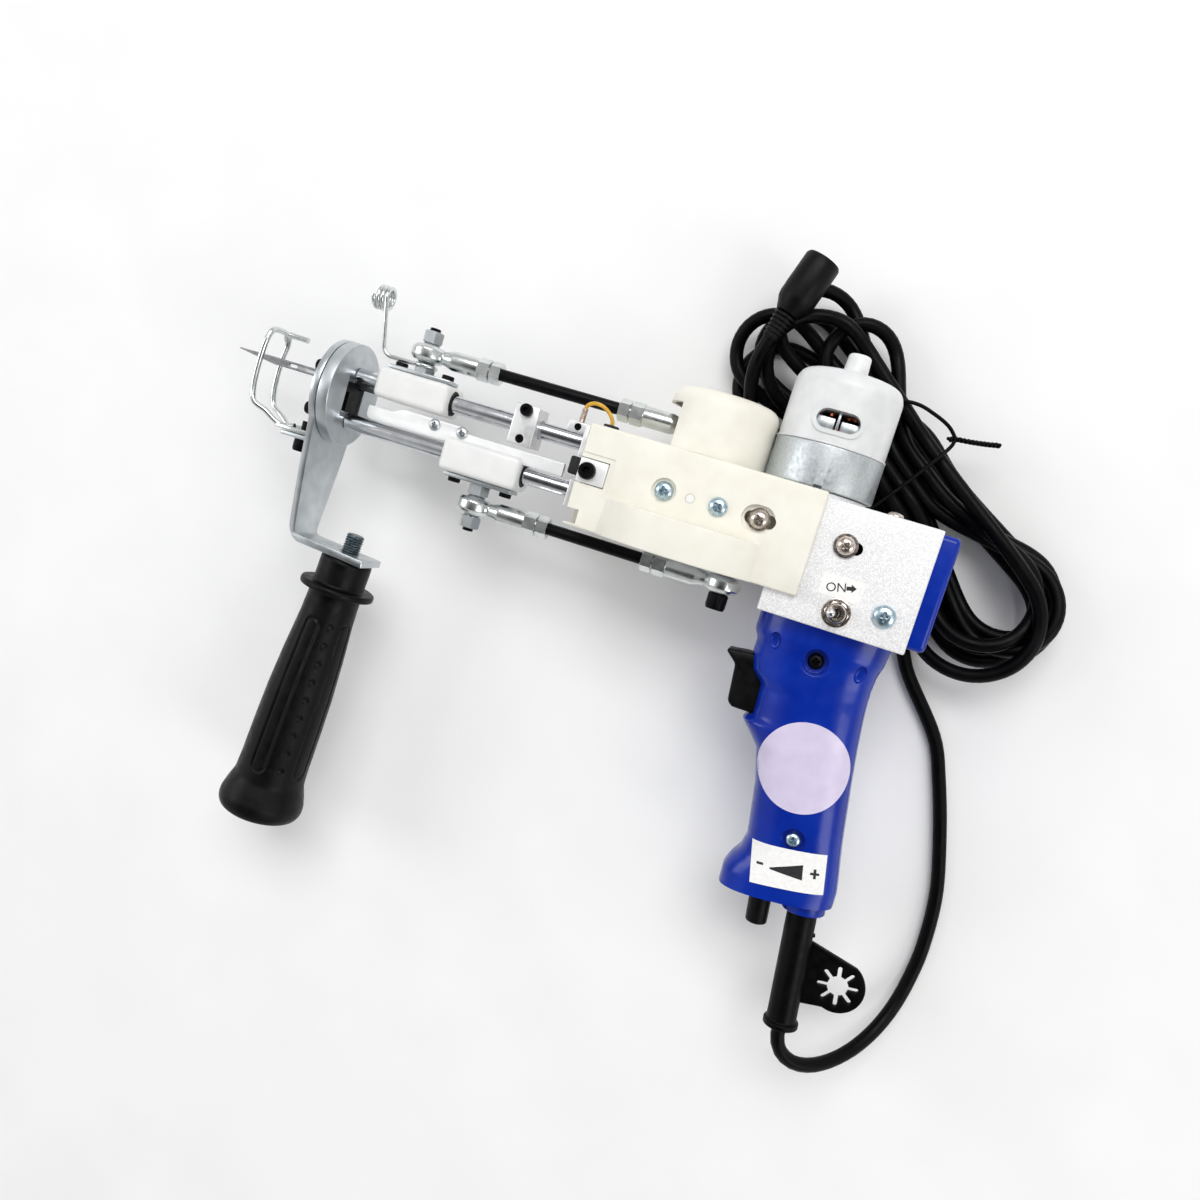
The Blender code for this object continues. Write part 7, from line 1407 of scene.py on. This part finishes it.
# %% Presser foot
shank = block("foot_shank", (-191.2, -18.9, -6.5), (-170.2, -16.9, 6.5), 0.5, 3)
slot = slab("foot_slot", obround((-179.3, 0), 9.0, 5.6), 6, Matrix.Translation((0, -17.9, 0)) @ Matrix.Rotation(math.pi / 2, 4, "X"))
shank = carve(shank, slot)
FOOT_FRONT, FOOT_TOP, FOOT_WIDE = -205.4, 22.1, 8.5
half_loop = [(-183.0, -16.4, 4.3), (-189.2, -17.4, 4.3), (-192.8, -16.4, 5.1), (-197.6, -13.4, 6.4), (-203.0, -10.8, 8.5),
             (-204.9, -5, 8.5), (-205.4, 2.1, 8.5), (-205.1, 11, 8.5), (-204.2, 17.8, 8.5), (-203.6, 22.1, 5.6)]
loop = half_loop + [(x, y, -z) for x, y, z in reversed(half_loop)]
hook = [(-204.4, 19.4, -7.4), (-203.6, 22.1, -5.67), (-198.0, 22.3, -5.67), (-192.9, 22.1, -5.67)]
keep(merge("wire_foot", shank, wire("loop", curved(loop, 0.8), 1.3, 5), wire("hook", curved(hook, 0.6), 1.3, 5)),
     "frame", chrome, "chrome", "presser_foot", crease=50)
foot_screw = rod("screw", (-179.3, -21.6, 0), (-179.3, -12.9, 0), 2.5, 0.3, 32)
keep(foot_screw, "frame", oxide, "black_oxide", "foot_screw")
socket_head("foot_screw_head", (-179.3, -21.5, 0), (0, -1, 0), 4.1, 5.2, "frame", oxide, "black_oxide")
print("foot reaches to", FOOT_FRONT, "mm")

# %% [markdown]
# ## Front handle
#
# The handle is black ABS moulded on a threaded stud. Its body is a surface of revolution with details pressed into
# it: two long oval grooves with a row of dimples between them, on both sides. The mesh is a fine grid of heights
# and angles, and each point's radius is the profile's radius less the depth of the detail there.

# %% Front handle
HANDLE_DOWN = Vector((-math.sin(math.radians(4.6)), -math.cos(math.radians(4.6)), 0))
HANDLE_ACROSS = Vector((-HANDLE_DOWN.y, HANDLE_DOWN.x, 0))
STUD = Vector((-143.4, -66.33, 0))
handle_profile = rounded(
    [(0, 0.3), (11.5, 0.3), (11.5, 12.5), (16.75, 12.5), (16.75, 15.7), (11.9, 15.7), (11.7, 19.0), (12.12, 28.8),
     (13.63, 46.4), (14.78, 65.0), (15.3, 83.6), (15.5, 99.0), (15.9, 107.6), (17.9, 113.6), (19.1, 118.0),
     (19.1, 121.4), (17.8, 124.1), (15.3, 125.2), (0, 124.6)], 1.2, 5)
along = np.concatenate([[0], np.cumsum(np.linalg.norm(np.diff(handle_profile, axis=0), axis=1))])
places = np.linspace(0, along[-1], 420)
radii, heights = (np.interp(places, along, [p[axis] for p in handle_profile]) for axis in (0, 1))
GROOVE_FROM, GROOVE_TO, GROOVE_HALF, GROOVE_LINE, GROOVE_DEPTH = 28.0, 102.0, 3.2, 0.55, 0.5
DIMPLE_START, DIMPLE_PITCH, DIMPLES, DIMPLE_RADIUS, DIMPLE_DEPTH = 30.0, 8.6, 9, 1.7, 0.5
PATTERN_TURN, GROOVE_TURN = math.radians(38), math.radians(38)


def pressed_in(height, angle, radius):
    """How deep the details go at a height and an angle."""
    deepest = 0.0
    for side in (0, math.pi):
        offset = (angle - side - PATTERN_TURN + math.pi) % (2 * math.pi) - math.pi
        for turn in (-GROOVE_TURN, GROOVE_TURN):
            sideways = (offset - turn) * radius
            beyond = max(GROOVE_FROM + GROOVE_HALF - height, height - GROOVE_TO + GROOVE_HALF, 0)
            edge = math.hypot(sideways, beyond) - GROOVE_HALF
            deepest = max(deepest, GROOVE_DEPTH * math.exp(-((edge / GROOVE_LINE) ** 2)))
        nearest = DIMPLE_START + DIMPLE_PITCH * min(max(round((height - DIMPLE_START) / DIMPLE_PITCH), 0), DIMPLES - 1)
        away = math.hypot(offset * radius, height - nearest) / DIMPLE_RADIUS
        deepest = max(deepest, DIMPLE_DEPTH * max(1 - away * away, 0) ** 0.5)
    return deepest


ROUND_STEPS = 240
bm = bmesh.new()
rings = []
for radius, height in zip(radii, heights):
    ring = []
    for k in range(ROUND_STEPS):
        angle = 2 * math.pi * k / ROUND_STEPS
        reach = radius - (pressed_in(height, angle, radius) if 20 < height < 112 else 0)
        at = STUD + HANDLE_DOWN * height + (Vector((0, 0, 1)) * math.cos(angle) + HANDLE_ACROSS * math.sin(angle)) * reach
        ring.append(bm.verts.new(at) if radius > 1e-6 or not ring else ring[0])
    rings.append(ring)
for upper_ring, lower_ring in zip(rings, rings[1:]):
    for k in range(ROUND_STEPS):
        corners = (upper_ring[k], upper_ring[(k + 1) % ROUND_STEPS], lower_ring[(k + 1) % ROUND_STEPS], lower_ring[k])
        bm.faces.new(tuple(dict.fromkeys(corners)))
keep(from_bmesh("moulded_handle", bm), "frame", black_abs, "black_plastic", "front_handle")
stud = thread("handle_stud", STUD + HANDLE_DOWN * 1.0, -HANDLE_DOWN, 12.5, 4.0, 1.1, 56)
keep(stud, "frame", dark_zinc, "black_plastic")
print("handle's faces:", len(places) * ROUND_STEPS)

# %% [markdown]
# ## Front plate, clamp, stop and earth wire
#
# The last small pieces sit where the guide rods enter the housing: a bright plate, a clamp for the lower rod, a stop
# block on the upper one, a rubber buffer between them, and the earth post with its yellow wire.

# %% Front plate and earth post
plate = block("plate", (-48.6, -14.0, -25.0), (-46.6, 19.5, 25.0), 0.4, 3)
bores = [rod("rod_bore", (-52, y, 0), (-44, y, 0), 3.95, 0, 64) for y in (UPPER_Y, LOWER_Y)]
plate = carve(plate, *bores, block("plate_window", (-50, -3.2, 14.2), (-44, 7.0, 30)))
earth_block = block("earth_block", (-57.3, 15.8, 12.5), (-47.6, 19.9, 20.5), 0.4, 3)
earth_block = carve(earth_block, rod("set_screw_hole", (-52.9, 17.85, 18.0), (-52.9, 17.85, 23.0), 1.5, 0, 32))
keep(merge("bright_front_plate", plate, earth_block), "frame", milled, "aluminium", "front_plate")
post = thread("earth_post", (-52.95, 18.9, 16.5), (0, 1, 0), 7.0, 1.3, 0.5, 32)
keep(post, "frame", nickel, "aluminium")
socket_head("earth_set_screw", (-52.9, 17.85, 18.8), (0, 0, 1), 1.5, 1.6, "frame", oxide, "aluminium")
wire_route = [(-52.95, 25.2, 16.5), (-52.4, 27.4, 16.7), (-49.8, 28.9, 17.2), (-46.0, 28.6, 17.3), (-42.6, 26.6, 17.0),
              (-40.7, 24.0, 16.6), (-40.5, 21.4, 16.5)]
keep(wire("earth_lead", curved(wire_route, 0.5), 0.8, 5), "frame", yellow, "yellow_wire", "earth_wire", crease=60)
grommet = turned("grommet", rounded([(0.8, 0), (3.2, 0), (3.2, 1.5), (1.4, 1.7), (0.8, 1.2), (0.8, 0)], 0.35, 3), (-40.5, 20.75, 16.5), (0, 1, 0), 48)
keep(grommet, "frame", rubber, "yellow_wire")

# %% Clamp block, stop block and buffer
clamp = block("clamp", (-46.3, -3.0, 14.5), (-34.5, 6.8, 26.7), 0.5, 3)
keep(clamp, "frame", blanked, "steel", "rod_clamp_block")
socket_head("clamp_screw", (-42.2, 1.9, 26.6), (0, 0, 1), 3.5, 3.0, "frame", oxide, "steel")
stop = block("stop", (-84.4, 4.4, -5.5), (-73.6, 21.4, 9.0), 0.5, 3)
stop = carve(
    stop,
    rod("stop_bore", (-90, UPPER_Y, 0), (-70, UPPER_Y, 0), 3.95, 0, 64),
    rod("set_screw_hole", (-79.0, 6.9, 7.2), (-79.0, 6.9, 12.0), 1.9, 0, 32),
)
keep(stop, "frame", milled, "aluminium", "stop_block")
socket_head("stop_screw", (-79.0, 19.1, 8.9), (0, 0, 1), 2.65, 3.0, "frame", oxide, "aluminium")
socket_head("stop_set_screw", (-79.0, 6.9, 7.6), (0, 0, 1), 1.85, 1.3, "frame", oxide, "aluminium")
pad = block("pad", (-55.5, -0.85, -8.0), (-48.9, 6.75, 8.0), 1.0, 4)
keep(pad, "frame", rubber, "black_rubber", "buffer_pad")

# %% [markdown]
# ## Solids that keep their CAD form
#
# Some pieces sit inside, and show only through a slot or when the machine is opened. Their CAD forms are right as
# they are, so they only get real finishes.

# %% Inner pieces
dress(brass, "pinion")
dress(blanked, "crankshaft", "upper_crank", "lower_crank", "lower_bearing", "upper_bearing", "drive_gear")
dress(zinc, "speed_pot")
dress(black_abs, "trigger_switch")
print("dressed:", 9)

# %% [markdown]
# ## Floor and light
#
# The machine lies on a plain pale table in a white room. The floor keeps the shadow. A broad soft box behind the
# motor gives the plastics their even look and the round metal its long highlights, and two weaker lamps from the
# sides lift the shadows.

# %% Floor
table = material("matt_white_table", Roughness=0.7, IOR=1.45)
mottle(table, "Base Color", linear("#F1F1F1"), linear("#F4F4F4"), 60, 2)
bm = bmesh.new()
bmesh.ops.create_grid(bm, x_segments=8, y_segments=8, size=3.0)
floor = from_bmesh("table_top", bm)
floor.location = (0, 0, -0.0002)
floor.data.materials.append(table)

# %% Lamps and surroundings
def lamp(name, at, aim, size, power, colour="#FFFFFF"):
    light = bpy.data.objects.new(name, bpy.data.lights.new(name, "AREA"))
    bpy.context.scene.collection.objects.link(light)
    light.data.shape = "RECTANGLE"
    light.data.size, light.data.size_y = size
    light.data.energy = power
    light.data.color = linear(colour)[:3]
    light.location = at
    light.rotation_euler = (Vector(aim) - Vector(at)).to_track_quat("-Z", "Y").to_euler()
    return light


lamp("soft_box_behind", (0.25, 1.5, 2.3), (0.02, 0, 0), (2.2, 1.2), 44.0)
lamp("side_fill_left", (-2.4, 0.2, 1.7), (0, 0, 0), (1.0, 1.6), 19.0, "#FBFCFF")
lamp("side_fill_right", (2.3, -0.6, 1.8), (0, 0, 0), (1.0, 1.6), 18.0, "#FFFDFA")

# %% The room as the metal mirrors it
# Diffuse light comes evenly from a white room. What polished metal mirrors is less even: overhead, towards the
# tool's grip, stands whoever works with it, so mirrors facing that way go dark.
ROOM, MIRRORED, OVERHEAD_DARK = 0.43, 0.58, 0.05
TO_PERSON = Vector((0.1, -0.35, 0.93)).normalized()
world = bpy.data.worlds.new("studio")
bpy.context.scene.world = world
world.use_nodes = True
place = add(world, "TexCoord")
facing = add(world, "VectorMath", {"operation": "DOT_PRODUCT", 1: TO_PERSON}, {0: place.outputs["Generated"]})
shade = add(
    world, "MapRange",
    {"interpolation_type": "SMOOTHSTEP", "From Min": 0.74, "From Max": 0.96, "To Min": MIRRORED, "To Max": OVERHEAD_DARK},
    {"Value": facing.outputs["Value"]},
)
path = add(world, "LightPath")
glossy = add(world, "Mix", {"data_type": "FLOAT", 2: ROOM}, {0: path.outputs["Is Glossy Ray"], 3: shade.outputs["Result"]})
seen = add(world, "Mix", {"data_type": "FLOAT", 3: 0.93}, {0: path.outputs["Is Camera Ray"], 2: glossy.outputs[0]})
world.node_tree.links.new(seen.outputs[0], world.node_tree.nodes["Background"].inputs["Strength"])
world.node_tree.nodes["Background"].inputs["Color"].default_value = (1, 1, 1, 1)
